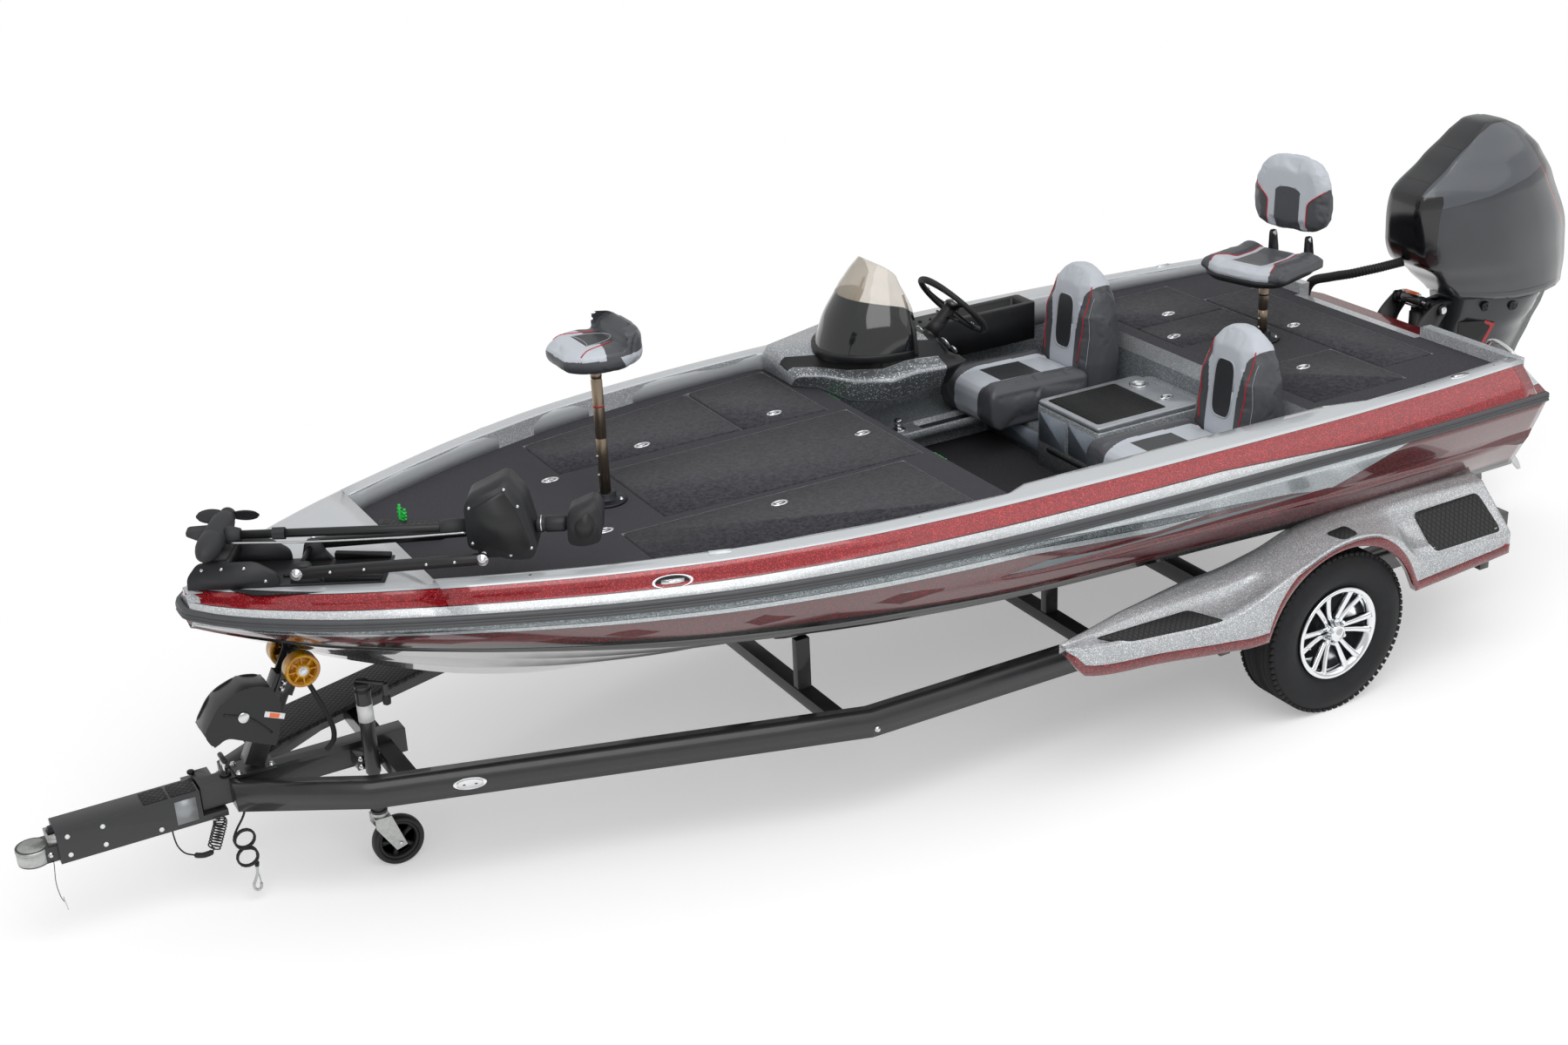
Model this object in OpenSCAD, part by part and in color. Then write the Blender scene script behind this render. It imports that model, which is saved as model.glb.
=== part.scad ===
// Bass boat on its single-axle trailer. Millimetres, +X towards the bow, +Y to port, +Z up.
// Every place below is measured from the trailer's axle (x = 0), the boat's centre plane and the ground.

/* [Hull] */
// Thickness of the closed-cell filled sides of the cockpit at the gunwale
side_w = 240; // [200:5:280]
// Height of the moulded rub rail
rail_h = 44; // [30:1:60]
// How far the rub rail stands out
rail_out = 20; // [10:1:30]
// Height of the front deck
front_deck_z = 1205; // [1200:1:1215]
// Height of the rear deck
rear_deck_z = 1190; // [1180:1:1200]
// Height of the cockpit floor
floor_z = 760; // [740:5:800]
// Half width of the cockpit floor
floor_half = 690; // [600:5:700]
// Front end of the cockpit
cockpit_front = 1400; // [1350:5:1420]
// Rear end of the cockpit
cockpit_back = -150; // [-170:5:-130]

/* [Lids] */
// Thickness of the carpeted deck lids
lid_t = 20; // [12:1:24]
// Gap all round a lid
lid_gap = 5; // [5:0.5:8]
// Width of the ledge that a lid rests on
lid_ledge = 25; // [15:1:30]

/* [Seats] */
// Distance of each cockpit seat from the centre plane
seat_y = 560; // [550:5:580]
// Width of a cockpit seat cushion
seat_w = 520; // [460:5:540]
// Top of the cockpit seat base
seat_base_z = 905; // [880:5:920]
// Half width of the step box between the seats
step_half = 232; // [200:2:240]
// Height of the bow seat's pole above the deck
bow_pole_h = 561; // [450:5:620]
// Radius of the seat poles
pole_r = 22; // [18:1:28]
// Height of the rear seat's pole above the deck
rear_pole_h = 300; // [250:5:360]

/* [Trailer] */
// Radius of the trailer tyres
tyre_r = 359; // [340:1:370]
// Width of the trailer tyres
tyre_w = 225; // [205:5:235]
// Distance from the centre plane to the middle of a tyre
wheel_y = 1123; // [1115:1:1130]
// Width of the frame tube
rail_w = 75; // [60:1:90]
// Height of the frame tube
rail_tall = 100; // [80:1:110]
// Height of the frame's top face
frame_z = 500; // [490:5:510]
// Distance from the centre plane to the outer face of a side rail
frame_half = 950; // [900:5:955]
// Outer face of the fenders
fender_half = 1272; // [1260:1:1285]
// Thickness of the fender shell
fender_t = 10; // [6:1:14]
// Radius of the tongue jack's caster wheel
caster_r = 102; // [90:1:110]

/* [Outboard] */
// Height of the tilt tube
tilt_z = 1170; // [1160:5:1180]
// Half width of the cowl
cowl_half = 275; // [240:5:290]
// Radius of the propeller
prop_r = 185; // [170:5:195]

/* [Bow motor] */
// Angle of the bow motor to the boat's centre plane
motor_yaw = 30; // [24:1:34]
// Radius of the bow motor's shaft
motor_shaft_r = 16; // [12:1:18]
// Length of the bow motor's swing arms
motor_arm_l = 657; // [650:1:662]

/* [Hidden] */
$fn = 48;
eps = 0.3;

// The whole model is shifted so that the origin is under the middle of its length.
nose_x = 5100;
cowl_back_x = -2360;
axle_x = -(nose_x + cowl_back_x) / 2;

// Hull stations. Columns: x, half beam at the rail, rail z, cap height, chine y, chine z, keel z
stations = [
  [-1420,  620, 1092,  30, 560,  722,  452],
  [-1250, 1105, 1095,  30, 930,  745,  442],
  [-1180, 1112, 1098, 140, 936,  748,  442],
  [ -600, 1160, 1120, 128, 985,  780,  448],
  [    0, 1188, 1140, 118, 1005, 800,  452],
  [  700, 1195, 1155, 114, 1005, 830,  458],
  [ 1400, 1180, 1165, 111, 985,  850,  464],
  [ 2000, 1135, 1172, 108, 945,  885,  478],
  [ 2550, 1045, 1180, 104, 865,  928,  502],
  [ 3000,  910, 1184, 100, 735,  962,  552],
  [ 3350,  766, 1187,  96, 590,  990,  640],
  [ 3680,  610, 1190,  92, 430, 1020,  775],
  [ 3930,  470, 1192,  88, 300, 1048,  895],
  [ 4150,  310, 1194,  84, 165, 1085, 1015],
  [ 4290,  180, 1196,  80,  80, 1120, 1095],
  [ 4365,   80, 1197,  74,  30, 1142, 1135]];
function column(c) = [for (s = stations) [s[0], s[c]]];
function beam(x) = lookup(x, column(1));
function rail_z(x) = lookup(x, column(2));
function keel_z(x) = lookup(x, column(6));
function chine_y(x) = lookup(x, column(4));
function chine_z(x) = lookup(x, column(5));
// Height of the hull's bottom at a place between keel and chine
function bottom_z(x, y) = keel_z(x) + (chine_z(x) - keel_z(x)) * y / chine_y(x);
function split_z(s) = s[2] - rail_h / 2;
coaming = side_w - 50;

function mirrored(half) = concat(half, [for (i = [len(half) - 1:-1:0]) [half[i][0], -half[i][1], half[i][2]]]);

// A solid through rings of points that turn anticlockwise as seen from its far end
module loft(rings) {
  n = len(rings[0]);
  m = len(rings);
  polyhedron(
    points = [for (r = rings) each r],
    faces = concat(
      [[for (i = [0:n - 1]) i]],
      [[for (i = [n - 1:-1:0]) (m - 1) * n + i]],
      [for (j = [0:m - 2], i = [0:n - 1]) let (k = (i + 1) % n)
        each [[j * n + i, (j + 1) * n + i, (j + 1) * n + k], [j * n + i, (j + 1) * n + k, j * n + k]]]));
}

// A bar with a rectangular section between two points
module bar(a, b, w, h) {
  d = b - a;
  l = norm(d);
  translate(a) rotate([0, -asin(d[2] / l), atan2(d[1], d[0])]) translate([0, -w / 2, -h / 2]) cube([l, w, h]);
}

// A round rod between two points
module rod(a, b, r) {
  d = b - a;
  l = norm(d);
  translate(a) rotate([0, acos(d[2] / l), atan2(d[1], d[0])]) cylinder(r = r, h = l);
}

// A round tube along a path of points, from point a to point b
module sweep(path, r, sides, a = 0, b = -1) {
  n = len(path);
  function unit(v) = v / norm(v);
  function along(i) = unit(path[min(i + 1, n - 1)] - path[max(i - 1, 0)]);
  loft([for (i = [a:b < 0 ? n - 1 : b]) let (t = along(i), u = unit(cross(t, [0.31, 0.95, 0.02])), v = cross(t, u))
    [for (k = [0:sides - 1]) let (turn = 360 * k / sides) path[i] + r * (cos(turn) * u + sin(turn) * v)]]);
}

module across(r, h) rotate([90, 0, 0]) cylinder(r = r, h = h, center = true);
module block(x0, x1, y0, y1, z0, z1) translate([x0, y0, z0]) cube([x1 - x0, y1 - y0, z1 - z0]);
module side_profile(pts, y0, y1) translate([0, y1, 0]) rotate([90, 0, 0]) linear_extrude(y1 - y0) polygon(pts);
module plan(pts, z0, z1) translate([0, 0, z0]) linear_extrude(z1 - z0) polygon(pts);

// Deck lids. Columns: x aft, x front, y inner aft, y inner front, y outer aft, y outer front, locker floor z, deck z
lids = [
  [ 1550, 2800,  330,  330,  830,  680, 985, front_deck_z],
  [ 1920, 2750, -360, -360, -875, -725, 985, front_deck_z],
  [ 1505, 1905, -350, -360, -930, -880, 930, front_deck_z],
  [ 1440, 2590,  300,  270, -300, -270, 740, front_deck_z],
  [ -745, -235,  295,  295,  755,  755, 850, rear_deck_z],
  [ -745, -235, -445, -445, -870, -870, 850, rear_deck_z],
  [ -745, -235, -125, -125, -435, -435, 760, rear_deck_z],
  [-1060, -762,  600,  600, -600, -600, 760, rear_deck_z]];
// The outline of a lid, grown by g on every side
function lid_outline(l, g) = let (s = sign(l[4] - l[2]))
  [[l[0] - g, l[2] - s * g], [l[1] + g, l[3] - s * g], [l[1] + g, l[5] + s * g], [l[0] - g, l[4] + s * g]];

module locker_cuts() {
  for (l = lids) {
    plan(lid_outline(l, -lid_ledge), l[6], l[7] + 200);
    plan(lid_outline(l, lid_gap), l[7] - lid_t - eps, l[7] + 200);
  }
}
module deck_lid(i) {
  l = lids[i];
  color("#2c2c30") plan(lid_outline(l, 0), l[7] - lid_t, l[7]);
}

function hull_half(s) = [
  [s[0], 0, s[6]],
  [s[0], s[4], s[5]],
  [s[0], s[4] + (s[1] - rail_out - s[4]) * 0.55, s[5] + (split_z(s) - s[5]) * 0.42],
  [s[0], s[1] - rail_out, split_z(s)]];
function cap_half(s) = [
  [s[0], s[1] - rail_out, split_z(s)],
  [s[0], s[1] - rail_out, s[2] + rail_h / 2],
  [s[0], max(s[1] - 105, 12), s[2] + s[3] - 14],
  [s[0], max(s[1] - 130, 8), s[2] + s[3]]];
module hull_outside() {
  loft([for (s = stations) let (h = hull_half(s)) concat(h, [for (i = [3, 2, 1]) [h[i][0], -h[i][1], h[i][2]]])]);
}
module boat_hull() {
  color("#4a0d12") difference() {
    hull_outside();
    block(cockpit_back, cockpit_front, -floor_half, floor_half, floor_z, 2000);
    block(cockpit_back, cockpit_front, -cockpit_half, cockpit_half, ledge_z, 2000);
    locker_cuts();
  }
}
cockpit_half = 1180 - side_w;
ledge_z = 890;
carpet_front = 3650;
function coaming_edge(xs) = concat([for (x = xs) [x, beam(x) - coaming]],
  [for (i = [len(xs) - 1:-1:0]) [xs[i], -beam(xs[i]) + coaming]]);
module deck() {
  color("#c9ccd0") difference() {
    union() {
      loft([for (s = stations) mirrored(cap_half(s))]);
      coaming_bar();
    }
    block(cockpit_back, cockpit_front, -cockpit_half, cockpit_half, 0, 2000);
    plan(coaming_edge([cockpit_back, 0, 700, cockpit_front, 2000, 2550, 3000, 3350, carpet_front]), front_deck_z, 2000);
    plan(coaming_edge([-1180, -600, cockpit_back]), rear_deck_z, 2000);
    block(-1300, -1150, -well_half, well_half, well_z, 2000);
    locker_cuts();
  }
}
// The dip in front of the engine
well_z = 1170;
well_half = 400;
// The low coaming across the stern, with its dip in front of the engine
coaming_x = [-1240, -1195];
module coaming_bar() {
  for (s = [-1, 1])
    plan([[coaming_x[0], s * 350], [coaming_x[1], s * 350], [coaming_x[1], s * 930], [coaming_x[0], s * 960]], 1100, 1236);
  block(coaming_x[0], coaming_x[1], -360, 360, 1100, well_z);
}
module rub_rail() {
  // Path along the port side from the stern, round the bow and back along the starboard side
  port = [for (s = stations) [s[0], s[1] - rail_out, s[2]]];
  path = concat(port, [for (i = [len(port) - 1:-1:0]) [port[i][0], -port[i][1], port[i][2]]]);
  n = len(path);
  function flat(i) = [path[i][0], path[i][1]];
  function unit(v) = v / norm(v);
  function out(i) = let (a = flat(max(i - 1, 0)), b = flat(min(i + 1, n - 1)), d = unit(b - a)) [-d[1], d[0]];
  rings = [for (i = [0:n - 1]) let (p = path[i], o = out(i) * rail_out)
    [[p[0], p[1], p[2] - rail_h / 2], [p[0] + o[0], p[1] + o[1], p[2] - rail_h / 2 + 8],
     [p[0] + o[0], p[1] + o[1], p[2] + rail_h / 2 - 8], [p[0], p[1], p[2] + rail_h / 2]]];
  color("#4b4c4f") loft(rings);
}

module front_lid_port() deck_lid(0);
module front_lid_starboard() deck_lid(1);
module front_lid_starboard_aft() deck_lid(2);
module front_lid_centre() deck_lid(3);
module rear_lid_port() deck_lid(4);
module rear_lid_starboard() deck_lid(5);
module rear_lid_centre() deck_lid(6);
module rear_lid_aft() deck_lid(7);

// Seat base across the cockpit, with the step box in its middle
step_x = [-60, 498];
step_z = 1045;
seat_front = 450;
module seat_base() {
  color("#9a9da1") difference() {
    union() {
      block(cockpit_back + eps, seat_front, -floor_half + eps, floor_half - eps, floor_z, seat_base_z);
      block(cockpit_back + eps, step_x[1], -step_half, step_half, floor_z, step_z);
      block(cockpit_back + eps, seat_front, -cockpit_half + eps, cockpit_half - eps, ledge_z + eps, seat_base_z);
    }
    block(step_x[0] + 40, step_x[1] - 40, -step_half + 40, step_half - 40, floor_z + 40, 2000);
  }
}
module step_lid() {
  color("#8f9296") block(step_x[0], step_x[1], -step_half + 8, step_half - 8, step_z + eps, step_z + 25);
}
module seat_cushions() {
  color("#b9c0c8") for (s = [-1, 1]) translate([0, s * seat_y, 0])
    side_profile([[120, seat_base_z + eps], [620, seat_base_z + eps], [668, seat_base_z + 60], [668, 1070],
      [640, 1098], [120, 1075]], -seat_w / 2 + 34, seat_w / 2 - 34);
}
module seat_backs() {
  color("#74777c") for (s = [-1, 1]) translate([0, s * seat_y, 0])
    intersection() {
      side_profile([[-60, seat_base_z + eps], [112, seat_base_z + eps], [112, 1100], [72, 1480], [30, 1520], [-30, 1515],
        [-75, 1470], [-98, 1100]], -seat_w / 2 + 34, seat_w / 2 - 34);
      rotate([90, 0, 90]) linear_extrude(600, center = true)
        polygon([[-190, 900], [190, 900], [190, 976], [224, 980], [224, 1100], [205, 1320], [120, 1500], [40, 1530],
          [-40, 1530], [-120, 1500], [-205, 1320], [-224, 1100], [-224, 980], [-190, 976]]);
    }
}

// Driver's console on the starboard side
wheel_at = [720, -seat_y, 1465];
wheel_lean = 42;
wheel_r = 178;
module console() {
  color("#8a8d92") {
    intersection() {
      side_profile([[790, 1262], [870, 1170], [1300, 1150], [cockpit_front - eps, 1172], [cockpit_front - eps, front_deck_z + eps],
        [1490, front_deck_z + eps], [1478, 1330], [1050, 1402], [858, 1368]], -cockpit_half + eps, -330);
      plan([[760, -cockpit_half + eps], [1490, -cockpit_half + eps], [1490, -640], [1180, -335], [760, -335]], 1100, 1500);
    }
    // Steering column, from the dash to the wheel's hub
    translate(wheel_at) rotate([0, wheel_lean, 0]) rotate([0, 90, 0]) translate([0, 0, 25]) cylinder(r = 30, h = 165);
    // Ledge with a tray, under the console
    block(560, 1120, -floor_half + eps, -floor_half + 130, 870, 905);
    block(560, 1120, -floor_half + eps, -floor_half + 30, floor_z + eps, 905);
  }
}
// Windshield: a thin bent sheet. Columns: z, x of the front, half width, x where it ends
shield_rows = [[1338, 1380, 262, 1050], [1480, 1330, 250, 1030], [1620, 1250, 200, 1020], [1750, 1130, 90, 1040]];
shield_t = 6;
module shield_shell(t, down, up) {
  n = len(shield_rows) - 1;
  loft([for (i = [0:n]) let (r = shield_rows[i], z = r[0] - (i == 0 ? down : 0) + (i == n ? up : 0))
    [for (j = [0:12]) let (a = -90 + 15 * j)
      [r[3] + (r[1] - r[3] - t) * cos(a) - t / 4, -seat_y - 62 + (r[2] - t) * sin(a), z]]]);
}
module windshield() {
  color("#6f7275") difference() {
    shield_shell(0, 0, 0);
    shield_shell(shield_t, 5, 5);
    block(900, 1052, -1000, 0, 1300, 1800);
    side_profile([[900, 1200], [900, 1376], [1050, 1402.4], [1478, 1330.4], [1600, 1200]], -1000, 0);
  }
}
module steering_wheel() {
  color("#1e1f21") translate(wheel_at) rotate([0, wheel_lean, 0]) rotate([0, 90, 0]) {
    rotate_extrude($fn = 64) translate([wheel_r, 0]) circle(r = 15);
    translate([0, 0, -20]) cylinder(r = 38, h = 45 - eps);
    for (a = [90, 210, 330]) rotate(a) translate([30, -14, -6]) cube([wheel_r - 38, 28, 10]);
  }
}
// Panel on the starboard gunwale beside the driver, with the throttle
module side_console() {
  color("#23302c") {
    difference() {
      block(100, 760, -cockpit_half + eps, -cockpit_half + 150, 1120, 1300);
      block(150, 560, -cockpit_half + 30, -cockpit_half + 125, 1200, 1400);
    }
    translate([680, -cockpit_half + 155, 1230]) across(32, 30);
    rod([680, -cockpit_half + 165, 1230], [640, -cockpit_half + 172, 1370], 9);
  }
}

// Pedestal seats
bow_pole_x = 2711;
rear_pole_x = -597;
module pedestal(x, z, h) {
  translate([x, 0, z]) {
    cylinder(r = 82, h = 12);
    cylinder(r = 40, h = 40);
    cylinder(r = pole_r, h = h);
  }
}
seat_socket = 50;
module socket(x, z) {
  translate([x, 0, z]) difference() {
    union() {
      translate([-80, -80, 0]) cube([160, 160, 10]);
      translate([0, 0, -seat_socket + 10]) cylinder(r = pole_r + 8, h = seat_socket);
    }
    translate([0, 0, -seat_socket - 10]) cylinder(r = pole_r + 0.05, h = seat_socket + 12);
  }
}
bow_seat_z = front_deck_z + bow_pole_h + 2;
rear_seat_z = rear_deck_z + rear_pole_h + 2;
module bow_seat_pole() { color("#8d7f73") pedestal(bow_pole_x, front_deck_z, bow_pole_h); }
module rear_seat_pole() { color("#8d7f73") pedestal(rear_pole_x, rear_deck_z, rear_pole_h); }
module bow_seat_plate() { color("#2a2b2d") socket(bow_pole_x, bow_seat_z); }
module bow_seat() {
  color("#7d8085") translate([bow_pole_x, 0, bow_seat_z + 10 + eps]) {
    intersection() {
      cylinder(r = 190, h = 85);
      translate([-170, -190, 0]) cube([340, 380, 85]);
    }
    intersection() {
      translate([0, 0, 80]) cylinder(r = 188, h = 75);
      translate([-170, -180, 80]) cube([110, 360, 75]);
    }
  }
}
rear_yaw = 14;
module rear_place() translate([rear_pole_x, 0, rear_seat_z]) rotate(rear_yaw) children();
fold_at = [-190, 0, 140];
module rear_seat_hinge() {
  color("#2a2b2d") {
    socket(rear_pole_x, rear_seat_z);
    rear_place() for (s = [-1, 1]) {
      block(-230, 60, s * 95 - 8, s * 95 + 8, 0, 10);
      difference() {
        side_profile([[-165, 0], [-235, 0], [-215, 155], [-168, 155]], s * 95 - 6, s * 95 + 6);
        translate(fold_at) translate([0, s * 95, 0]) across(8.05, 30);
      }
    }
  }
}
module rear_seat_cushion() {
  color("#b9c0c8") rear_place() translate([0, 0, 10 + eps])
    intersection() {
      side_profile([[-150, 0], [200, 0], [252, 40], [252, 80], [210, 100], [-150, 85]], -225, 225);
      cylinder(r = 300, h = 120);
    }
}
module rear_seat_back() {
  color("#74777c") rear_place() {
    translate(fold_at) across(8, 230);
    side_profile([[-205, 173], [-152, 173], [-165, 520], [-230, 520], [-258, 186]], -205, 205);
    for (s = [-1, 1]) block(-198, -182, s * 112 - 6, s * 112 + 6, 135, 178);
  }
}

// Bow motor, drawn in its own place: u runs aft along its base, v to starboard
motor_at = [4360, 50, 0];
module motor_place() translate(motor_at) rotate(180 - motor_yaw) children();
deck_tip_z = 1282.4;
arm_u = 400;
arm_z = 1345;
motor_v = 110;
wedge_u = arm_u + motor_arm_l;
wedge_z = 1376;
shaft_z = 1445;
pod_u = 95;
pod_r = 44;
module motor_base() {
  color("#232426") motor_place() {
    block(0, 700, 0, 2 * motor_v, deck_tip_z, deck_tip_z + 14);
    for (v = [0, 2 * motor_v - 12])
      side_profile([[0, deck_tip_z], [330, deck_tip_z], [320, 1339], [250, 1385], [45, 1385], [0, 1330]], v, v + 12);
    block(60, 150, 12, 2 * motor_v - 12, 1340, 1380);
    for (v = [4, 2 * motor_v - 26]) difference() {
      block(arm_u - 38, arm_u + 90, v, v + 22, deck_tip_z, 1372);
      translate([arm_u, v + 10, arm_z]) across(10.05, 60);
    }
  }
}
module motor_arms() {
  color("#1f2022") motor_place() {
    for (v = [-32, 2 * motor_v + 8]) difference() {
      union() {
        translate([arm_u, v + 12, arm_z]) across(24, 24);
        side_profile([[arm_u, arm_z - 18], [wedge_u, wedge_z - 18], [wedge_u, wedge_z + 18], [arm_u, arm_z + 18]], v, v + 24);
        translate([wedge_u, v + 12, wedge_z]) across(24, 24);
      }
      translate([wedge_u, v + 12, wedge_z]) across(10.05, 60);
    }
    translate([arm_u, motor_v, arm_z]) across(10, 2 * motor_v + 40);
  }
}
module motor_shaft() {
  color("#191a1b") motor_place() {
    // Steering housing at the arms' ends, with its pin
    side_profile([[1000, 1400], [1000, 1570], [1150, 1640], [1212, 1562], [1247, 1380], [1222, 1345], [1150, 1345]],
      24, 2 * motor_v - 28);
    block(wedge_u - 22, wedge_u + 80, 26, 2 * motor_v - 30, wedge_z - 20, wedge_z + 60);
    translate([wedge_u, motor_v, wedge_z]) across(10, 2 * motor_v + 62);
    translate([pod_u, motor_v, shaft_z]) rotate([0, 90, 0]) cylinder(r = motor_shaft_r, h = 1300 - pod_u);
    translate([1240, motor_v, shaft_z]) rotate([0, 90, 0]) cylinder(r = 30, h = 115);
    side_profile([[1350, shaft_z - 60], [1400, 1374], [1470, 1390], [1482, 1500], [1455, 1545], [1352, 1500]],
      motor_v - 62, motor_v + 62);
    // Motor pod across the end of the shaft
    translate([pod_u, -85, shaft_z]) rotate([-90, 0, 0]) rotate_extrude()
      polygon([[0, 0], [18, 6], [34, 40], [pod_r, 90], [pod_r, 300], [34, 345], [6, 345], [6, 357], [0, 357]]);
  }
}
bow_prop_v = 266;
module bow_propeller() {
  color("#141415") motor_place() translate([pod_u, bow_prop_v, shaft_z]) rotate([-90, 0, 0]) {
    difference() {
      cylinder(r = 30, h = 42);
      translate([0, 0, -1]) cylinder(r = 6.05, h = 9);
    }
    for (a = [0, 180]) rotate(a) translate([26, 0, 20]) rotate([28, 0, 0]) translate([0, -24, -3]) cube([92, 48, 6]);
  }
}
module foot_pedal() {
  color("#1b1c1e") translate([3480, -120, front_deck_z + eps]) rotate(-25) {
    block(-140, 140, -55, 55, 0, 22);
    translate([0, 0, 22]) side_profile([[-120, 0], [120, 0], [110, 40], [-115, 12]], -45, 45);
  }
}

// Outboard engine. The tilt tube runs across, the steering tube stands behind it
tilt_x = -1580;
steer_x = -1668;
bracket_half = 118;
steer_r = 20;
swivel_z = [790, 1140];
module transom_bracket() {
  color("#17181a") {
    block(-1436, -1420 - eps, -150, 150, 800, 1110);
    for (s = [-1, 1]) difference() {
      side_profile([[-1430, 800], [-1430, 1105], [-1470, 1150], [-1545, 1205], [-1612, 1200], [-1622, 1150], [-1560, 1080],
        [-1500, 820]], s * (bracket_half + 9) - 9, s * (bracket_half + 9) + 9);
      translate([tilt_x, s * (bracket_half + 9), tilt_z]) across(16.05, 30);
    }
    block(-1500, -1430, -bracket_half, bracket_half, 812, 850);
  }
}
module swivel_bracket() {
  color("#101113") {
    difference() {
      union() {
        translate([tilt_x, 0, tilt_z]) across(30, 2 * bracket_half - 10);
        block(steer_x, tilt_x, -60, 60, tilt_z - 80, tilt_z - 34);
        block(steer_x, tilt_x + 40, -32, 32, 850, tilt_z - 30);
        translate([steer_x, 0, swivel_z[0]]) cylinder(r = 38, h = swivel_z[1] - swivel_z[0]);
      }
      translate([steer_x, 0, 700]) cylinder(r = steer_r + 0.05, h = 500);
    }
    translate([tilt_x, 0, tilt_z]) across(16, 2 * bracket_half + 40);
  }
}
prop_z = 312;
module engine_leg() {
  color("#3b3d40") {
    // Steering pin with its two yokes
    translate([steer_x, 0, swivel_z[0] - 30]) cylinder(r = steer_r, h = swivel_z[1] - swivel_z[0] + 60);
    for (z = [swivel_z[0] - 32, swivel_z[1] + 2])
      plan([[steer_x + 34, -34], [steer_x + 34, 34], [-1760, 60], [-1760, -60]], z, z + 30);
    // Midsection, as four stacked blocks of the leg
    loft([for (r = leg_rows) [[r[1] - 30, -r[3], r[0]], [r[1], 0, r[0]], [r[1] - 30, r[3], r[0]], [(r[1] + r[2]) / 2, r[4], r[0]],
      [r[2] + 30, r[3], r[0]], [r[2], 0, r[0]], [r[2] + 30, -r[3], r[0]], [(r[1] + r[2]) / 2, -r[4], r[0]]]]);
    // Plate above the propeller
    plan([[-1760, 0], [-1800, 60], [-2080, 110], [-2230, 105], [-2260, 0], [-2230, -105], [-2080, -110], [-1800, -60]], 505, 517);
    // Gearcase and skeg
    translate([-1735, 0, prop_z]) rotate([0, -90, 0]) rotate_extrude()
      polygon([[0, 0], [28, 14], [50, 60], [62, 140], [62, 330], [54, 392], [0, 392]]);
    side_profile([[-1860, 300], [-2080, 300], [-2105, 130], [-2030, 125]], -7, 7);
  }
}
// Leg outline. Columns: z, front x, back x, half width at the ends, half width at the middle
leg_rows = [[300, -1850, -2090, 12, 36], [480, -1830, -2150, 20, 46], [700, -1790, -2170, 34, 66], [820, -1770, -2215, 50, 92],
  [960, -1735, -2275, 70, 140], [1080, -1725, -2325, 92, 205], [1185, -1722, -2350, 110, 250]];
// Cowl outline. Columns: z, front x, back x, half width at the front, half width of the middle, half width at the back
cowl_rows = [
  [1185.3, -1724, -2352, 0.42, 0.93, 0.62],
  [1300, -1600, -2360, 0.46, 0.97, 0.62],
  [1400, -1470, -2358, 0.48, 1.00, 0.60],
  [1500, -1432, -2350, 0.46, 1.00, 0.58],
  [1720, -1432, -2262, 0.40, 0.90, 0.50],
  [1850, -1600, -2185, 0.38, 0.72, 0.42],
  [1950, -1735, -2080, 0.34, 0.52, 0.34],
  [2018, -1830, -1960, 0.28, 0.32, 0.26]];
function cowl_ring(r, t) = let (xf = r[1] - t, xb = r[2] + t, w = cowl_half, m = (xf + xb) / 2, l = xf - xb)
  [[xf, -r[3] * w + t, r[0]], [xf, r[3] * w - t, r[0]], [m + l * 0.22, r[4] * w - t, r[0]], [m - l * 0.18, r[4] * w - t, r[0]],
   [xb + l * 0.06, r[5] * w - t, r[0]], [xb, 0, r[0]], [xb + l * 0.06, -r[5] * w + t, r[0]],
   [m - l * 0.18, -r[4] * w + t, r[0]], [m + l * 0.22, -r[4] * w + t, r[0]]];
cowl_t = 12;
module engine_cowl() {
  color("#1c1e21") difference() {
    loft([for (r = cowl_rows) cowl_ring(r, 0)]);
    block(-2120, -1790, -155, 155, 1210, 1650);
  }
}
module engine_block() {
  color("#5a5c5f") block(-2112, -1798, -147, 147, 1210 + eps, 1640);
}
module propeller() {
  color("#b7babd") translate([-2128, 0, prop_z]) rotate([0, -90, 0]) {
    cylinder(r = 54, h = 150);
    for (a = [0, 120, 240]) rotate(a) translate([48, 0, 70]) rotate([36, 0, 0]) translate([62, 0, -3])
      intersection() {
        cylinder(r = prop_r - 110, h = 6);
        translate([-80, -70, 0]) cube([prop_r - 36, 140, 6]);
      }
  }
}
// Two bent tubes of the folded boarding steps
handle_r = 11;
handle_upper = [[-1320, 645, 1124.6], [-1320, 645, 1140], [-1312, 660, 1182], [-1303, 678, 1219], [-1300, 705, 1230], [-1300, 790, 1228], [-1300, 862, 1190],
  [-1300, 898, 1145], [-1300, 898, 1119]];
handle_lower = [[-1345, 655, 1124.6], [-1345, 655, 1135], [-1338, 680, 1158], [-1330, 735, 1172], [-1320, 795, 1155], [-1318, 812, 1135], [-1318, 812, 1124.8]];
module stern_handle() {
  color("#c6c9cc") {
    sweep(handle_upper, handle_r, 12);
    sweep(handle_lower, handle_r, 12);
  }
}
// Tube that carries the engine's cables, from the deck to the cowl's front
rigging_r = 23;
rigging_path = [[-1290, -470, 1125.5], [-1290, -470, 1165], [-1284, -440, 1212], [-1280, -395, 1244],
  [-1290, -330, 1268], [-1302, -265, 1292], [-1316, -205, 1312], [-1345, -140, 1338], [-1378, -90, 1358],
  [-1415, -52, 1375], [-1446, -28, 1386], [-1464, -18, 1391]];
rigging_split = 5;
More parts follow.
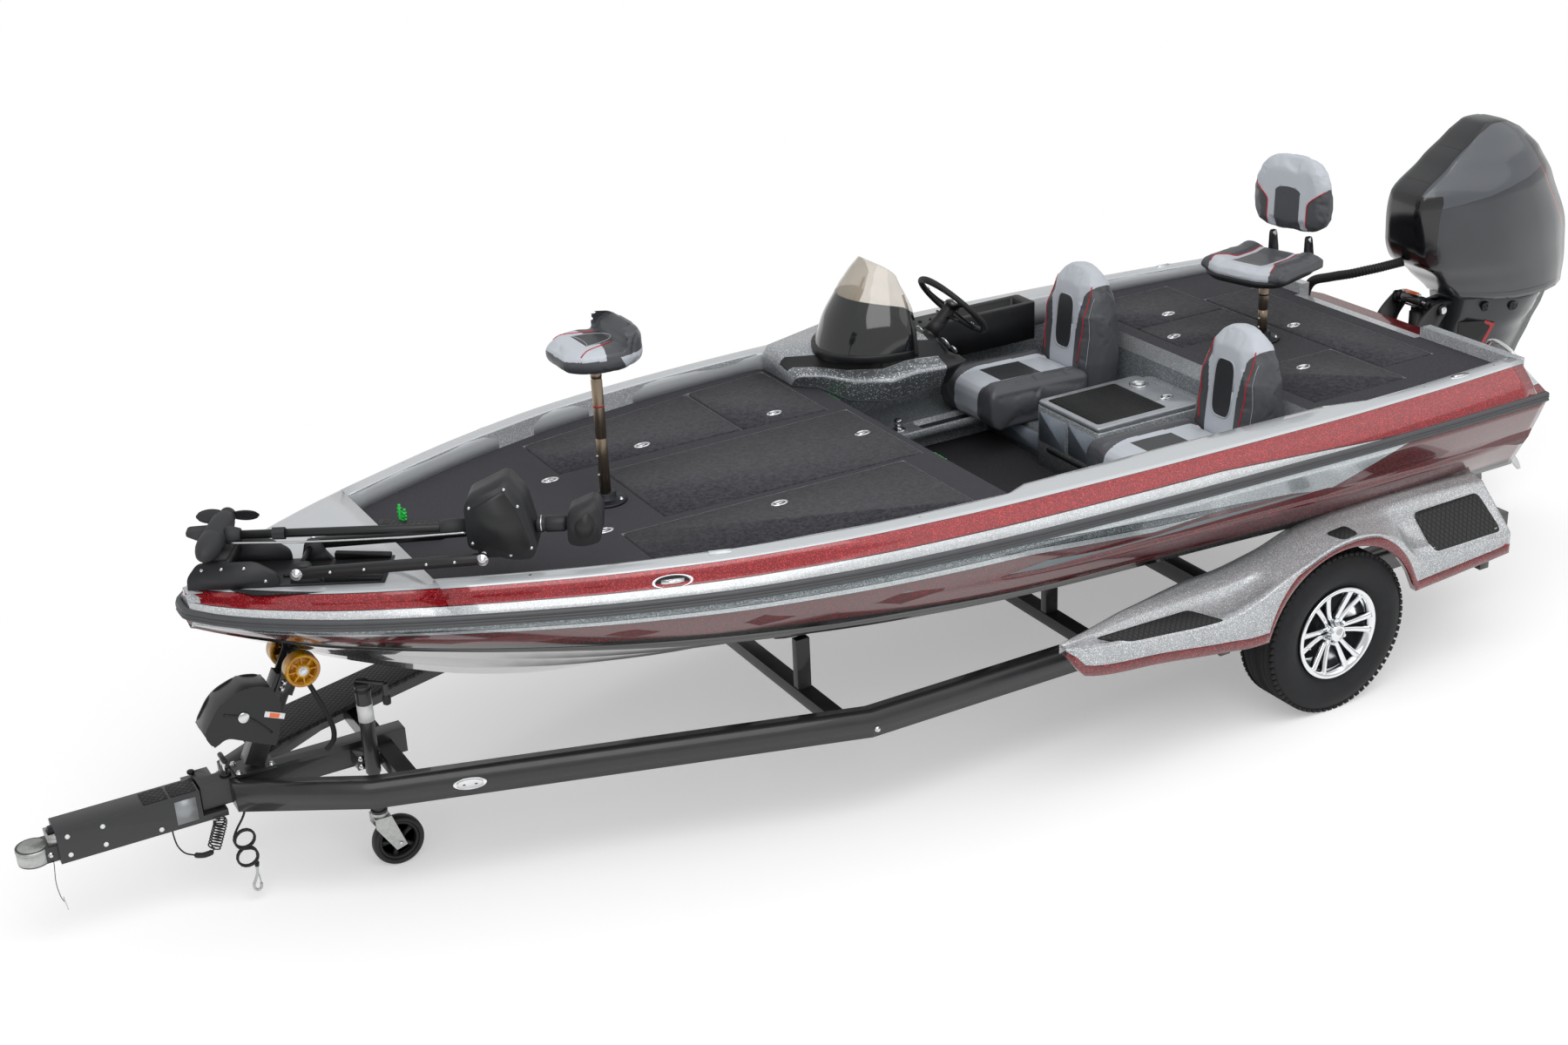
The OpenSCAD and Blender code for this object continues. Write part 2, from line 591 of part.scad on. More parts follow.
// Room between the tube's two halves
rigging_room = [-0.2, 0.3, 0.15];
module rigging_tube_fore() { color("#151516") sweep(rigging_path, rigging_r, 12, 0, rigging_split); }
module rigging_tube_aft() {
  color("#151516") difference() {
    translate(rigging_room) sweep(rigging_path, rigging_r, 12, rigging_split);
    engine_cowl();
  }
}

// Trailer frame
frame_low = frame_z - rail_tall;
// The outer edge of a side rail. Columns: x, y
rail_edge = [[-1250, frame_half], [2100, frame_half], [3900, 380], [4330, 118]];
rail_inner = [[-1250, frame_half - rail_w], [2088, frame_half - rail_w], [3880, 376 - rail_w], [4330, 38]];
module side_rail(s) {
  color("#232426") plan([for (p = concat(rail_edge, [for (i = [3:-1:0]) rail_inner[i]])) [p[0], s * p[1]]], frame_low, frame_z);
}
module frame_rail_left() side_rail(1);
module frame_rail_right() side_rail(-1);
// A cross member from x0 to x1 whose ends follow the rails, from the centre or from the tongue beam
module between_rails(x0, x1, z0, z1, start) {
  for (s = [-1, 1])
    plan([[x0, s * start], [x0, s * (lookup(x0, rail_inner) - 0.1)], [x1, s * (lookup(x1, rail_inner) - 0.1)], [x1, s * start]], z0, z1);
}
cross_x = [-1100, 950, 2150];
module cross_members() {
  color("#232426") {
    for (x = cross_x) between_rails(x - 35, x + 35, frame_low - 12, frame_low + 38, 0);
    // Tongue beam between the rails and the short cross member behind the jack
    block(3640, hinge_x + 14, -37, 37, frame_low, frame_z);
    between_rails(3700, 3770, frame_low + 10, frame_low + 70, 30);
    // Ears for the tongue's swing pin
    for (z = [frame_low, frame_z - 12]) difference() {
      block(hinge_x - 50, hinge_x + 16, hinge_y - 17, -30, z, z + 12);
      translate([hinge_x, hinge_y, z - 1]) cylinder(r = 8.05, h = 20);
    }
    // Bunk posts
    for (x = cross_x, s = [-1, 1])
      block(x - 30, x + 30, s * bunk_y - 18, s * bunk_y + 18, frame_low + 30, bottom_z(x - 30, bunk_y - 18) - bunk_t - 2 * eps);
  }
}
bunk_y = 500;
bunk_w = 90;
bunk_t = 42;
module bunks() {
  color("#2b2b2e") for (s = [-1, 1]) difference() {
    xs = [-1180, -600, 0, 700, 1400, 2000, 2250];
    loft([for (x = xs) let (a = bunk_y - bunk_w / 2, b = bunk_y + bunk_w / 2, low = [bottom_z(x, a) - bunk_t, bottom_z(x, b) - bunk_t],
      top = bunk_t + 40)
      s > 0 ? [[x, a, low[0]], [x, b, low[1]], [x, b, low[1] + top], [x, a, low[0] + top]]
            : [[x, -b, low[1]], [x, -a, low[0]], [x, -a, low[0] + top], [x, -b, low[1] + top]]]);
    translate([0, 0, -eps]) hull_outside();
  }
}
// Torsion axle: a tube under the rails with a trailing arm and a spindle at each end
axle_tube_x = 150;
spindle_r = 20;
module axle() {
  color("#1f2022") {
    block(axle_tube_x - 38, axle_tube_x + 38, -960, 960, frame_low - 77, frame_low - eps);
    for (s = [-1, 1]) {
      block(-45, axle_tube_x + 38, s * 978 - 18, s * 978 + 18, tyre_r - 40, tyre_r + 38);
      translate([0, s * 1060, tyre_r]) across(spindle_r, 170);
      // Arms that carry the fender
      for (x = [-780, 640])
        block(x - 25, x + 25, s * (frame_half + fender_half - fender_t) / 2 - arm_half, s * (frame_half + fender_half - fender_t) / 2 + arm_half,
          462, 545);
    }
  }
}
arm_half = (fender_half - fender_t - frame_half) / 2 - 0.1;
// Fender stations. Columns: x, inner y, inner z, crease y, crease z, outer z, bottom z
fender_rows = [
  [ 1430, 1225, 722, 1240, 720, 716, 690],
  [ 1330, 1190, 715, 1215, 712, 690, 575],
  [ 1000, 1090, 704, 1130, 700, 640, 528],
  [  640, 1000, 690, 1080, 684, 606, 477],
  [  500, 1000, 698, 1095, 694, 640, 458],
  [  300, 1000, 730, 1120, 735, 722, 458],
  [   60, 1000, 795, 1140, 800, 796, 458],
  [ -100, 1030, 820, 1130, 812, 796, 458],
  [ -260, 1030, 822, 1110, 806, 735, 458],
  [ -380, 1028, 820, 1090, 802, 620, 470],
  [ -500, 1024, 816, 1085, 798, 604, 478],
  [ -760, 1012, 806, 1085, 788, 604, 495],
  [ -910, 1005, 798, 1085, 780, 604, 506]];
arch_r = 410;
module fender(s) {
  f = fender_half;
  t = fender_t;
  n = len(fender_rows) - 1;
  // The outer shape, and the hollow that is open below and towards the boat
  function outer(r) = [[r[0], f, r[6]], [r[0], r[1], r[6]], [r[0], r[1], r[2]], [r[0], r[3], r[4]], [r[0], f, r[5]]];
  function hollow(r, x) = [[x, f - t, r[6] - 60], [x, r[1] - 60, r[6] - 60], [x, r[1] - 60, r[2] - t], [x, r[3] - 4, r[4] - t],
    [x, f - t, r[5] - t]];
  color("#b8bcc0") mirror([0, s > 0 ? 0 : 1, 0]) difference() {
    loft([for (r = fender_rows) outer(r)]);
    loft([for (i = [1:n]) hollow(fender_rows[i], fender_rows[i][0] + (i == n ? t : 0))]);
    translate([20, fender_half, tyre_r]) across(arch_r, 700);
  }
}
module fender_left() fender(1);
module fender_right() fender(-1);

// Wheels
bead_r = 194;
rim_gap = 0.3;
module tyre(s) {
  w = tyre_w / 2;
  color("#1b1b1c") translate([0, s * wheel_y, tyre_r]) rotate([90, 0, 0]) rotate_extrude($fn = 96)
    polygon([[bead_r, -78], [bead_r + 20, -88], [270, -w], [tyre_r - 22, -w + 8], [tyre_r, -w + 32], [tyre_r, w - 32],
      [tyre_r - 22, w - 8], [270, w], [bead_r + 20, 88], [bead_r, 78]]);
}
module rim(s) {
  color("#d5d8db") translate([0, s * wheel_y, tyre_r]) rotate([-90 * s, 0, 0]) difference() {
    union() {
      rotate_extrude($fn = 96) polygon([[150, -90], [bead_r + 10, -94], [bead_r + 10, -90], [bead_r - rim_gap, -79],
        [bead_r - rim_gap, 79], [bead_r + 10, 90], [bead_r + 12, 104], [bead_r - 4, 106], [170, 90], [170, -84], [150, -84]]);
      // Dished face and hub
      rotate_extrude($fn = 96) polygon([[0, 40], [70, 44], [172, 70], [172, 84], [80, 66], [45, 66], [38, 100], [0, 100]]);
      translate([0, 0, -84]) cylinder(r = 52, h = 130);
    }
    translate([0, 0, -90]) cylinder(r = spindle_r + 0.05, h = 150);
  }
}
module tyre_left() tyre(1);
module tyre_right() tyre(-1);
module rim_left() rim(1);
module rim_right() rim(-1);

// Winch stand and bow stop
module winch_stand() {
  color("#232426") {
    block(4150, 4300, -55, 55, frame_z + eps, frame_z + 12);
    difference() {
      union() {
        bar([4226, 0, 519], [4060, 0, 850], 60, 76);
        for (s = [-1, 1]) bar([4080, s * 33, 780], [4008, s * 33, 921], 10, 70);
      }
      translate(roller_at) across(9.3, 120);
    }
    side_profile([[4160, 640], [4330, 730], [4380, 700], [4410, 760], [4340, 860], [4240, 900], [4150, 880], [4120, 800]], 28, 150);
  }
}
roller_at = [4016, 0, 893];
module bow_rollers() {
  color("#d99a12") {
    for (s = [-1, 1]) translate(roller_at) translate([0, s * 95, 0]) across(66, 60);
    translate(roller_at) across(9, 200);
  }
}
module step_plate() {
  color("#1c1d1f") plan([[4200, -62], [3420, -352], [3420, -560], [4080, -345], [4200, -230]], frame_z + eps, frame_z + 20);
}

// Tongue jack with its caster
jack_at = [3815, 146];
caster_trail = 58;
module jack() {
  color("#1f2022") {
    translate([jack_at[0], jack_at[1], 420]) cylinder(r = 29, h = 370);
    translate([jack_at[0], jack_at[1], 252]) cylinder(r = 23, h = 180);
    translate([jack_at[0], jack_at[1], 245]) cylinder(r = 32, h = 10);
    block(jack_at[0] - 44, jack_at[0] + 50, 37 + eps, 122, 425, 485);
    // Crank on top
    rod([jack_at[0], jack_at[1], 780], [jack_at[0] + 20, jack_at[1], 815], 9);
    rod([jack_at[0] + 20, jack_at[1], 810], [jack_at[0] - 60, jack_at[1] + 90, 815], 8);
    rod([jack_at[0] - 60, jack_at[1] + 90, 815], [jack_at[0] - 60, jack_at[1] + 90, 740], 11);
  }
}
module caster_yoke() {
  color("#a9adb0") translate([jack_at[0], jack_at[1], 0]) {
    translate([0, 0, 225]) cylinder(r = 32, h = 20 - eps);
    difference() {
      for (s = [-1, 1]) side_profile([[30, 232], [-34, 232], [-caster_trail - 24, caster_r - 12], [-caster_trail + 20, caster_r - 24], [30, 190]],
        s * 36 - 3, s * 36 + 3);
      translate([-caster_trail, 0, caster_r]) across(8.05, 100);
    }
    block(-34, 30, -36, 36, 222, 232);
  }
}
module caster_wheel() {
  color("#161617") translate([jack_at[0] - caster_trail, jack_at[1], caster_r]) {
    across(caster_r, 50);
    across(8, 84);
  }
}

// Swing-away tongue with its actuator and coupler
hinge_x = 4422;
hinge_y = -84;
ball_r = 25.8;
module tongue() {
  color("#1d1e20") {
    difference() {
      union() {
        block(hinge_x + 22, 4962, -60, 60, 366, 497);
        block(4961, nose_x - 58, -48, 48, 378, 440);
        translate([nose_x - 58, 0, 378]) cylinder(r = 58, h = 62);
      }
      // Socket for the ball
      translate([nose_x - 58, 0, 370]) cylinder(r = ball_r, h = 48);
    }
    // Swing pin and the strap that joins it to the tongue
    translate([hinge_x, hinge_y, frame_low + 1]) cylinder(r = 8, h = rail_tall - 2);
    translate([hinge_x, hinge_y, frame_low + 13]) cylinder(r = 15, h = rail_tall - 26);
    block(hinge_x, hinge_x + 53, hinge_y - 15, -59, frame_low + 13, frame_z - 13);
    // Lower jaw under the tongue beam
    block(hinge_x - 70, hinge_x + 30, -60, 60, 366, 392);
  }
}
// Coiled cable under the jaw, its plug and the wire back to the tongue
coil_path = [[4385, 45, 365.7], [4385, 45, 345], [4410, 45, 280], [4428, 45, 236]];
plug_path = [[4432, 45, 226], [4462, 45, 222], [4497, 45, 234]];
wire_path = [[4496, 45, 234], [4530, 45, 252], [4550, 45, 290], [4560, 45, 340], [4560, 45, 365.7]];
module trailer_cable() {
  color("#151516") {
    sweep(coil_path, 27, 12);
    sweep(plug_path, 10, 10);
    sweep(wire_path, 5, 8);
  }
}
// Two coiled safety cables with their hook, under the end of the port rail
module safety_cables() {
  color("#1a1a1b") {
    sweep([[4300, 100, 399.7], [4300, 100, 385], [4310, 110, 362], [4322, 120, 332]], 7, 10);
    translate([4324, 120, 289]) rotate([90, 0, 0]) rotate_extrude() translate([38, 0]) circle(r = 9);
    translate([4320, 120, 201]) rotate([90, 0, 0]) rotate_extrude() translate([38, 0]) circle(r = 9);
    sweep([[4326, 120, 160], [4330, 120, 120], [4340, 120, 92], [4338, 120, 45]], 7, 10);
  }
}

module at_origin() translate([axle_x, 0, 0]) children();
at_origin() boat_hull();
at_origin() deck();
at_origin() rub_rail();
at_origin() front_lid_port();
at_origin() front_lid_starboard();
at_origin() front_lid_starboard_aft();
at_origin() front_lid_centre();
at_origin() rear_lid_port();
at_origin() rear_lid_starboard();
at_origin() rear_lid_centre();
at_origin() rear_lid_aft();
at_origin() seat_base();
at_origin() step_lid();
at_origin() seat_cushions();
at_origin() seat_backs();
at_origin() console();
at_origin() windshield();
at_origin() steering_wheel();
at_origin() side_console();
at_origin() bow_seat_pole();
at_origin() bow_seat_plate();
at_origin() bow_seat();
at_origin() rear_seat_pole();
at_origin() rear_seat_hinge();
at_origin() rear_seat_cushion();
at_origin() rear_seat_back();
at_origin() motor_base();
at_origin() motor_arms();
at_origin() motor_shaft();
at_origin() bow_propeller();
at_origin() foot_pedal();
at_origin() transom_bracket();
at_origin() swivel_bracket();
at_origin() engine_leg();
at_origin() engine_cowl();
at_origin() engine_block();
at_origin() propeller();
at_origin() stern_handle();
at_origin() rigging_tube_fore();
at_origin() rigging_tube_aft();
at_origin() frame_rail_left();
at_origin() frame_rail_right();
at_origin() cross_members();
at_origin() axle();
at_origin() bunks();
at_origin() fender_left();
at_origin() fender_right();
at_origin() tyre_left();
at_origin() tyre_right();
at_origin() rim_left();
at_origin() rim_right();
at_origin() winch_stand();
at_origin() bow_rollers();
at_origin() step_plate();
at_origin() jack();
at_origin() caster_yoke();
at_origin() caster_wheel();
at_origin() tongue();
at_origin() trailer_cable();
at_origin() safety_cables();
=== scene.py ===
import bpy, bmesh, math
from mathutils import Vector, Matrix
from mathutils.bvhtree import BVHTree


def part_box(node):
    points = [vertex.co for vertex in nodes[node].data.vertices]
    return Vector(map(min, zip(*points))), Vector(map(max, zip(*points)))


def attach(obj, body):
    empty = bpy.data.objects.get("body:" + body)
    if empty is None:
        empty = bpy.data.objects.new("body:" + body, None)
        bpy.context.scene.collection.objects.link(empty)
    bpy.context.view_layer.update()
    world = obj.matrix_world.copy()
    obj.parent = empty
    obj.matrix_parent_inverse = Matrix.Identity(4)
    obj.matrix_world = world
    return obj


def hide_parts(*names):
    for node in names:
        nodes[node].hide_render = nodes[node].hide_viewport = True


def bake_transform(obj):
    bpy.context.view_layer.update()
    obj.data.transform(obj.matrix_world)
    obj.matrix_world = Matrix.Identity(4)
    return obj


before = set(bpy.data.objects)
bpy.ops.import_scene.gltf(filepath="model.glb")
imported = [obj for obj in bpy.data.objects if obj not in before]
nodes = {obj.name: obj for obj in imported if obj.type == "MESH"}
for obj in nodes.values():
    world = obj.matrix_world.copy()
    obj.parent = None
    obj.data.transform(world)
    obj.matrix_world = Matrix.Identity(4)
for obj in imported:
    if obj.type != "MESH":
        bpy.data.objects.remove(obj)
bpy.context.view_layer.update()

tyreLow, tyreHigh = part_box("tyre_left")
axleX = (tyreLow.x + tyreHigh.x) / 2      # the trailer's axle, in the row frame
scene = bpy.context.scene
print("frame loaded")


def at(x, y, z):  # millimetres from the axle, to metres in the row frame
    return Vector((axleX + x / 1000, y / 1000, z / 1000))


def stand(x, y, z, turned=0.0, about="Z"):  # a place for shapes drawn in millimetres, turned about one axis
    return Matrix.Translation(at(x, y, z)) @ Matrix.Rotation(turned, 4, about) @ Matrix.Scale(0.001, 4)


def shifted(place, x, y, z, turned=0.0, about="X"):
    return place @ Matrix.Translation((x, y, z)) @ Matrix.Rotation(turned, 4, about)


def tint(code):  # a colour written as six letters, as shader numbers
    parts = [int(code[i:i + 2], 16) / 255 for i in (0, 2, 4)]
    return tuple(c / 12.92 if c < 0.04045 else ((c + 0.055) / 1.055) ** 2.4 for c in parts) + (1.0,)


def smoothStep(t):
    t = min(max(t, 0), 1)
    return t * t * (3 - 2 * t)


# The photograph's view
view = {"camera": (5783, 7135, 4467), "target": (1892, 0, 856), "roll": -0.046, "focal": 49.4,
        "shift": (-0.0054, 0.0066), "floor": 60, "key": 430, "fill": 150, "sky": 0.62, "floorGlow": 0.34}


def makeCamera():
    spot, target = at(*view["camera"]), at(*view["target"])
    forward = (target - spot).normalized()
    side = forward.cross(Vector((0, 0, 1))).normalized()
    up = side.cross(forward)
    c, s = math.cos(view["roll"]), math.sin(view["roll"])
    right, top = side * c + up * s, up * c - side * s
    data = bpy.data.cameras.new("photoCamera")
    data.lens, data.sensor_width = view["focal"], 36
    data.shift_x, data.shift_y = view["shift"]
    data.clip_end = 200
    camera = bpy.data.objects.new("photoCamera", data)
    scene.collection.objects.link(camera)
    camera.matrix_world = Matrix((right, top, -forward)).transposed().to_4x4()
    camera.location = spot
    scene.camera = camera


makeCamera()


class Wire:  # one output socket, which can stand in a sum
    def __init__(self, bench, socket):
        self.bench, self.socket = bench, socket

    def sum(self, operation, *values):
        return self.bench.node("Math", {"operation": operation}, dict(enumerate(values)))

    def __add__(self, other): return self.sum("ADD", self, other)
    def __radd__(self, other): return self.sum("ADD", other, self)
    def __sub__(self, other): return self.sum("SUBTRACT", self, other)
    def __rsub__(self, other): return self.sum("SUBTRACT", other, self)
    def __mul__(self, other): return self.sum("MULTIPLY", self, other)
    def __rmul__(self, other): return self.sum("MULTIPLY", other, self)
    def __gt__(self, other): return self.sum("GREATER_THAN", self, other)
    def __lt__(self, other): return self.sum("LESS_THAN", self, other)
    def __abs__(self): return self.only("ABSOLUTE")
    def __and__(self, other): return self.sum("MINIMUM", self, other)
    def __or__(self, other): return self.sum("MAXIMUM", self, other)

    def only(self, operation):
        return self.sum(operation, self)

    def line(self, x0, x1, y0, y1):  # y0 at x0, changing evenly to y1 at x1
        return self.bench.node("MapRange", None,
                               {"Value": self, "From Min": x0, "From Max": x1, "To Min": y0, "To Max": y1})

    def over(self, low, high):  # 0 below low, 1 above high
        return self.bench.node("MapRange", {"interpolation_type": "SMOOTHSTEP"},
                               {"Value": self, "From Min": low, "From Max": high})

    def parts(self):
        split = self.bench.node("SeparateXYZ", None, {0: self})
        return [Wire(self.bench, s) for s in split.socket.node.outputs]


class Bench:  # one material being made
    def __init__(self, name):
        self.material = bpy.data.materials.new(name)
        self.material.use_nodes = True
        self.tree = self.material.node_tree
        self.shader = self.tree.nodes["Principled BSDF"]

    def node(self, kind, settings=None, inputs=None, out=0):
        made = self.tree.nodes.new("ShaderNode" + kind)
        for key, value in (settings or {}).items():
            if key == "stops":
                for i, (place, colour) in enumerate(value):
                    stop = made.color_ramp.elements[i] if i < 2 else made.color_ramp.elements.new(place)
                    stop.position, stop.color = place, colour
            else:
                setattr(made, key, value)
        for key, value in (inputs or {}).items():
            if isinstance(value, Wire):
                self.tree.links.new(value.socket, made.inputs[key])
            else:
                made.inputs[key].default_value = value
        return Wire(self, made.outputs[out])

    def place(self):
        return self.node("TexCoord", out="Object")

    def sheetPlace(self):
        return self.node("TexCoord", out="UV")

    def stretched(self, where, scale):
        return self.node("Mapping", None, {"Vector": where, "Scale": scale})

    def noise(self, scale, detail=2, where=None):
        return self.node("TexNoise", None, {"Vector": where or self.place(), "Scale": scale, "Detail": detail})

    def cells(self, scale):  # a random colour in each cell
        return self.node("TexVoronoi", None, {"Vector": self.place(), "Scale": scale}, "Color").parts()

    def facingUp(self):
        return self.node("NewGeometry", out="Normal").parts()[2]

    def mix(self, share, first, second):  # colours
        made = self.node("Mix", {"data_type": "RGBA"}, {0: share, 6: first, 7: second})
        return Wire(self, made.socket.node.outputs[2])

    def bump(self, height, strength, distance):
        return self.node("Bump", None, {"Height": height, "Strength": strength, "Distance": distance})

    def finish(self, **sockets):
        for key, value in sockets.items():
            name = {"colour": "Base Color", "roughness": "Roughness", "metal": "Metallic", "coat": "Coat Weight",
                    "coatRoughness": "Coat Roughness", "sheen": "Sheen Weight", "normal": "Normal",
                    "alpha": "Alpha", "glow": "Emission Color", "glowStrength": "Emission Strength",
                    "specular": "Specular IOR Level", "transmission": "Transmission Weight", "ior": "IOR",
                    "sheenRoughness": "Sheen Roughness"}[key]
            if isinstance(value, Wire):
                self.tree.links.new(value.socket, self.shader.inputs[name])
            else:
                self.shader.inputs[name].default_value = value
        return self.material


# Flake paint: small bright chips under a clear coat
def flakeColour(b, deep, chip, share=0.25, size=650):
    deep, chip = tint(deep), tint(chip)
    tone = b.mix(b.noise(9, 3).over(0.3, 0.7) * 0.5, deep, tuple(c * 0.82 for c in deep[:3]) + (1,))
    return b.mix(b.cells(size)[0].over(1 - share, 1.0), tone, chip)


def flakePaint(name, deep, chip, share=0.25, size=650, roughness=0.32, metal=0.35):
    b = Bench(name)
    return b.finish(colour=flakeColour(b, deep, chip, share, size), roughness=roughness, metal=metal,
                    coat=1.0, coatRoughness=0.04, normal=b.bump(b.cells(size)[1], 0.12, 0.0006))


def plainPlastic(name, code, roughness=0.45, grain=900, depth=0.0002, metal=0.0, coat=0.0):
    b = Bench(name)
    wear = b.noise(14, 4).over(0.25, 0.8)
    base = tint(code)
    lighter = tuple(min(c * 1.25 + 0.004, 1) for c in base[:3]) + (1,)
    return b.finish(colour=b.mix(wear * 0.6, base, lighter), roughness=roughness + wear * 0.1, metal=metal, coat=coat,
                    normal=b.bump(b.noise(grain, 2), 0.25, depth))


def castMetal(name, code, roughness=0.3, metal=1.0, spangle=0.0, scale=60):
    b = Bench(name)
    base = tint(code)
    darker = tuple(c * 0.72 for c in base[:3]) + (1,)
    patches = b.cells(scale)[0] if spangle else b.noise(30, 4)
    scratches = b.noise(40, 3, b.stretched(b.place(), (1, 1, 14)))
    return b.finish(colour=b.mix(patches * (spangle or 0.3), base, darker),
                    roughness=roughness + scratches * 0.14, metal=metal,
                    normal=b.bump(b.noise(220, 3), 0.1, 0.0004))


def carpetFinish(name, dark, light, pile=0.0025):
    b = Bench(name)
    fibre = b.noise(420, 3)
    clump = b.noise(60, 3)
    shade = (fibre * 0.7 + clump * 0.35).over(0.35, 0.75)
    return b.finish(colour=b.mix(shade, tint(dark), tint(light)), roughness=0.95, sheen=0.1, sheenRoughness=0.6,
                    specular=0.1, normal=b.bump(fibre + clump * 0.6, 0.9, pile))


def treadFinish(name, code, pitch=26):
    # Diamonds of a moulded non-slip pad, with painted shade in the grooves between them
    b = Bench(name)
    x, y, _ = b.place().parts()
    left = abs(((x + y) * (1000 / pitch)).only("FRACT") - 0.5)
    right = abs(((x - y) * (1000 / pitch)).only("FRACT") - 0.5)
    ridge = (left & right).over(0.06, 0.2)
    base = tint(code)
    # The grooves get half the pad's colour: painted shade in the grooves, not a different material
    return b.finish(colour=b.mix(ridge, tuple(c * 0.5 for c in base[:3]) + (1,), base), roughness=0.7 - ridge * 0.2,
                    normal=b.bump(ridge + b.noise(700, 2) * 0.2, 0.8, 0.0014))


finishes = {
    "gelGrey": flakePaint("gelGrey", "8e9399", "f4f6f8", 0.3, 520, 0.4, 0.15),
    "maroonFlake": flakePaint("maroonFlake", "4a0610", "e0202c", 0.2, 620),
    "carpet": carpetFinish("carpet", "222226", "55555c"),
    "bunkCarpet": carpetFinish("bunkCarpet", "151517", "38383c"),
    "lightGrey": plainPlastic("lightGrey", "c4c8cd", 0.35, 700, 0.0001, coat=0.4),
    "blackPlastic": plainPlastic("blackPlastic", "18191b", 0.5, 1100, 0.0003),
    "glossBlack": plainPlastic("glossBlack", "0b0c0e", 0.22, 600, 0.00005, coat=1.0),
    "satinBlack": plainPlastic("satinBlack", "1c1d1f", 0.42, 900, 0.0002),
    "motorBlack": plainPlastic("motorBlack", "222326", 0.48, 1000, 0.0003),
    "ironGrey": plainPlastic("ironGrey", "34373a", 0.34, 500, 0.0001, metal=0.5, coat=0.6),
    "trailerBlack": plainPlastic("trailerBlack", "232426", 0.36, 800, 0.0004, coat=0.35),
    "steel": castMetal("steel", "d8dadc", 0.12),
    "chrome": castMetal("chrome", "eef0f2", 0.05),
    "zinc": castMetal("zinc", "c3c5c2", 0.34, 1.0, 0.5, 90),
    "bronze": castMetal("bronze", "a2917f", 0.28),
    "darkMetal": castMetal("darkMetal", "3a3b3e", 0.4),
    "hoseBlack": plainPlastic("hoseBlack", "111214", 0.55, 1300, 0.0002),
    "tread": treadFinish("tread", "242527"),
    "redPlastic": plainPlastic("redPlastic", "b3121d", 0.3, 700, 0.0001, coat=0.5),
    "whitePlastic": plainPlastic("whitePlastic", "e6e7e8", 0.35, 700, 0.0001),
    "orangeLens": plainPlastic("orangeLens", "f2661a", 0.25, 300, 0.0004, coat=0.8),
    "greenStrap": plainPlastic("greenStrap", "1fc24a", 0.4, 500, 0.0002),
    "railGrey": plainPlastic("railGrey", "4a4b4e", 0.4, 900, 0.0002),
    "pipingRed": plainPlastic("pipingRed", "b0202a", 0.45, 900, 0.0001),
    "stitch": plainPlastic("stitch", "a9adb3", 0.6, 900, 0.0001),
    "flakeGrey": flakePaint("flakeGrey", "6c7277", "ffffff", 0.16, 260, 0.35, 0.3),
    "wheelGrip": plainPlastic("wheelGrip", "1a1b1c", 0.6, 420, 0.0006),
    "lightPanel": plainPlastic("lightPanel", "7d8590", 0.3, 700, 0.0001, coat=0.4),
    "steelGrey": plainPlastic("steelGrey", "a7abb0", 0.3, 600, 0.0001, metal=0.5, coat=0.5),
    "rubberBlack": plainPlastic("rubberBlack", "2b2c2e", 0.62, 800, 0.0004),
    "casterBlack": plainPlastic("casterBlack", "121213", 0.5, 700, 0.0003),
    "plateGrey": plainPlastic("plateGrey", "9a9da0", 0.4, 500, 0.0001, metal=0.5),
    "clearLamp": plainPlastic("clearLamp", "dfe5e8", 0.1, 300, 0.0001, coat=0.8),
}
print("finishes made")


def useOn(material, *names):
    for name in names:
        data = nodes[name].data
        data.materials.clear()
        data.materials.append(finishes[material] if isinstance(material, str) else material)


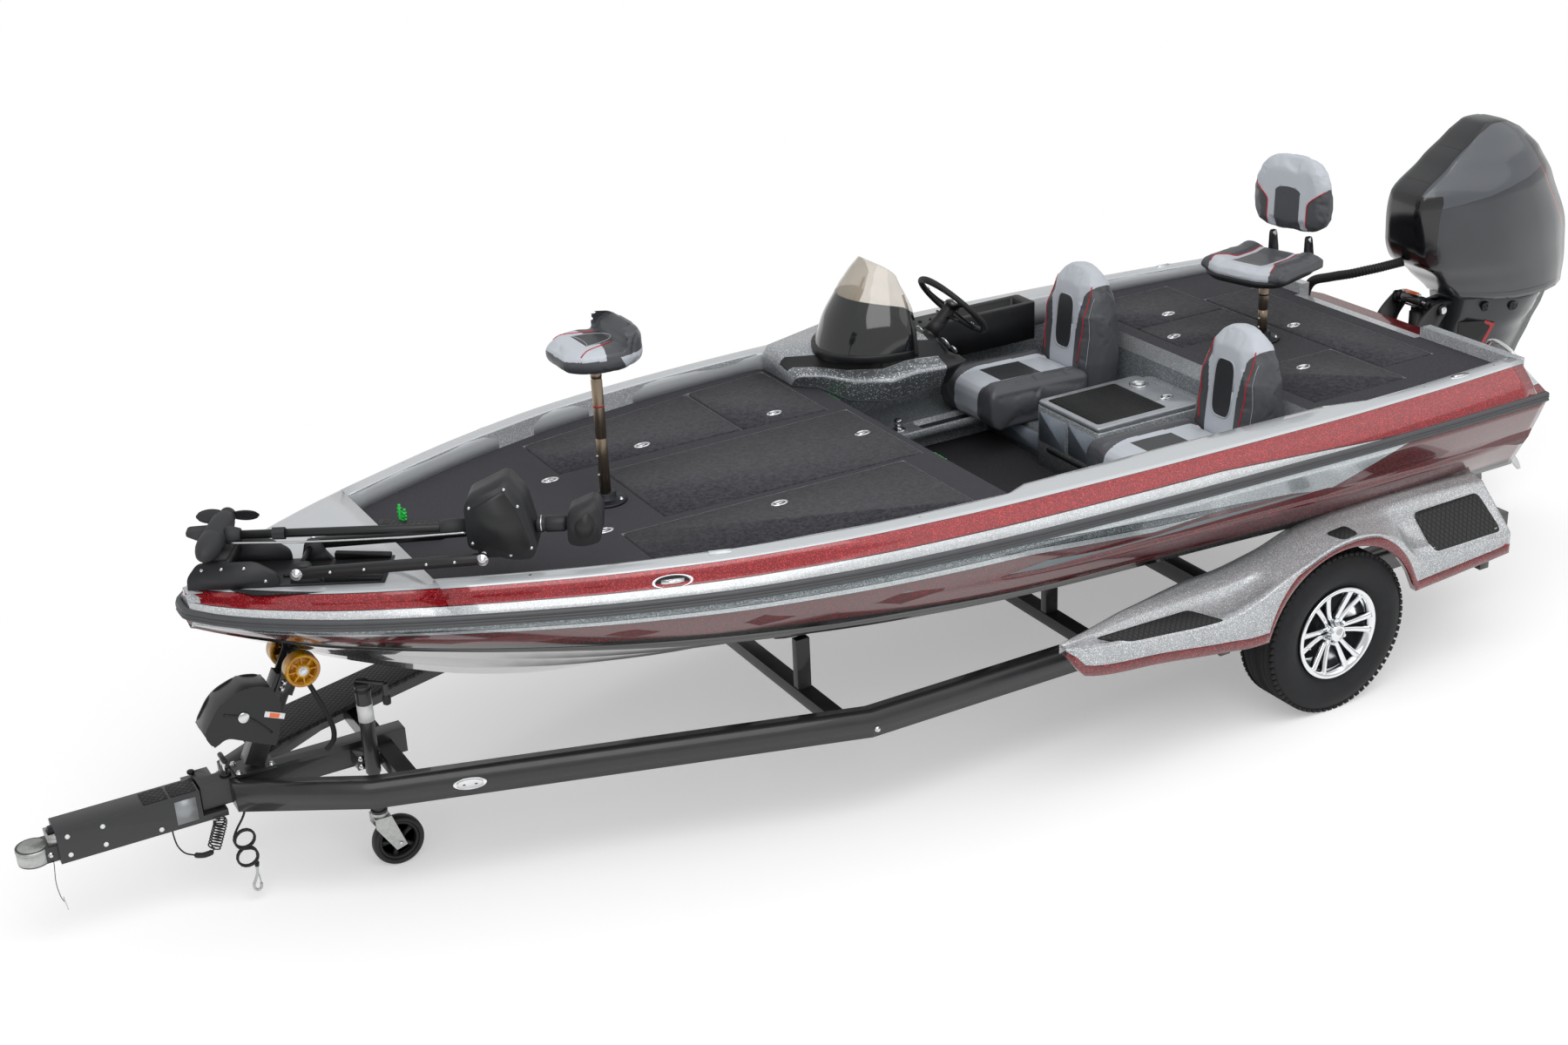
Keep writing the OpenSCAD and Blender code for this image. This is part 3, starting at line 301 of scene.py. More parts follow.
class Piece:  # a mesh piece that is put together from closed shapes
    def __init__(self, name, body, *materials):
        self.name, self.body = name, body
        self.materials = materials
        self.mesh = bmesh.new()

    def add(self, points, faces, finish=0, soft=True, place=None):
        spots = [self.mesh.verts.new(place @ Vector(p) if place else p) for p in points]
        made = []
        for f in faces:
            try:
                face = self.mesh.faces.new([spots[i] for i in f])
            except ValueError:
                continue
            face.material_index, face.smooth = finish, soft
            made.append(face)
        return made

    def soften(self, faces, width, steps=2, angle=0.5):
        edges = {e for f in faces for e in f.edges
                 if len(e.link_faces) == 2 and e.calc_face_angle(0) > angle}
        if width and edges:
            bmesh.ops.bevel(self.mesh, geom=list(edges), offset=width, segments=steps, profile=0.5,
                            affect="EDGES", clamp_overlap=True)

    def loft(self, rings, finish=0, closed=True, caps=True, soft=True, place=None):
        n = len(rings[0])
        points = [p for ring in rings for p in ring]
        faces = []
        for j in range(len(rings) - 1):
            for i in range(n if closed else n - 1):
                k = (i + 1) % n
                faces.append((j * n + i, j * n + k, (j + 1) * n + k, (j + 1) * n + i))
        if caps:
            faces.append(tuple(reversed(range(n))))
            faces.append(tuple((len(rings) - 1) * n + i for i in range(n)))
        return self.add(points, faces, finish, soft, place)

    def box(self, low, high, finish=0, round=0.002, place=None, steps=2):
        (x0, y0, z0), (x1, y1, z1) = low, high
        ring = lambda z: [(x0, y0, z), (x1, y0, z), (x1, y1, z), (x0, y1, z)]
        faces = self.loft([ring(z0), ring(z1)], finish, place=place)
        self.soften(faces, round, steps)

    def prism(self, outline, z0, z1, finish=0, round=0.002, place=None, steps=2):
        faces = self.loft([[(x, y, z0) for x, y in outline], [(x, y, z1) for x, y in outline]], finish, place=place)
        self.soften(faces, round, steps)

    def slab(self, outline, y0, y1, finish=0, soft=False, round=0):  # an (x, z) outline in millimetres between two y
        faces = self.loft([[at(x, y, z) for x, z in outline] for y in (y0, y1)], finish, soft=soft)
        self.soften(faces, round)

    def turn(self, profile, place=None, finish=0, sides=32, soft=True):
        # profile: (radius, height) from one end to the other, about the local z axis
        rings = []
        for r, h in profile:
            rings.append([(max(r, 1e-5) * math.cos(2 * math.pi * k / sides),
                           max(r, 1e-5) * math.sin(2 * math.pi * k / sides), h) for k in range(sides)])
        return self.loft(rings, finish, place=place, soft=soft)

    def rod(self, a, b, r, finish=0, sides=20, edge=0.15):
        a, b = Vector(a), Vector(b)
        d = b - a
        place = Matrix.Translation(a) @ d.to_track_quat("Z", "Y").to_matrix().to_4x4()
        e = r * edge
        self.turn([(0, 0), (r - e, 0), (r, e), (r, d.length - e), (r - e, d.length), (0, d.length)], place, finish,
                  sides)

    def bolt(self, spot, along, r=0.009, finish=0):
        d = Vector(along).normalized()
        place = Matrix.Translation(Vector(spot)) @ d.to_track_quat("Z", "Y").to_matrix().to_4x4()
        self.turn([(0, -0.002), (r * 1.5, -0.002), (r * 1.5, r * 0.25), (r, r * 0.3), (r, r * 1.1),
                   (r * 0.8, r * 1.3), (0, r * 1.3)],
                  place, finish, 12)

    def tube(self, path, r, finish=0, sides=12, smooth=4, ends=True):
        points = curveThrough(path, smooth) if smooth else [Vector(p) for p in path]
        rings, normal = [], None
        for i, p in enumerate(points):
            along = (points[min(i + 1, len(points) - 1)] - points[max(i - 1, 0)]).normalized()
            if normal is None:
                normal = along.orthogonal().normalized()
            normal = (normal - along * normal.dot(along)).normalized()
            other = along.cross(normal)
            radius = r(i / (len(points) - 1)) if callable(r) else r
            rings.append([p + (normal * math.cos(2 * math.pi * k / sides)
                               + other * math.sin(2 * math.pi * k / sides)) * radius
                          for k in range(sides)])
        self.loft(rings, finish, caps=ends)
        return points

    def done(self, slot, *replaced):
        bmesh.ops.recalc_face_normals(self.mesh, faces=self.mesh.faces)
        data = bpy.data.meshes.new(self.name)
        self.mesh.to_mesh(data)
        self.mesh.free()
        for m in self.materials:
            data.materials.append(finishes[m] if isinstance(m, str) else m)
        piece = bpy.data.objects.new(self.name, data)
        scene.collection.objects.link(piece)
        return settle(piece, self.body, slot, *replaced)


def settle(piece, body, slot, *replaced):
    if body:
        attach(piece, body)
    if replaced:
        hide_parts(*replaced)
    return piece


def curveThrough(path, steps=4):  # a smooth line through the points
    p = [Vector(v) for v in path]
    if len(p) < 3:
        return p
    out = []
    for i in range(len(p) - 1):
        a, b, c, d = p[max(i - 1, 0)], p[i], p[i + 1], p[min(i + 2, len(p) - 1)]
        for k in range(steps):
            t = k / steps
            out.append(0.5 * ((2 * b) + (c - a) * t + (2 * a - 5 * b + 4 * c - d) * t * t
                              + (3 * b - a - 3 * c + d) * t * t * t))
    out.append(p[-1])
    return out


def mirrored(half):  # a half outline closed by its mirror image
    return half + [(x, -y) for x, y in reversed(half[1:-1])]


def pathLength(points):
    return sum((b - a).length for a, b in zip(points, points[1:]))


# Cords come first: where they lie is in part.scad too
rigging = {"path": [(-1290, -470, 1125.5), (-1290, -470, 1165), (-1284, -440, 1212), (-1280, -395, 1244),
                    (-1290, -330, 1268), (-1302, -265, 1292), (-1316, -205, 1312), (-1345, -140, 1338),
                    (-1378, -90, 1358), (-1415, -52, 1375), (-1446, -28, 1386), (-1464, -18, 1391)],
           "split": 5, "radius": 0.023}


def makeRigging():
    points = [at(*p) for p in rigging["path"]]
    halves = (("riggingTubeFore", points[:rigging["split"] + 1], "boat_on_trailer", "engine_swivel",
               "rigging_tube_fore"),
              ("riggingTubeAft", points[rigging["split"]:], "engine_swivel", "engine_body", "rigging_tube_aft"))
    for name, path, first, second, node in halves:
        piece = Piece(name, None, "hoseBlack")
        line = curveThrough(path, 12)
        total = pathLength(line)
        # Fine corrugations along the sleeve
        ribs = lambda t: rigging["radius"] - 0.0012 + 0.0012 * math.cos(2 * math.pi * t * total / 0.012)
        fine = [line[0]]
        for a, b in zip(line, line[1:]):
            fine += [a.lerp(b, k / 3) for k in (1, 2, 3)]
        piece.tube(fine, ribs, 0, 20, 0)
        tube = piece.done("tube_black", node)
        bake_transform(tube)
        pathLength(fine)


makeRigging()


def makeCable(name, body, path, radius, replaced=(), sides=12,
              finish="hoseBlack"):
    cable = Piece(name, None, finish)
    cable.tube(path, radius, 0, sides, 0)
    cable = cable.done("tube_black", *replaced)
    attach(cable, body)
    pathLength(path)
    return cable


def turns(centre, across, radius, count, start, step, points=16, way=1):
    # A run of turns in the plane square to the way across, which drifts by step each turn
    a = Vector(across).normalized()
    u = Vector((0, 0, 1)) - a * a.z
    u = u.normalized() if u.length > 0.1 else Vector((1, 0, 0))
    w = a.cross(u)
    out = []
    for k in range(round(count * points) + 1):
        t = start + 2 * math.pi * k / points
        out.append(Vector(centre) + (u * math.cos(t) + w * way * math.sin(t)) * radius
                   + a * step * (k / points - count / 2))
    return out


coil = {"turns": 12, "radius": 0.0238, "ease": 9, "points": 14}  # ease: points over which the coil opens and closes


def makeTrailerCords():
    # Curly cable under the tongue, its plug and the thin wire that leaves it
    spine = curveThrough([at(4385, 45, 352), at(4388, 45, 330), at(4400, 45, 300), at(4412, 45, 270),
                          at(4424, 45, 240)], 30)
    last, points = coil["turns"] * coil["points"], []
    for k in range(last + 1):
        t = k / last * (len(spine) - 1)
        i = min(int(t), len(spine) - 2)
        p, d = spine[i].lerp(spine[i + 1], t - i), (spine[i + 1] - spine[i]).normalized()
        u = d.cross(Vector((0, 1, 0))).normalized()
        a = 2 * math.pi * k / coil["points"]
        r = coil["radius"] * min(1, math.sqrt(k / coil["ease"]), math.sqrt((last - k) / coil["ease"]))
        points.append(p + (u * math.cos(a) + Vector((0, 1, 0)) * math.sin(a)) * r)
    path = [at(4385, 45, 365.5), at(4385, 45, 360)] + points + [at(4427, 45, 232), at(4432, 45, 227)]
    plug = Piece("trailerPlug", None, "blackPlastic")
    plug.tube([at(4430, 45, 228), at(4440, 45, 224), at(4462, 45, 222), at(4484, 45, 228), at(4498, 45, 235)],
              lambda t: 0.006 + 0.0045 * smoothStep(t / 0.2) * smoothStep((1 - t) / 0.12), 0, 20, 6)
    for t in (4446, 4452, 4458, 4464):
        plug.tube([at(t, 45, 223), at(t + 3, 45, 222.6)], 0.0112, 0, 20, 0)
    plug = plug.done("black_plastic")
    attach(plug, "swing_tongue")
    makeCable("trailerCable", "swing_tongue", path, 0.0027, ("trailer_cable",))
    wire = curveThrough([at(4560, 45, 365.5), at(4560, 45, 340), at(4552, 45, 292), at(4530, 45, 254),
                         at(4497, 45, 234)], 10)
    makeCable("trailerWire", "swing_tongue", wire, 0.003)
    # Safety cable, hung up as two rings above its hook
    stem = curveThrough([at(4300, 100, 399.4), at(4301, 100, 392), at(4316, 103, 362), at(4344, 107, 325),
                         at(4360, 109, 296)], 5)
    upper = turns(at(4324, 120, 284), (0, 1, 0), 0.038, 2.25, math.pi / 2, 0.0095)
    lower = turns(at(4324, 120, 207), (0, 1, 0), 0.038, 2.25, 0, -0.0095, way=-1)
    tail = curveThrough([lower[-1], at(4287, 109.5, 186), at(4292, 110, 160)], 5)
    path = stem[:-1] + upper + lower[1:] + tail[1:]
    hook = Piece("safetyHook", None, "zinc", "darkMetal")
    hook.tube([at(4291.5, 110, 166), at(4294, 110, 150)], 0.0085, 1, 16, 0)
    hook.tube([at(4294, 110, 152), at(4297, 110, 120), at(4306, 110, 96), at(4316, 110, 74), at(4312, 110, 54),
               at(4300, 110, 48), at(4290, 110, 56), at(4288, 110, 72)], 0.0055, 0, 16, 8)
    hook.tube([at(4293, 106, 118), at(4289, 106, 96), at(4288, 108, 74)], 0.003, 0, 10, 6)
    hook = hook.done("zinc")
    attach(hook, "boat_on_trailer")
    makeCable("safetyCables", "boat_on_trailer", path, 0.0044,
              ("safety_cables",))
    # Thin wire of the coupler's pin
    wire = curveThrough([at(4985, 46, 384), at(4988, 58, 366), at(4994, 60, 300), at(4988, 58, 240),
                         at(4978, 56, 212)], 10)
    pin = Piece("couplerPin", None, "steel")
    pin.tube([at(4978, 56, 214), at(4974, 56, 196), at(4972, 56, 176)], 0.003, 0, 12, 4)
    pin.tube(turns(at(4978, 56, 222), (1, 0, 0), 0.009, 1, 0, 0), 0.0015, 0, 8, 0)
    pin = pin.done("polished_steel")
    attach(pin, "swing_tongue")
    makeCable("couplerWire", "swing_tongue", wire, 0.0014)


makeTrailerCords()
print("cords made")

# The hull's lines. Columns: x, half beam, rail height, cap height, chine y, chine z, keel z, in millimetres
hull = {"stations": [
    (-1420, 620, 1092, 30, 560, 722, 452), (-1250, 1105, 1095, 30, 930, 745, 442),
    (-1180, 1112, 1098, 140, 936, 748, 442), (-600, 1160, 1120, 128, 985, 780, 448),
    (0, 1188, 1140, 118, 1005, 800, 452), (700, 1195, 1155, 114, 1005, 830, 458),
    (1400, 1180, 1165, 111, 985, 850, 464), (2000, 1135, 1172, 108, 945, 885, 478),
    (2550, 1045, 1180, 104, 865, 928, 502), (3000, 910, 1184, 100, 735, 962, 552),
    (3350, 766, 1187, 96, 590, 990, 640), (3680, 610, 1190, 92, 430, 1020, 775),
    (3930, 470, 1192, 88, 300, 1048, 895), (4150, 310, 1194, 84, 165, 1085, 1015),
    (4290, 180, 1196, 80, 80, 1120, 1095), (4365, 80, 1197, 74, 30, 1142, 1135)],
    "railHalf": 22, "railOut": 20, "skin": 7, "coaming": 190, "carpetFront": 3650, "frontDeck": 1205,
    "rearDeck": 1190, "cockpit": (-150, 1400), "cockpitHalf": 940}


def hullAt(x):  # the station's columns at any x, as a smooth line without overshoot
    rows = hull["stations"]
    i = max(k for k in range(len(rows) - 1) if rows[k][0] <= x or k == 0)
    a, b = rows[i], rows[i + 1]
    h = b[0] - a[0]
    t = (x - a[0]) / h
    out = []
    for c in range(1, 7):
        slope = (b[c] - a[c]) / h

        def tangent(k):
            if k <= 2 or k >= len(rows) - 1:
                return slope
            left = (rows[k][c] - rows[k - 1][c]) / (rows[k][0] - rows[k - 1][0])
            right = (rows[k + 1][c] - rows[k][c]) / (rows[k + 1][0] - rows[k][0])
            return 0 if left * right <= 0 else 2 * left * right / (left + right)
        if i < 2:
            out.append(a[c] + (b[c] - a[c]) * t)
            continue
        m0, m1 = tangent(i) * h, tangent(i + 1) * h
        out.append((2 * t ** 3 - 3 * t * t + 1) * a[c] + (t ** 3 - 2 * t * t + t) * m0
                   + (3 * t * t - 2 * t ** 3) * b[c] + (t ** 3 - t * t) * m1)
    return out


def span(low, high, step):
    n = max(1, round((high - low) / step))
    return [low + (high - low) * k / n for k in range(n + 1)]


hullXs = [-1420, -1335, -1250, -1215, -1180] + span(-1100, 3900, 100) + span(3950, 4350, 50) + [4365]


def sideSection(x):  # keel to rail, as (y, z)
    beam, rail, _, cy, cz, keel = hullAt(x)
    out = hull["skin"]
    top = rail - hull["railHalf"]
    edge = beam - hull["railOut"]
    rise = cz - keel
    fade = smoothStep((3400 - x) / 900)
    points = [(0, keel - out)]
    for share, drop in ((0.34, 9), (0.68, 9)):  # two lifting strakes
        y, z = cy * share, keel + rise * share
        points += [(y - 26, z - rise * 26 / cy - out), (y, z - drop * fade - out), (y + 2, z + 1 - out)]
    points += [(cy - 34, cz - rise * 34 / cy - out), (cy + out, cz - 8 * fade - out), (cy + out + 1, cz + 2)]
    ledge = smoothStep((2100 - x) / 900) * smoothStep((x + 1250) / 500) * 16  # the bulge along the side
    lineAt = 0.42
    for t in (0.1, 0.22, 0.34, lineAt - 0.03, lineAt, lineAt + 0.05, 0.6, 0.75, 0.9, 1.0):
        bow = 4 * t * (1 - t) * 0.05 * (edge - cy)
        bulge = ledge * (smoothStep(t / 0.15) if t <= lineAt - 0.02 else 0.55 if t == lineAt else 0)
        points.append((cy + (edge - cy) * t + bow + out + bulge, cz + (top - cz) * t))
    return points


def skinPiece(name, rows, sheetOf, materials, slot, thick=0.002, both=True):
    # rows of points in millimetres from the axle, as an open skin with its own thickness
    mesh = bmesh.new()
    layer = mesh.loops.layers.uv.new("sheet")
    for side in ((1, -1) if both else (1,)):
        grid = [[mesh.verts.new(at(x, side * y, z)) for x, y, z in row] for row in rows]
        for j in range(len(rows) - 1):
            for i in range(len(rows[0]) - 1):
                corners = [(j, i), (j, i + 1), (j + 1, i + 1), (j + 1, i)]
                face = mesh.faces.new([grid[a][b] for a, b in corners])
                face.smooth = True
                for loop, (a, b) in zip(face.loops, corners):
                    loop[layer].uv = sheetOf(rows[a], b)
    bmesh.ops.remove_doubles(mesh, verts=mesh.verts, dist=0.0002)
    bmesh.ops.recalc_face_normals(mesh, faces=mesh.faces)
    data = bpy.data.meshes.new(name)
    mesh.to_mesh(data)
    mesh.free()
    for m in materials:
        data.materials.append(m)
    piece = bpy.data.objects.new(name, data)
    scene.collection.objects.link(piece)
    shell = piece.modifiers.new("shell", "SOLIDIFY")
    shell.thickness, shell.offset = thick, 0
    applyAll(piece)
    return settle(piece, "boat_on_trailer", slot)


def applyAll(piece):
    bpy.context.view_layer.update()
    seen = piece.evaluated_get(bpy.context.evaluated_depsgraph_get())
    piece.data = bpy.data.meshes.new_from_object(seen)
    piece.modifiers.clear()


def girth(row, i, start):  # metres along a row from its point start
    a, b = sorted((i, start))
    return sum(math.dist(row[k][1:], row[k + 1][1:]) for k in range(a, b)) / 1000


def makeSidePaint():
    b = Bench("sidePaint")
    x, v, _ = b.sheetPlace().parts()
    wedge = x.line(1.5, 0.2, 0, 0.13) + x.line(0.2, 0, 0, 0.04) - x.line(0, -0.39, 0, 0.17)
    teal = wedge + (x.line(4.3, 1.8, 0.030, 0.042) - x.line(0.9, 0.2, 0, 0.042))
    silver = teal + (x.line(4.3, 1.8, 0.022, 0.036) - x.line(0.9, 0.62, 0, 0.036))
    light, dark, low = v < wedge, v < teal, v < silver
    maroon = flakeColour(b, "4a0810", "d8202c", 0.14, 520)
    turnDark = x.line(4.3, 2.5, 0.13, 0.22) + x.line(2.5, 1.0, 0, 0.12)
    body = b.mix(v < turnDark, tint("0a090a"), maroon)
    silverChip = flakeColour(b, "b6c0c4", "ffffff", 0.35, 520)
    tealChip = flakeColour(b, "4e5a5f", "dfe8ea", 0.3, 520)
    stripes = b.mix(low, body, b.mix(dark, silverChip, b.mix(light, tealChip, silverChip)))
    # A thin dark line at each edge
    gap = abs(v - wedge) & abs(v - teal) & abs(v - silver)
    edge = (gap < 0.0022) * (v > 0.004) * (v < 0.3) * (x > -0.37)
    return b.finish(colour=b.mix(edge, stripes, tint("1c1416")), roughness=0.2, metal=low * 0.4 + 0.1, coat=1.0,
                    coatRoughness=0.03, normal=b.bump(b.cells(520)[1], 0.08, 0.0005))


def makeCapPaint():
    b = Bench("capPaint")
    x, v, _ = b.sheetPlace().parts()
    reach = x.line(0.6, -0.35, 2.2, 0.9)
    red = flakeColour(b, "85101a", "ff4a50", 0.22, 520)
    white = flakeColour(b, "c3c7ca", "ffffff", 0.35, 520)
    plain = b.mix(b.noise(500, 2), tint("b9bdc1"), tint("d4d7da"))
    low = v < reach
    topEdge = v > 5.4
    colour = b.mix(topEdge, b.mix(low, red, white), plain)
    edge = ((abs(v - 5.4) * 0.4) & (abs(v - reach) * 0.7)) < 0.05
    return b.finish(colour=b.mix(edge, colour, tint("4a1519")), roughness=0.25, metal=0.2, coat=1.0,
                    coatRoughness=0.04, normal=b.bump(b.cells(520)[1], 0.08, 0.0005))


def makeHull():
    rows = [[(x, y, z) for y, z in sideSection(x)] for x in hullXs]
    skinPiece("hullSkin", rows, lambda row, i: (row[i][0] / 1000, girth(row, i, len(row) - 1)), [makeSidePaint()],
              "hull_maroon")
    capRows = []
    for x in [v for v in hullXs if -1180 <= v <= hull["carpetFront"]]:
        beam, rail, cap, *_ = hullAt(x)
        edge, top = beam - hull["railOut"] + 3, rail + cap + 4
        inner = beam - hull["coaming"]
        floor = hull["frontDeck"] if x > 1400 else hull["rearDeck"]
        inside = min(smoothStep((x + 260) / 110), smoothStep((1510 - x) / 110))
        inner -= (inner - hull["cockpitHalf"]) * inside
        floor -= inside * 60
        points = [(edge, rail - 22), (edge, rail + 22), (edge - 22, rail + 22 + (cap - 36) * 0.33 + 2)]
        points += [(edge - 52, rail + 22 + (cap - 36) * 0.66 + 3), (edge - 55, rail + 22 + (cap - 36) * 0.70 + 1)]
        points += [(beam - 106, top - 13), (beam - 112, top - 6), (beam - 122, top - 1), (beam - 132, top + 1)]
        points += [((beam - 132 + inner) / 2, top + 3), (inner + 10, top + 1), (inner + 2, top - 4),
                   (inner - 3, top - 12), (inner - 5, (top + floor) / 2), (inner - 5, floor - 4)]
        capRows.append([(x, y, z) for y, z in points])
    sheet = lambda row, i: (row[i][0] / 1000, i)  # across, the lines' numbers: 0 at the rail, 5 at the crest
    paint = makeCapPaint()
    skinPiece("gunwaleSkin", capRows, sheet, [paint], "gunwale_silver")
    bowRows = []
    for x in [v for v in hullXs if v > hull["carpetFront"] - 60]:
        beam, rail, cap, *_ = hullAt(x)
        edge, top = beam - hull["railOut"] + 3, rail + cap + 4
        inner = max(beam - 132, 6)
        points = [(edge, rail - 22), (edge, rail + 22),
                  (max(edge - 22, inner + 10), rail + 22 + (cap - 36) * 0.33 + 2)]
        points += [(max(edge - 52, inner + 8), rail + 22 + (cap - 36) * 0.66 + 3)]
        points += [(max(edge - 55, inner + 7), rail + 22 + (cap - 36) * 0.7 + 1),
                   (max(beam - 106, inner + 5), top - 13), (max(beam - 118, inner + 3), top - 2), (inner, top + 1)]
        points += [(inner * 0.66, top + 2), (inner * 0.33, top + 3), (0, top + 3)]
        bowRows.append([(x, y, z) for y, z in points])
    skinPiece("bowCapSkin", bowRows, sheet, [paint], "gunwale_silver")
    # Rub rail with a ribbed insert
    rail = Piece("rubRail", "boat_on_trailer", "railGrey")
    h, o = hull["railHalf"] + 1, hull["railOut"] + 2
    section = [(-2, -h), (o * 0.7, -h + 3), (o, -h + 9), (o - 2, -8), (o - 4, -7), (o - 4, -2), (o - 1, -1),
               (o - 1, 3), (o - 4, 4), (o - 4, 8), (o - 1, 9), (o * 0.75, h - 3), (-2, h)]
    path = []
    for x in [v for v in hullXs if v >= -1250]:
        beam, z, *_ = hullAt(x)
        path.append((x, beam - hull["railOut"], z))
    path = path + [(4372, 40, 1197), (4373, 0, 1197)] + [(x, -y, z) for x, y,
                                                         z in reversed(path + [(4372, 40, 1197)])]
    rings = []
    for i, (x, y, z) in enumerate(path):
        a, c = path[max(i - 1, 0)], path[min(i + 1, len(path) - 1)]
        d = Vector((c[0] - a[0], c[1] - a[1], 0)).normalized()
        out = Vector((-d.y, d.x, 0))
        rings.append([at(x + out.x * u, y + out.y * u, z + v) for u, v in section])
    rail.loft(rings)
    rail.done("rail_grey", "rub_rail")


makeHull()
print("hull made")


def makeDeckZones():
    b = Bench("deckZones")
    x, _, z = b.place().parts()
    up = b.facingUp() > 0.8
    ax = x - axleX
    front = (z < 1.2062) * (ax > 1.38) * (ax < 3.66)
    rear = (z < 1.1912) * (ax > -1.185) * (ax < -0.1)
    carpet = ((front + rear) & 1.0) * up
    fibre = b.noise(420, 3)
    pile = b.mix(fibre.over(0.35, 0.75), tint("222226"), tint("55555c"))
    maroon = flakeColour(b, "5a0a13", "ff4a50", 0.15, 520)
    silver = flakeColour(b, "b2b6ba", "ffffff", 0.3, 520)
    stern = (ax < -1.245) | ((ax < -1.19) * (z < 1.15))
    body = b.mix(stern, silver, maroon)
    return b.finish(colour=b.mix(carpet, body, pile), roughness=0.3 + carpet * 0.6, metal=0.15 - carpet * 0.15,
                    coat=1 - carpet, normal=b.bump(fibre * carpet, 0.8, 0.0025))


def makeHullZones():
    b = Bench("hullZones")
    x, y, z = b.place().parts()
    ax = x - axleX
    inside = (ax > -0.16) * (ax < 1.405) * (abs(y) < 0.945)
    carpet = (z < 0.7615) * inside * (abs(y) < 0.695)
    fibre = b.noise(420, 3)
    pile = b.mix(fibre.over(0.35, 0.75), tint("141417"), tint("3c3c42"))
    grey = flakeColour(b, "767b80", "c9d0d3", 0.3, 420)
    lockers = b.mix(b.noise(300, 3), tint("3a3c3f"), tint("505256"))
    low = ax.line(1.4, 4.2, 0.86, 1.08)
    stripes = b.mix(z > low + 0.12, flakeColour(b, "4a0810", "d8202c", 0.14, 520), tint("7c868a"))
    skin = b.mix(z < low, stripes, tint("0a090a"))
    lockerSide = (b.facingUp() > 0.5) | ((abs(y) < 0.9) * (z > 0.745) * (ax < 2.9) * (z > low - 0.05))
    body = b.mix(inside, b.mix(lockerSide, skin, lockers), grey)
    return b.finish(colour=b.mix(carpet, body, pile), roughness=0.42 + carpet * 0.5,
                    normal=b.bump(fibre * carpet + b.noise(300, 2) * 0.1, 0.6, 0.002))


useOn(makeDeckZones(), "deck")
useOn(makeHullZones(), "boat_hull")


# Floor and light
def makeStage():
    size = view["floor"]
    data = bpy.data.meshes.new("studioFloor")
    data.from_pydata([(-size, -size, 0), (size, -size, 0), (size, size, 0), (-size, size, 0)], [], [(0, 1, 2, 3)])
    data.materials.append(makeFloorFinish())
    board = bpy.data.objects.new("studioFloor", data)
    board.location.z = -0.001
    scene.collection.objects.link(board)
    for name, power, size, spot in (("keyLight", view["key"], 8, (2.5, 5.5, 8.5)),
                                    ("fillLight", view["fill"], 9, (-5.5, 3.5, 7.5))):
        lamp = bpy.data.lights.new(name, "AREA")
        lamp.energy, lamp.size = power, size
        holder = bpy.data.objects.new(name, lamp)
        holder.location = spot
        holder.rotation_euler = (-Vector(spot)).to_track_quat("-Z", "Y").to_euler()
        scene.collection.objects.link(holder)
    world = bpy.data.worlds.new("studioWorld")
    scene.world = world
    world.use_nodes = True
    tree = world.node_tree
    sky = tree.nodes["Background"]
    seen = tree.nodes.new("ShaderNodeLightPath")
    white = tree.nodes.new("ShaderNodeBackground")
    white.inputs["Color"].default_value = (1, 1, 1, 1)
    sky.inputs["Color"].default_value = (1, 1, 1, 1)
    sky.inputs["Strength"].default_value = view["sky"]
    mix = tree.nodes.new("ShaderNodeMixShader")
    tree.links.new(seen.outputs["Is Camera Ray"], mix.inputs[0])
    tree.links.new(sky.outputs[0], mix.inputs[1])
    tree.links.new(white.outputs[0], mix.inputs[2])
    tree.links.new(mix.outputs[0], tree.nodes["World Output"].inputs[0])
    scene.view_settings.view_transform = "Standard"


def makeFloorFinish():
    b = Bench("floorWhite")
    b.finish(colour=(0.8, 0.8, 0.8, 1), roughness=0.9, specular=0.0)
    seen = b.node("LightPath", out="Is Camera Ray")
    glossy = Wire(b, seen.socket.node.outputs["Is Glossy Ray"])
    glow = b.node("Emission", None, {"Color": (1, 1, 1, 1), "Strength": view["floorGlow"]})
    bright = b.node("Emission", None, {"Color": (1, 1, 1, 1), "Strength": 1.0})
    near = b.node("AddShader", None, {0: Wire(b, b.shader.outputs[0]), 1: glow})
    x, y, _ = b.place().parts()
    far = ((x * x) * 0.35 + y * y).over(4.5, 14)
    both = b.node("MixShader", None, {0: far, 1: near, 2: bright})
    mix = b.node("MixShader", None, {0: seen | glossy, 1: Wire(b, b.shader.outputs[0]), 2: both})
    b.tree.links.new(mix.socket, b.tree.nodes["Material Output"].inputs["Surface"])
    return b.material


makeStage()
print("stage made")


def rounded(outline, r, steps=4):  # a plan outline with round corners, in millimetres
    out = []
    n = len(outline)
    for i, p in enumerate(outline):
        p = Vector(p)
        a, b = Vector(outline[i - 1]), Vector(outline[(i + 1) % n])
        cut = min(r, (a - p).length * 0.45, (b - p).length * 0.45)
        start, end = p + (a - p).normalized() * cut, p + (b - p).normalized() * cut
        for k in range(steps + 1):
            t = k / steps
            out.append((start * (1 - t) ** 2 + p * 2 * t * (1 - t) + end * t * t)[:])
    return out


def onAxle(outline):
    return [at(x, y, 0)[:2] for x, y in outline]


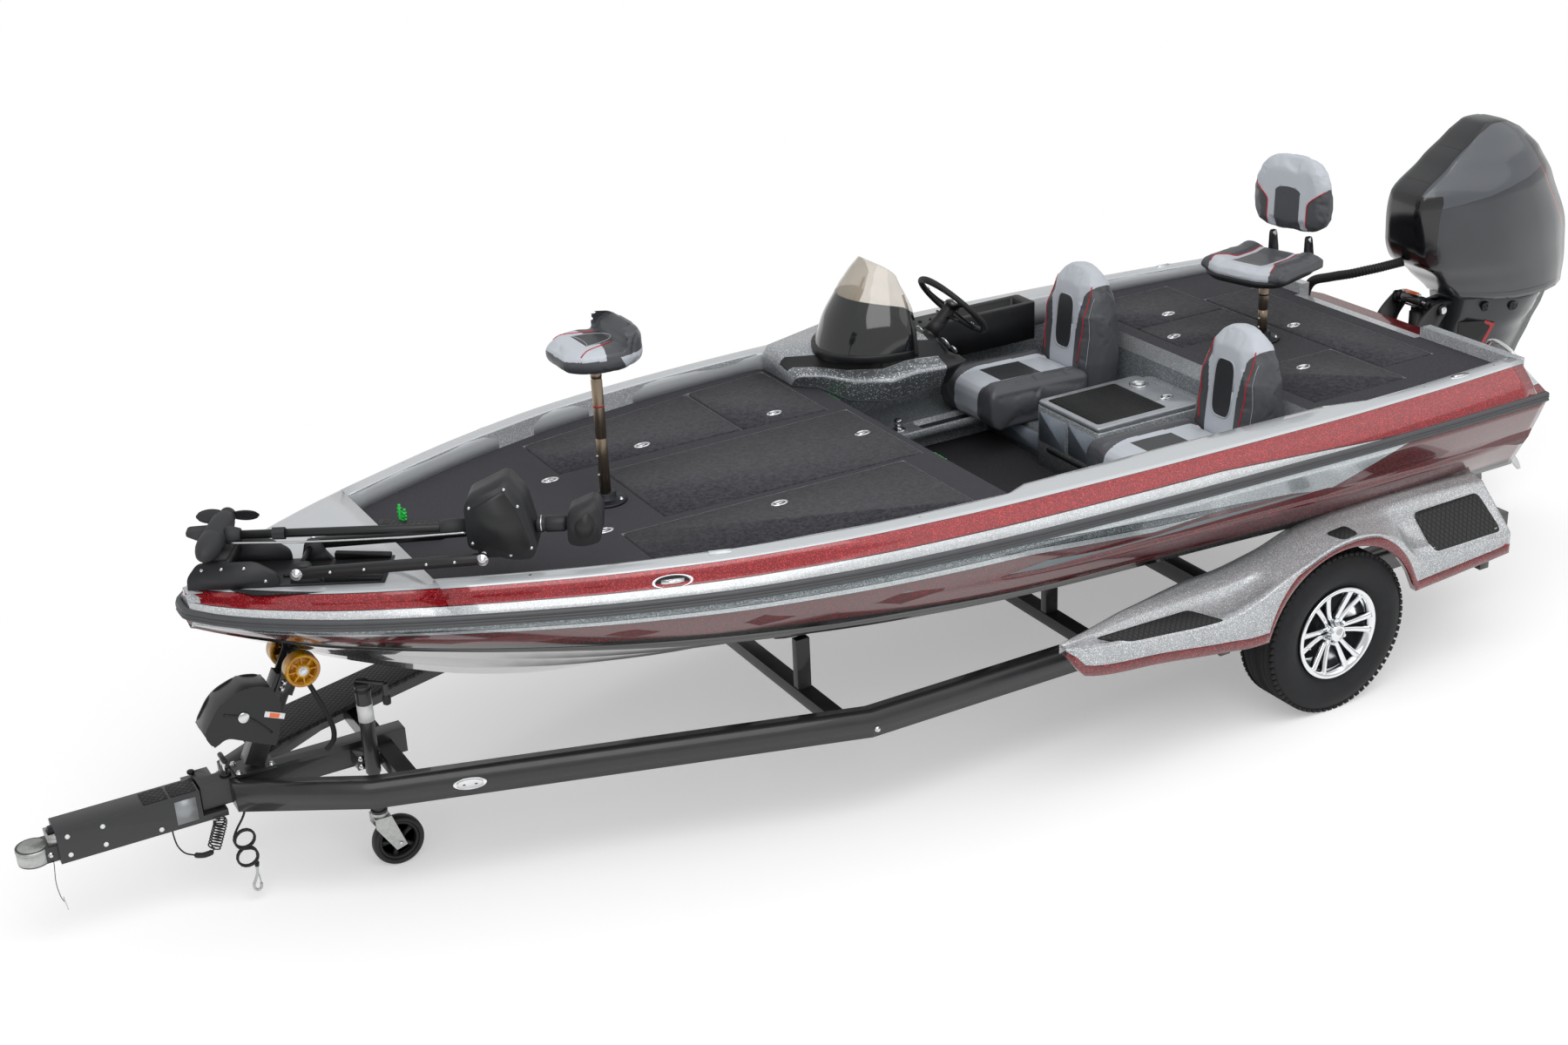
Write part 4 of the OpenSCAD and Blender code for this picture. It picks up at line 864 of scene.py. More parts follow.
# Deck lids. Each has its x ends, inner and outer y at both ends, deck height, body and latch places
lids = {"front_lid_port": ((1550, 2800), (330, 330), (830, 680), 1205, "hatch_front_port", [(2172, 421)]),
        "front_lid_starboard": ((1920, 2750), (-360, -360), (-875, -725), 1205, "hatch_front_starboard",
                                [(2341, -441)]),
        "front_lid_starboard_aft": ((1505, 1905), (-350, -360), (-930, -880), 1205, "hatch_front_starboard_aft",
                                    [(1711, -444)]),
        "front_lid_centre": ((1440, 2590), (300, 270), (-300, -270), 1205, "hatch_front_centre", [(1527, -23)]),
        "rear_lid_port": ((-745, -235), (295, 295), (755, 755), 1190, "hatch_rear_port", [(-486, 403)]),
        "rear_lid_starboard": ((-745, -235), (-445, -445), (-870, -870), 1190, "hatch_rear_starboard",
                               [(-481, -528)]),
        "rear_lid_centre": ((-745, -235), (-125, -125), (-435, -435), 1190, "hatch_rear_centre", [(-295, -255)]),
        "rear_lid_aft": ((-1060, -762), (600, 600), (-600, -600), 1190, "hatch_rear_aft", [(-835, -52)])}
lidLook = {"thick": 20, "corner": 22, "edge": 0.004, "latch": (38, 23, 5)}


def latch(piece, x, y, z, finish, dark, turned=0.0):
    a, b, h = lidLook["latch"]
    place = Matrix.Translation(at(x, y, z)) @ Matrix.Rotation(turned, 4,
                                                              "Z") @ Matrix.Diagonal((a / 1000, b / 1000, 0.001, 1))
    piece.turn([(0.3, -3), (1, -3), (1, h * 0.4), (0.93, h * 0.9), (0.85, h), (0.72, h * 0.9), (0.68, 1.2),
                (0.3, 1.0)],
               place, finish, 40)
    piece.turn([(0, 0.4), (0.69, 0.4), (0.69, 1.4), (0, 1.4)], place, dark, 32)
    piece.box((-0.46, -0.3, 1.2), (0.5, 0.3, h * 0.8), finish, 0, place)


def makeLids():
    for node, (xs, inner, outer, z, body, latches) in lids.items():
        outline = rounded([(xs[0], inner[0]), (xs[1], inner[1]), (xs[1], outer[1]), (xs[0], outer[0])],
                          lidLook["corner"])
        lid = Piece(node.replace("_", " ").title().replace(" ", ""), body, "carpet", "chrome", "blackPlastic",
                    "gelGrey")
        lid.prism(onAxle(outline), (z - lidLook["thick"] + 4) / 1000, (z + 1.5) / 1000, 0, lidLook["edge"], steps=3)
        across = 12 if inner[0] < outer[0] else -12
        lid.prism(onAxle(rounded([(xs[0] + 12, inner[0] + across), (xs[1] - 12, inner[1] + across),
                                  (xs[1] - 12, outer[1] - across), (xs[0] + 12, outer[0] - across)], 14)),
                  (z - lidLook["thick"]) / 1000, (z - lidLook["thick"] + 5) / 1000, 3, 0.001)
        for x, y in latches:
            latch(lid, x, y, z + 1.5, 1, 2, 0.1)
        lid.done("carpet", node)
    plates = Piece("deckPlates", "boat_on_trailer", "chrome", "blackPlastic")
    for x, y in ((2811, -317), (2844, 266)):
        latch(plates, x, y, 1206, 0, 1)
    plates.done("polished_steel")


makeLids()
print("lids made")

wheel = {"y": 1123, "radius": 359, "width": 225, "spokes": 6, "lugs": 6}


def makeWheels():
    for side, body, tyreNode, rimNode in ((1, "left_wheel", "tyre_left", "rim_left"),
                                          (-1, "right_wheel", "tyre_right", "rim_right")):
        hub = at(0, side * wheel["y"], wheel["radius"])
        place = Matrix.Translation(hub) @ Matrix.Rotation(-side * math.pi / 2, 4, "X") @ Matrix.Scale(0.001, 4)
        tyre = Piece("tyre" + ("Left" if side > 0 else "Right"), body, "tyreRubber")
        reach, w = wheel["radius"], wheel["width"] / 2
        face = [(196, 79), (206, 86), (214, 91), (222, 93), (226, 98), (250, 108), (280, w), (308, w - 1),
                (312, w - 3), (330, w - 8), (343, w - 16), (350, w - 22), (reach - 4, w - 27)]
        tread, sides = [], 120
        for k, y in enumerate((84, 60, 56, 34, 30, 6)):
            tread += [(reach, y), (reach - 9, y - 1)] if k % 2 == 0 else [(reach - 9, y + 1), (reach, y)]
        half = face + [(reach - 1, w - 29)] + [p for p in tread if p[1] > 6]
        profile = half + [(reach, 5), (reach - 9, 4), (reach - 9, -4),
                          (reach, -5)] + [(r, -h) for r, h in reversed(half)] + [(200, -74), (200, 74)]
        rings = [[(r * math.cos(2 * math.pi * k / sides), r * math.sin(2 * math.pi * k / sides), h)
                  for k in range(sides)]
                 for r, h in profile + profile[:1]]
        tyre.loft(rings, caps=False, place=place)
        bmesh.ops.remove_doubles(tyre.mesh, verts=tyre.mesh.verts, dist=0.00001)
        # Shoulder lugs
        for k in range(72):
            a = 2 * math.pi * (k + 0.5) / 72
            turned = place @ Matrix.Rotation(a, 4, "Z")
            for s in (1, -1):
                ys = sorted((s * (w - 14), s * 87))
                tyre.box((reach - 14, -10.5, ys[0]), (reach - 0.4, 10.5, ys[1]), 0, 1.6, turned, 1)
        tyre.done("tyre_rubber", tyreNode)
        rim = Piece("rim" + ("Left" if side > 0 else "Right"), body, "chrome", "darkMetal", "steel")
        rim.turn([(150, -88), (200, -92), (200, -80), (190, -74), (186, -40), (186, 60), (190, 76), (200, 84),
                  (206, 92),
                  (206, 101), (200, 105), (190, 103), (182, 94), (176, 80), (172, 60), (172, -70), (150, -74),
                  (150, -88)],
                 place, 0, 96)
        rim.turn([(0, -60), (150, -60), (172, -50), (172, -44), (150, -46), (0, -46)], place, 1, 64)
        rim.turn([(0, -84), (70, -84), (74, -60), (66, 30), (60, 40), (0, 40)], place, 1, 48)
        for k in range(wheel["spokes"]):
            for lean in (-1, 1):
                turned = place @ Matrix.Rotation(2 * math.pi * k / wheel["spokes"], 4, "Z")
                rings = []
                for r, off, half, low, high in ((34, 11, 9, 40, 70), (70, 13, 10, 42, 74), (110, 19, 11, 52, 82),
                                                (150, 27, 12, 66, 92), (174, 33, 13, 78, 98), (186, 36, 14, 84, 101)):
                    o = off * lean
                    rings.append([(r, o - half, low), (r, o + half, low), (r, o + half, high - 4),
                                  (r, o + half - 4, high), (r, o - half + 4, high), (r, o - half, high - 4)])
                rim.loft(rings, 0, place=turned)
        for k in range(wheel["lugs"]):
            turned = place @ Matrix.Rotation(2 * math.pi * (k + 0.5) / wheel["lugs"], 4,
                                             "Z") @ Matrix.Translation((54, 0, 0))
            rim.turn([(0, 40), (13, 40), (13, 58), (10, 84), (8, 90), (0, 92)], turned, 0, 6, False)
        rim.turn([(0, 40), (38, 40), (38, 96), (35, 104), (30, 107), (27, 105), (24, 109), (0, 110)], place, 0, 40)
        rim.turn([(0, 70), (3.2, 70), (3.2, 100), (2, 102), (0, 102)], shifted(place, 150, 30, 0), 2, 12)
        rim.done("rim_chrome", rimNode)


def makeTyreRubber():
    b = Bench("tyreRubber")
    x, _, z = b.place().parts()
    dx, dz = x - axleX, z - wheel["radius"] / 1000
    turnAt = dx.sum("ARCTAN2", dz, dx)
    radius = (dx * dx + dz * dz).only("SQRT")
    sipes = (turnAt * 22.9).only("FRACT")
    slits = (sipes < 0.12) * (radius > 0.348)
    rings = (radius * 160).only("SINE") * (radius < 0.33)
    dust = b.noise(18, 4).over(0.35, 0.75)
    colour = b.mix(dust, tint("17181a"), tint("25262a"))
    # The slits in the tread are painted near black: painted shade inside cuts that are only a bump
    return b.finish(colour=b.mix(slits, colour, tint("060607")), roughness=0.62 + dust * 0.14, specular=0.35,
                    normal=b.bump(rings * 0.12 - slits * 1.0 + b.noise(500, 2) * 0.15, 0.5, 0.002))


finishes["tyreRubber"] = makeTyreRubber()
makeWheels()
print("wheels made")

# Fender stations. Columns: x, inner y, inner z, crease y, crease z, outer z, bottom z
fender = {"rows": [(1430, 1225, 722, 1240, 720, 716, 690), (1330, 1190, 715, 1215, 712, 690, 575),
                   (1000, 1090, 704, 1130, 700, 640, 528), (640, 1000, 690, 1080, 684, 606, 477),
                   (500, 1000, 698, 1095, 694, 640, 458), (300, 1000, 730, 1120, 735, 722, 458),
                   (60, 1000, 795, 1140, 800, 796, 458), (-100, 1030, 820, 1130, 812, 796, 458),
                   (-260, 1030, 822, 1110, 806, 735, 458), (-380, 1028, 820, 1090, 802, 620, 470),
                   (-500, 1024, 816, 1085, 798, 604, 478), (-760, 1012, 806, 1085, 788, 604, 495),
                   (-910, 1005, 798, 1085, 780, 604, 506)],
          "out": 1270, "arch": (20, 359, 410), "lip": 46}


def rowAt(rows, where, soft=0.8):  # the columns of a table at any place between its rows
    up = rows[-1][0] > rows[0][0]
    i = max([k for k in range(len(rows) - 1) if (rows[k][0] <= where) == up or rows[k][0] == where] or [0])
    a, b = rows[i], rows[i + 1]
    before, after = rows[max(i - 1, 0)], rows[min(i + 2, len(rows) - 1)]
    h = b[0] - a[0]
    t = min(max((where - a[0]) / h, 0), 1)
    out = []
    for c in range(1, len(a)):
        m0, m1 = [(q[c] - p[c]) / (q[0] - p[0]) * h * soft for p, q in ((before, b), (a, after))]
        out.append((2 * t ** 3 - 3 * t * t + 1) * a[c] + (t ** 3 - 2 * t * t + t) * m0
                   + (3 * t * t - 2 * t ** 3) * b[c] + (t ** 3 - t * t) * m1)
    return out


def makeFenderPaint():
    b = Bench("fenderPaint")
    v = b.sheetPlace().parts()[1]
    maroon = flakeColour(b, "5a0a13", "ff4a50", 0.15, 520)
    silver = flakeColour(b, "a9adb1", "ffffff", 0.38, 480)
    return b.finish(colour=b.mix(v < 0.5, silver, maroon), roughness=0.3, metal=0.25, coat=1.0, coatRoughness=0.04,
                    normal=b.bump(b.cells(480)[1], 0.1, 0.0005))


def fenderTop(x, y):  # the height of the fender's sloping face
    iy, iz, cy, cz, oz, _ = rowAt(fender["rows"], x)
    if y < cy:
        return iz + (cz - iz) * (y - iy) / max(cy - iy, 1)
    return cz + (oz - cz) * (y - cy) / (fender["out"] - cy)


def makeFenders():
    paint = makeFenderPaint()
    ax, az, ar = fender["arch"]
    xs = [-910, -900] + span(-880, 1300, 20) + [1340, 1380, 1428]
    for side in (1, -1):
        rows = []
        for x in xs:
            iy, iz, cy, cz, oz, low = rowAt(fender["rows"], x)
            f = fender["out"]
            if abs(x - ax) < ar:
                low = max(low, az + math.sqrt(ar * ar - (x - ax) ** 2))
            low = min(low, oz - 14)
            lip = min(low + fender["lip"], oz - 8)
            # A shallow pressed panel between the crease and the outer edge
            dip = 9 * smoothStep((abs(x - 20) - 330) / 60) * smoothStep((1290 - x) / 120) * smoothStep((x + 870) / 60)
            points = [(f - 34, low + 2), (f - 3, low), (f, low + 3), (f + 1, lip - 2), (f - 1, lip), (f - 1, oz - 9),
                      (f - 5, oz)]
            points += [(f - 14, oz + (cz - oz) * 0.06 + 2)]
            points += [(f + (cy - f) * t, oz + (cz - oz) * t - dip * (1 if 0.2 < t < 0.8 else 0))
                       for t in (0.14, 0.2, 0.24, 0.76, 0.8, 0.88)]
            points += [(cy + 4, cz + 1), (cy - 6, cz + 2), ((iy + cy) / 2, (iz + cz) / 2 + 4), (iy + 4, iz),
                       (iy, iz - 6), (iy, iz - 40)]
            rows.append([(x, side * y, z) for y, z in points])
        sheet = lambda row, i: (row[i][0] / 1000, 0.0 if i < 4 else 1.0)
        tag = "Left" if side > 0 else "Right"
        skin = skinPiece("fenderSkin" + tag, rows, sheet, [paint], "fender_silver", 0.004, False)
        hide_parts("fender_" + tag.lower())
        extra = Piece("fenderFittings" + tag, "boat_on_trailer", "tread", "chrome", "orangeLens",
                      "redPlastic", "maroonFlake")
        pads = [[(1265, 1228), (760, 1168), (640, 1256), (1120, 1262)],
                [(-470, 1130), (-850, 1120), (-868, 1258), (-480, 1258)],
                [(52, 1160), (-58, 1160), (-58, 1244), (30, 1252)]]
        for outline in pads:
            spots = rounded(outline, 26, 5)
            under = [at(x, side * y, fenderTop(x, y) - 8) for x, y in spots]
            over = [at(x, side * y, fenderTop(x, y) + 3) for x, y in spots]
            inner = [at(x * 0.97 + sum(p[0] for p in spots) / len(spots) * 0.03,
                        side * (y * 0.96 + sum(p[1] for p in spots) / len(spots) * 0.04), fenderTop(x, y) + 5) for x,
                        y in spots]
            extra.loft([under, over, inner], 0)
        # Closed ends, and marker lamps at the front of the arch and the rear
        for x, z, finish, w in ((585, 498, 2, 34), (-885, 545, 3, 20)):
            lamp = Matrix.Translation(at(x, side * (fender["out"] - 2), z)) @ Matrix.Rotation(-side * math.pi / 2, 4,
                                                                                              "X")
            lamp = lamp @ Matrix.Diagonal((w / 1000, 0.014, 0.001, 1))
            extra.turn([(0, 0), (1.15, 0), (1.15, 2.5), (1, 3), (1, 2), (0, 2)], lamp, 1, 36)
            extra.turn([(0, 2), (0.9, 2), (0.8, 3.6), (0, 4)], lamp, finish, 36)
        iy, iz, cy, cz, oz, low = rowAt(fender["rows"], -910)
        rear = [at(-910, side * y, z) for y,
                z in ((1005, 506), (fender["out"] - 2, 506), (fender["out"] - 2, oz), (cy, cz), (1005, iz))]
        extra.loft([rear, [p + Vector((0.006, 0, 0)) for p in rear]], 4, soft=False)
        extra.done("fender_silver")


makeFenders()
print("fenders made")


# Outboard engine. Cowl columns: z, front x, back x, front, middle and back share of the half width
engine = {"half": 275,
          "cowl": [(1185.3, -1724, -2352, .42, .93, .62), (1300, -1600, -2360, .46, .97, .62),
                   (1400, -1470, -2358, .48, 1.0, .60),
                   (1500, -1432, -2350, .46, 1.0, .58), (1720, -1432, -2262, .40, .90, .50),
                   (1850, -1600, -2185, .38, .72, .42),
                   (1950, -1735, -2080, .34, .52, .34), (2018, -1830, -1960, .28, .32, .26)],
          "leg": [(300, -1850, -2090, 12, 36), (480, -1830, -2150, 20, 46), (700, -1790, -2170, 34, 66),
                  (820, -1770, -2215, 50, 92),
                  (960, -1735, -2275, 70, 140), (1080, -1725, -2325, 92, 205), (1185, -1722, -2350, 110, 250)],
          "tilt": (-1580, 1170), "steer": -1668, "propeller": 312}


def makeCowlPaint():
    b = Bench("cowlPaint")
    x, y, z = b.place().parts()
    ax, side = x - axleX, abs(y)
    crease = z - (ax + 1.432) * -0.20
    upper = crease > 1.655
    nose = (ax > -1.52) * (side < 0.155) * (z < 1.73)
    slope = (z > 1.70) * (side < 0.088) * (ax > -2.02)
    seams = (abs(side - 0.088) < 0.0025) * (z > 1.70) * (ax > -2.02)
    seams = seams | ((abs(ax + 1.50) & abs(ax + 1.68)) < 0.0028) * slope
    seams = seams | (abs(z - 1.222) < 0.003) | (abs(crease - 1.655) < 0.0015) * 0.6
    back = z.line(1.40, 1.98, -2.335, -2.00)
    slot = (ax < back) * (side > 0.05) * (z > 1.45) * (z < 1.93)
    line = (abs(ax - back - 0.004) < 0.0035) * (z > 1.45) * (z < 1.80)
    shade = b.mix(b.noise(3, 2).over(0.3, 0.7), tint("303338"), tint("3a3d42"))
    shade = b.mix(upper, shade, tint("4d5157"))
    shade = b.mix(slope, shade, tint("1d1f22"))
    shade = b.mix(nose, shade, tint("0b0c0e"))
    shade = b.mix(slot, shade, tint("08090a"))
    shade = b.mix(line, shade, tint("c01520"))
    shade = b.mix(seams, shade, tint("050506"))
    return b.finish(colour=shade, roughness=0.3 + slope * 0.2 - nose * 0.2, coat=0.7, coatRoughness=0.08,
                    normal=b.bump(b.noise(900, 2) * 0.2 - seams - slot * 2.0, 0.5, 0.002))


def propeller(piece, place, hub, reach, blades, twist, chord, finish=0):
    # Cupped blades about the local z axis, in millimetres
    for k in range(blades):
        turned = place @ Matrix.Rotation(2 * math.pi * k / blades, 4, "Z")
        rings = []
        for s in range(9):
            t = s / 8
            r = hub * 0.9 + (reach - hub * 0.9) * t
            width = chord * math.sqrt(max(0.02, math.sin(math.pi * (0.22 + 0.76 * t)))) * (1 if t < 1 else 0.5)
            angle = twist * (1 - 0.45 * t)
            ring = []
            for u, w in ((-1, 0), (-0.6, 0.8), (0, 1), (0.6, 0.8), (1, 0), (0.6, -0.5), (0, -0.6), (-0.6, -0.5)):
                across, thick = u * width, w * 4.5 * (1.2 - t) + 0.06 * width * (1 - u * u)
                ring.append((r, across * math.cos(angle) - thick * math.sin(angle),
                             across * math.sin(angle) + thick * math.cos(angle)))
            rings.append(ring)
        piece.loft(rings, finish, place=turned)


def makeEngine():
    cowl = Piece("engineCowl", "engine_body", makeCowlPaint())
    wide, rings = engine["half"], []
    for z in span(1186, 2006, 20) + [2012, 2016.5, 2018]:
        front, back, f, m, r = rowAt(engine["cowl"], z, 0.7)
        close = {2012: 0.93, 2016.5: 0.72, 2018: 0.3}.get(z, 1)
        mid, long = (front + back) / 2, front - back
        half = [(front + 2, 0), (front, f * wide * 0.6), (front - 5, f * wide * 0.92), (front - 20, f * wide * 1.03),
                (mid + long * 0.30, wide * (f + (m - f) * 0.60)), (mid + long * 0.14, wide * (f + (m - f) * 0.93)),
                (mid, m * wide),
                (mid - long * 0.16, wide * (r + (m - r) * 0.96)), (mid - long * 0.32, wide * (r + (m - r) * 0.62)),
                (back + 26, r * wide * 1.02), (back + 5, r * wide * 0.86), (back, r * wide * 0.5), (back - 1, 0)]
        rings.append([at(mid + (x - mid) * close, y * close, z) for x, y in mirrored(half)])
    cowl.loft(rings)
    cowl.done("engine_black", "engine_cowl")
    # Leg: the section below the cowl down to the gearcase
    leg = Piece("engineLeg", "engine_body", "ironGrey", "blackPlastic", "redPlastic", "darkMetal", "steel")
    rings = []
    for z in span(300, 1166, 26) + [1176, 1183]:
        front, back, end, middle = rowAt(engine["leg"], z, 0.7)
        grow = 0.985 if z == 1183 else 1
        half = []
        for t in (0, 0.04, 0.12, 0.25, 0.4, 0.5, 0.62, 0.76, 0.9, 0.97, 1.0):
            y = middle * math.sin(math.pi * t) ** 0.75 if 0 < t < 1 else 0
            y = max(y, end * smoothStep(t / 0.04) * smoothStep((1 - t) / 0.03)) if z > 500 else y
            half.append((front + (back - front) * t, y * grow))
        rings.append([at(x, y, z) for x, y in mirrored(half)])
    leg.loft(rings)

    def legHalf(x, z):
        front, back, end, middle = rowAt(engine["leg"], z, 0.7)
        return max(middle * math.sin(math.pi * min(max((x - front) / (back - front), 0), 1)) ** 0.75, end)
    for s in (1, -1):
        for x, r in ((-1850, 26), (-1965, 27)):
            y = legHalf(x, 1140) + 2
            place = stand(x, s * (y - 8), 1140, -s * 1.75, "X")
            leg.turn([(0, 0), (r, 0), (r, 9), (r - 4, 13), (r - 8, 13), (r - 9, 8), (r * 0.45, 8), (r * 0.4, 13),
                      (0, 14)], place, 1, 36)
        # Side recess with its red edge
        outline = [(-1750, 1060), (-1860, 1060), (-1905, 1040), (-1888, 850), (-1790, 850)]
        for grow, finish, pts in ((3, 1, outline), (5, 2, [(-1862, 1064), (-1912, 1044), (-1893, 846), (-1880, 846),
                                                           (-1894, 1034), (-1866, 1048)])):
            a = [at(x, s * (legHalf(x, z) - 8), z) for x, z in pts]
            c = [at(x, s * (legHalf(x, z) + grow), z) for x, z in pts]
            leg.loft([a, c], finish, soft=False)
    x0 = engine["steer"]
    leg.rod(at(x0, 0, 756), at(x0, 0, 1170), 0.0248, 4, 32)
    for z in (758, 1142):
        leg.prism(onAxle(rounded([(x0 + 34, -34), (x0 + 34, 34), (-1775, 58), (-1775, -58)], 18)),
                  z / 1000, (z + 28) / 1000, 3, 0.004)
    plate = mirrored([(-1762, 0), (-1800, 60), (-2080, 110), (-2230, 105), (-2258, 0)])
    leg.prism(onAxle(rounded(plate, 40)), 0.505, 0.516, 0, 0.004)
    place = stand(-1737, 0, engine["propeller"], -math.pi / 2, "Y")
    leg.turn([(0, 0), (16, 4), (30, 16), (44, 42), (54, 80), (60, 130), (62, 200), (62, 320), (58, 370), (54, 390),
              (0, 391)], place, 0, 40)
    leg.slab(((-1862, 300), (-2078, 300), (-2102, 132), (-2085, 126), (-2040, 126)), -6.5, 6.5, soft=True)
    leg.done("engine_iron", "engine_leg")
    screw = Piece("propeller", "engine_prop", "steel", "darkMetal")
    place = stand(-2129, 0, engine["propeller"], -math.pi / 2, "Y")
    screw.turn([(0, 2), (50, 2), (54, 8), (54, 120), (50, 146), (42, 148), (42, 100), (0, 100)], place, 0, 40)
    screw.turn([(0, 90), (22, 90), (22, 118), (0, 120)], place, 1, 6, False)
    propeller(screw, shifted(place, 0, 0, 72), 54, 183, 3, 0.75, 66)
    screw.done("polished_steel", "propeller")


def makeBrackets():
    tx, tz = engine["tilt"]
    hold = Piece("transomBracket", "boat_on_trailer", "satinBlack", "steel", "darkMetal", "hoseBlack")
    hold.box(at(-1435, -148, 802), at(-1421, 148, 1108), 0, 0.006)
    for s in (1, -1):
        outline = rounded([(-1430, 800), (-1430, 1105), (-1470, 1150), (-1545, 1205), (-1612, 1200), (-1622, 1150),
                           (-1560, 1080), (-1500, 820)], 26)
        hold.slab(outline, *sorted((s * 119, s * 135)), soft=True, round=0.003)
        for x, z in ((-1448, 850), (-1448, 930), (-1448, 1010), (-1448, 1080)):
            hold.bolt(at(x, s * 135, z), (0, s, 0), 0.010, 1)
        hold.rod(at(tx, s * 118, tz), at(tx, s * 152, tz), 0.027, 2, 28)
        hold.rod(at(tx, s * 150, tz), at(tx, s * 157, tz), 0.018, 1, 28)
        for z in (842, 1062):
            hold.bolt(at(-1419, s * 90, z), (1, 0, 0), 0.012, 1)
    hold.box(at(-1499, -116, 814), at(-1432, 116, 849), 0, 0.005)
    hold.rod(at(-1470, 60, 835), at(-1470, 96, 835), 0.02, 3)
    hold.done("black_metal", "transom_bracket")
    swing = Piece("swivelBracket", "engine_swivel", "satinBlack", "steel", "darkMetal", "orangeLens", "glossBlack")
    x0 = engine["steer"]
    swing.rod(at(tx, -114, tz), at(tx, 114, tz), 0.030, 0, 32)
    swing.rod(at(x0, 0, 791), at(x0, 0, 1139), 0.038, 0, 32)
    swing.box(at(x0 + 6, -58, 1092), at(tx, 58, 1136), 0, 0.008)
    swing.box(at(x0 + 10, -30, 855), at(tx + 38, 30, 1130), 0, 0.012)
    for s in (1, -1):
        swing.loft([[at(x, s * y, z) for y, z in ((24, 1136), (34, 1136), (34, 860), (24, 860))]
                    for x in (x0 + 20, tx - 4)], 0, soft=False)
    # Steering ram in front of the tilt tube
    swing.rod(at(tx + 58, -108, tz + 30), at(tx + 58, 108, tz + 30), 0.0095, 1, 20)
    swing.rod(at(tx + 58, -64, tz + 30), at(tx + 58, 64, tz + 30), 0.024, 4, 28)
    for s in (1, -1):
        swing.rod(at(tx + 58, s * 62, tz + 30), at(tx + 58, s * 72, tz + 30), 0.027, 2, 28)
        swing.rod(at(tx + 58, s * 100, tz + 30), at(tx + 58, s * 112, tz + 30), 0.017, 2, 24)
        swing.loft([[at(tx + 58 + u, s * 104 + v, z) for u, v in ((-12, -7), (12, -7), (12, 7), (-12, 7))]
                    for z in (tz, tz + 30)], 0)
        swing.loft([[at(x, s * 97 + v, tz + w) for v, w in ((0, -8), (14, -8), (14, 6), (0, 6))]
                    for x in (tx + 60, tx - 2)], 2)
        swing.rod(at(tx + 62, s * 52, tz + 52), at(tx + 62, s * 52, tz + 66), 0.008, 1, 12)
    swing.slab([(tx + 40 + u, tz + 58 + w) for u, w in ((0, 0), (26, 0), (26, 5), (0, 5))], -58, 30, 3)
    swing.rod(at(tx + 10, 96, tz - 40), at(tx + 60, 96, tz - 10), 0.016, 2, 20)
    swing.done("black_metal", "swivel_bracket")
    grip = Piece("sternHandle", "boat_on_trailer", "chrome")
    upper = [(-1320, 645, 1124.6), (-1300, 705, 1230), (-1300, 790, 1228), (-1300, 862, 1190), (-1300, 898, 1119)]
    lower = [(-1345, 655, 1124.6), (-1330, 735, 1172), (-1320, 795, 1155), (-1318, 812, 1124.8)]
    for path in (upper, lower):
        grip.tube([at(*p) for p in path], 0.0105, 0, 18, 8)
        for end in (path[0], path[-1]):
            grip.turn([(0, -2), (24, -2), (24, 2), (14, 6), (0, 7)], stand(end[0], end[1], 1126), 0, 28)
    grip.done("polished_steel", "stern_handle")


makeEngine()
makeBrackets()
print("engine made")


# Seats: upholstered shells whose covers are filled by a short cloth run
def seatVinyl():
    b = Bench("seatVinyl")
    part = b.node("Attribute", {"attribute_name": "zone"}, out=2)
    light, dark, black = tint("c3c8d0"), tint("4f5155"), tint("2f3134")
    grain = b.noise(700, 3)
    colour = b.mix(part > 0.5, light, dark)
    colour = b.mix(part > 1.5, colour, black)
    return b.finish(colour=b.mix(grain.over(0.3, 0.8) * 0.35, colour,
                                 b.mix(part > 0.5, tint("aeb3bb"), tint("3a3b3f"))),
                    roughness=0.42, coat=0.15, specular=0.4,
                    normal=b.bump(grain + b.noise(160, 2) * 0.4, 0.35, 0.0008))


# The covers: size of a mesh cell in metres, air pressure, cloth run in frames, and share filled with foam
padding = {"cell": 0.008, "pressure": 4.0, "frames": 20, "fill": 0.6}


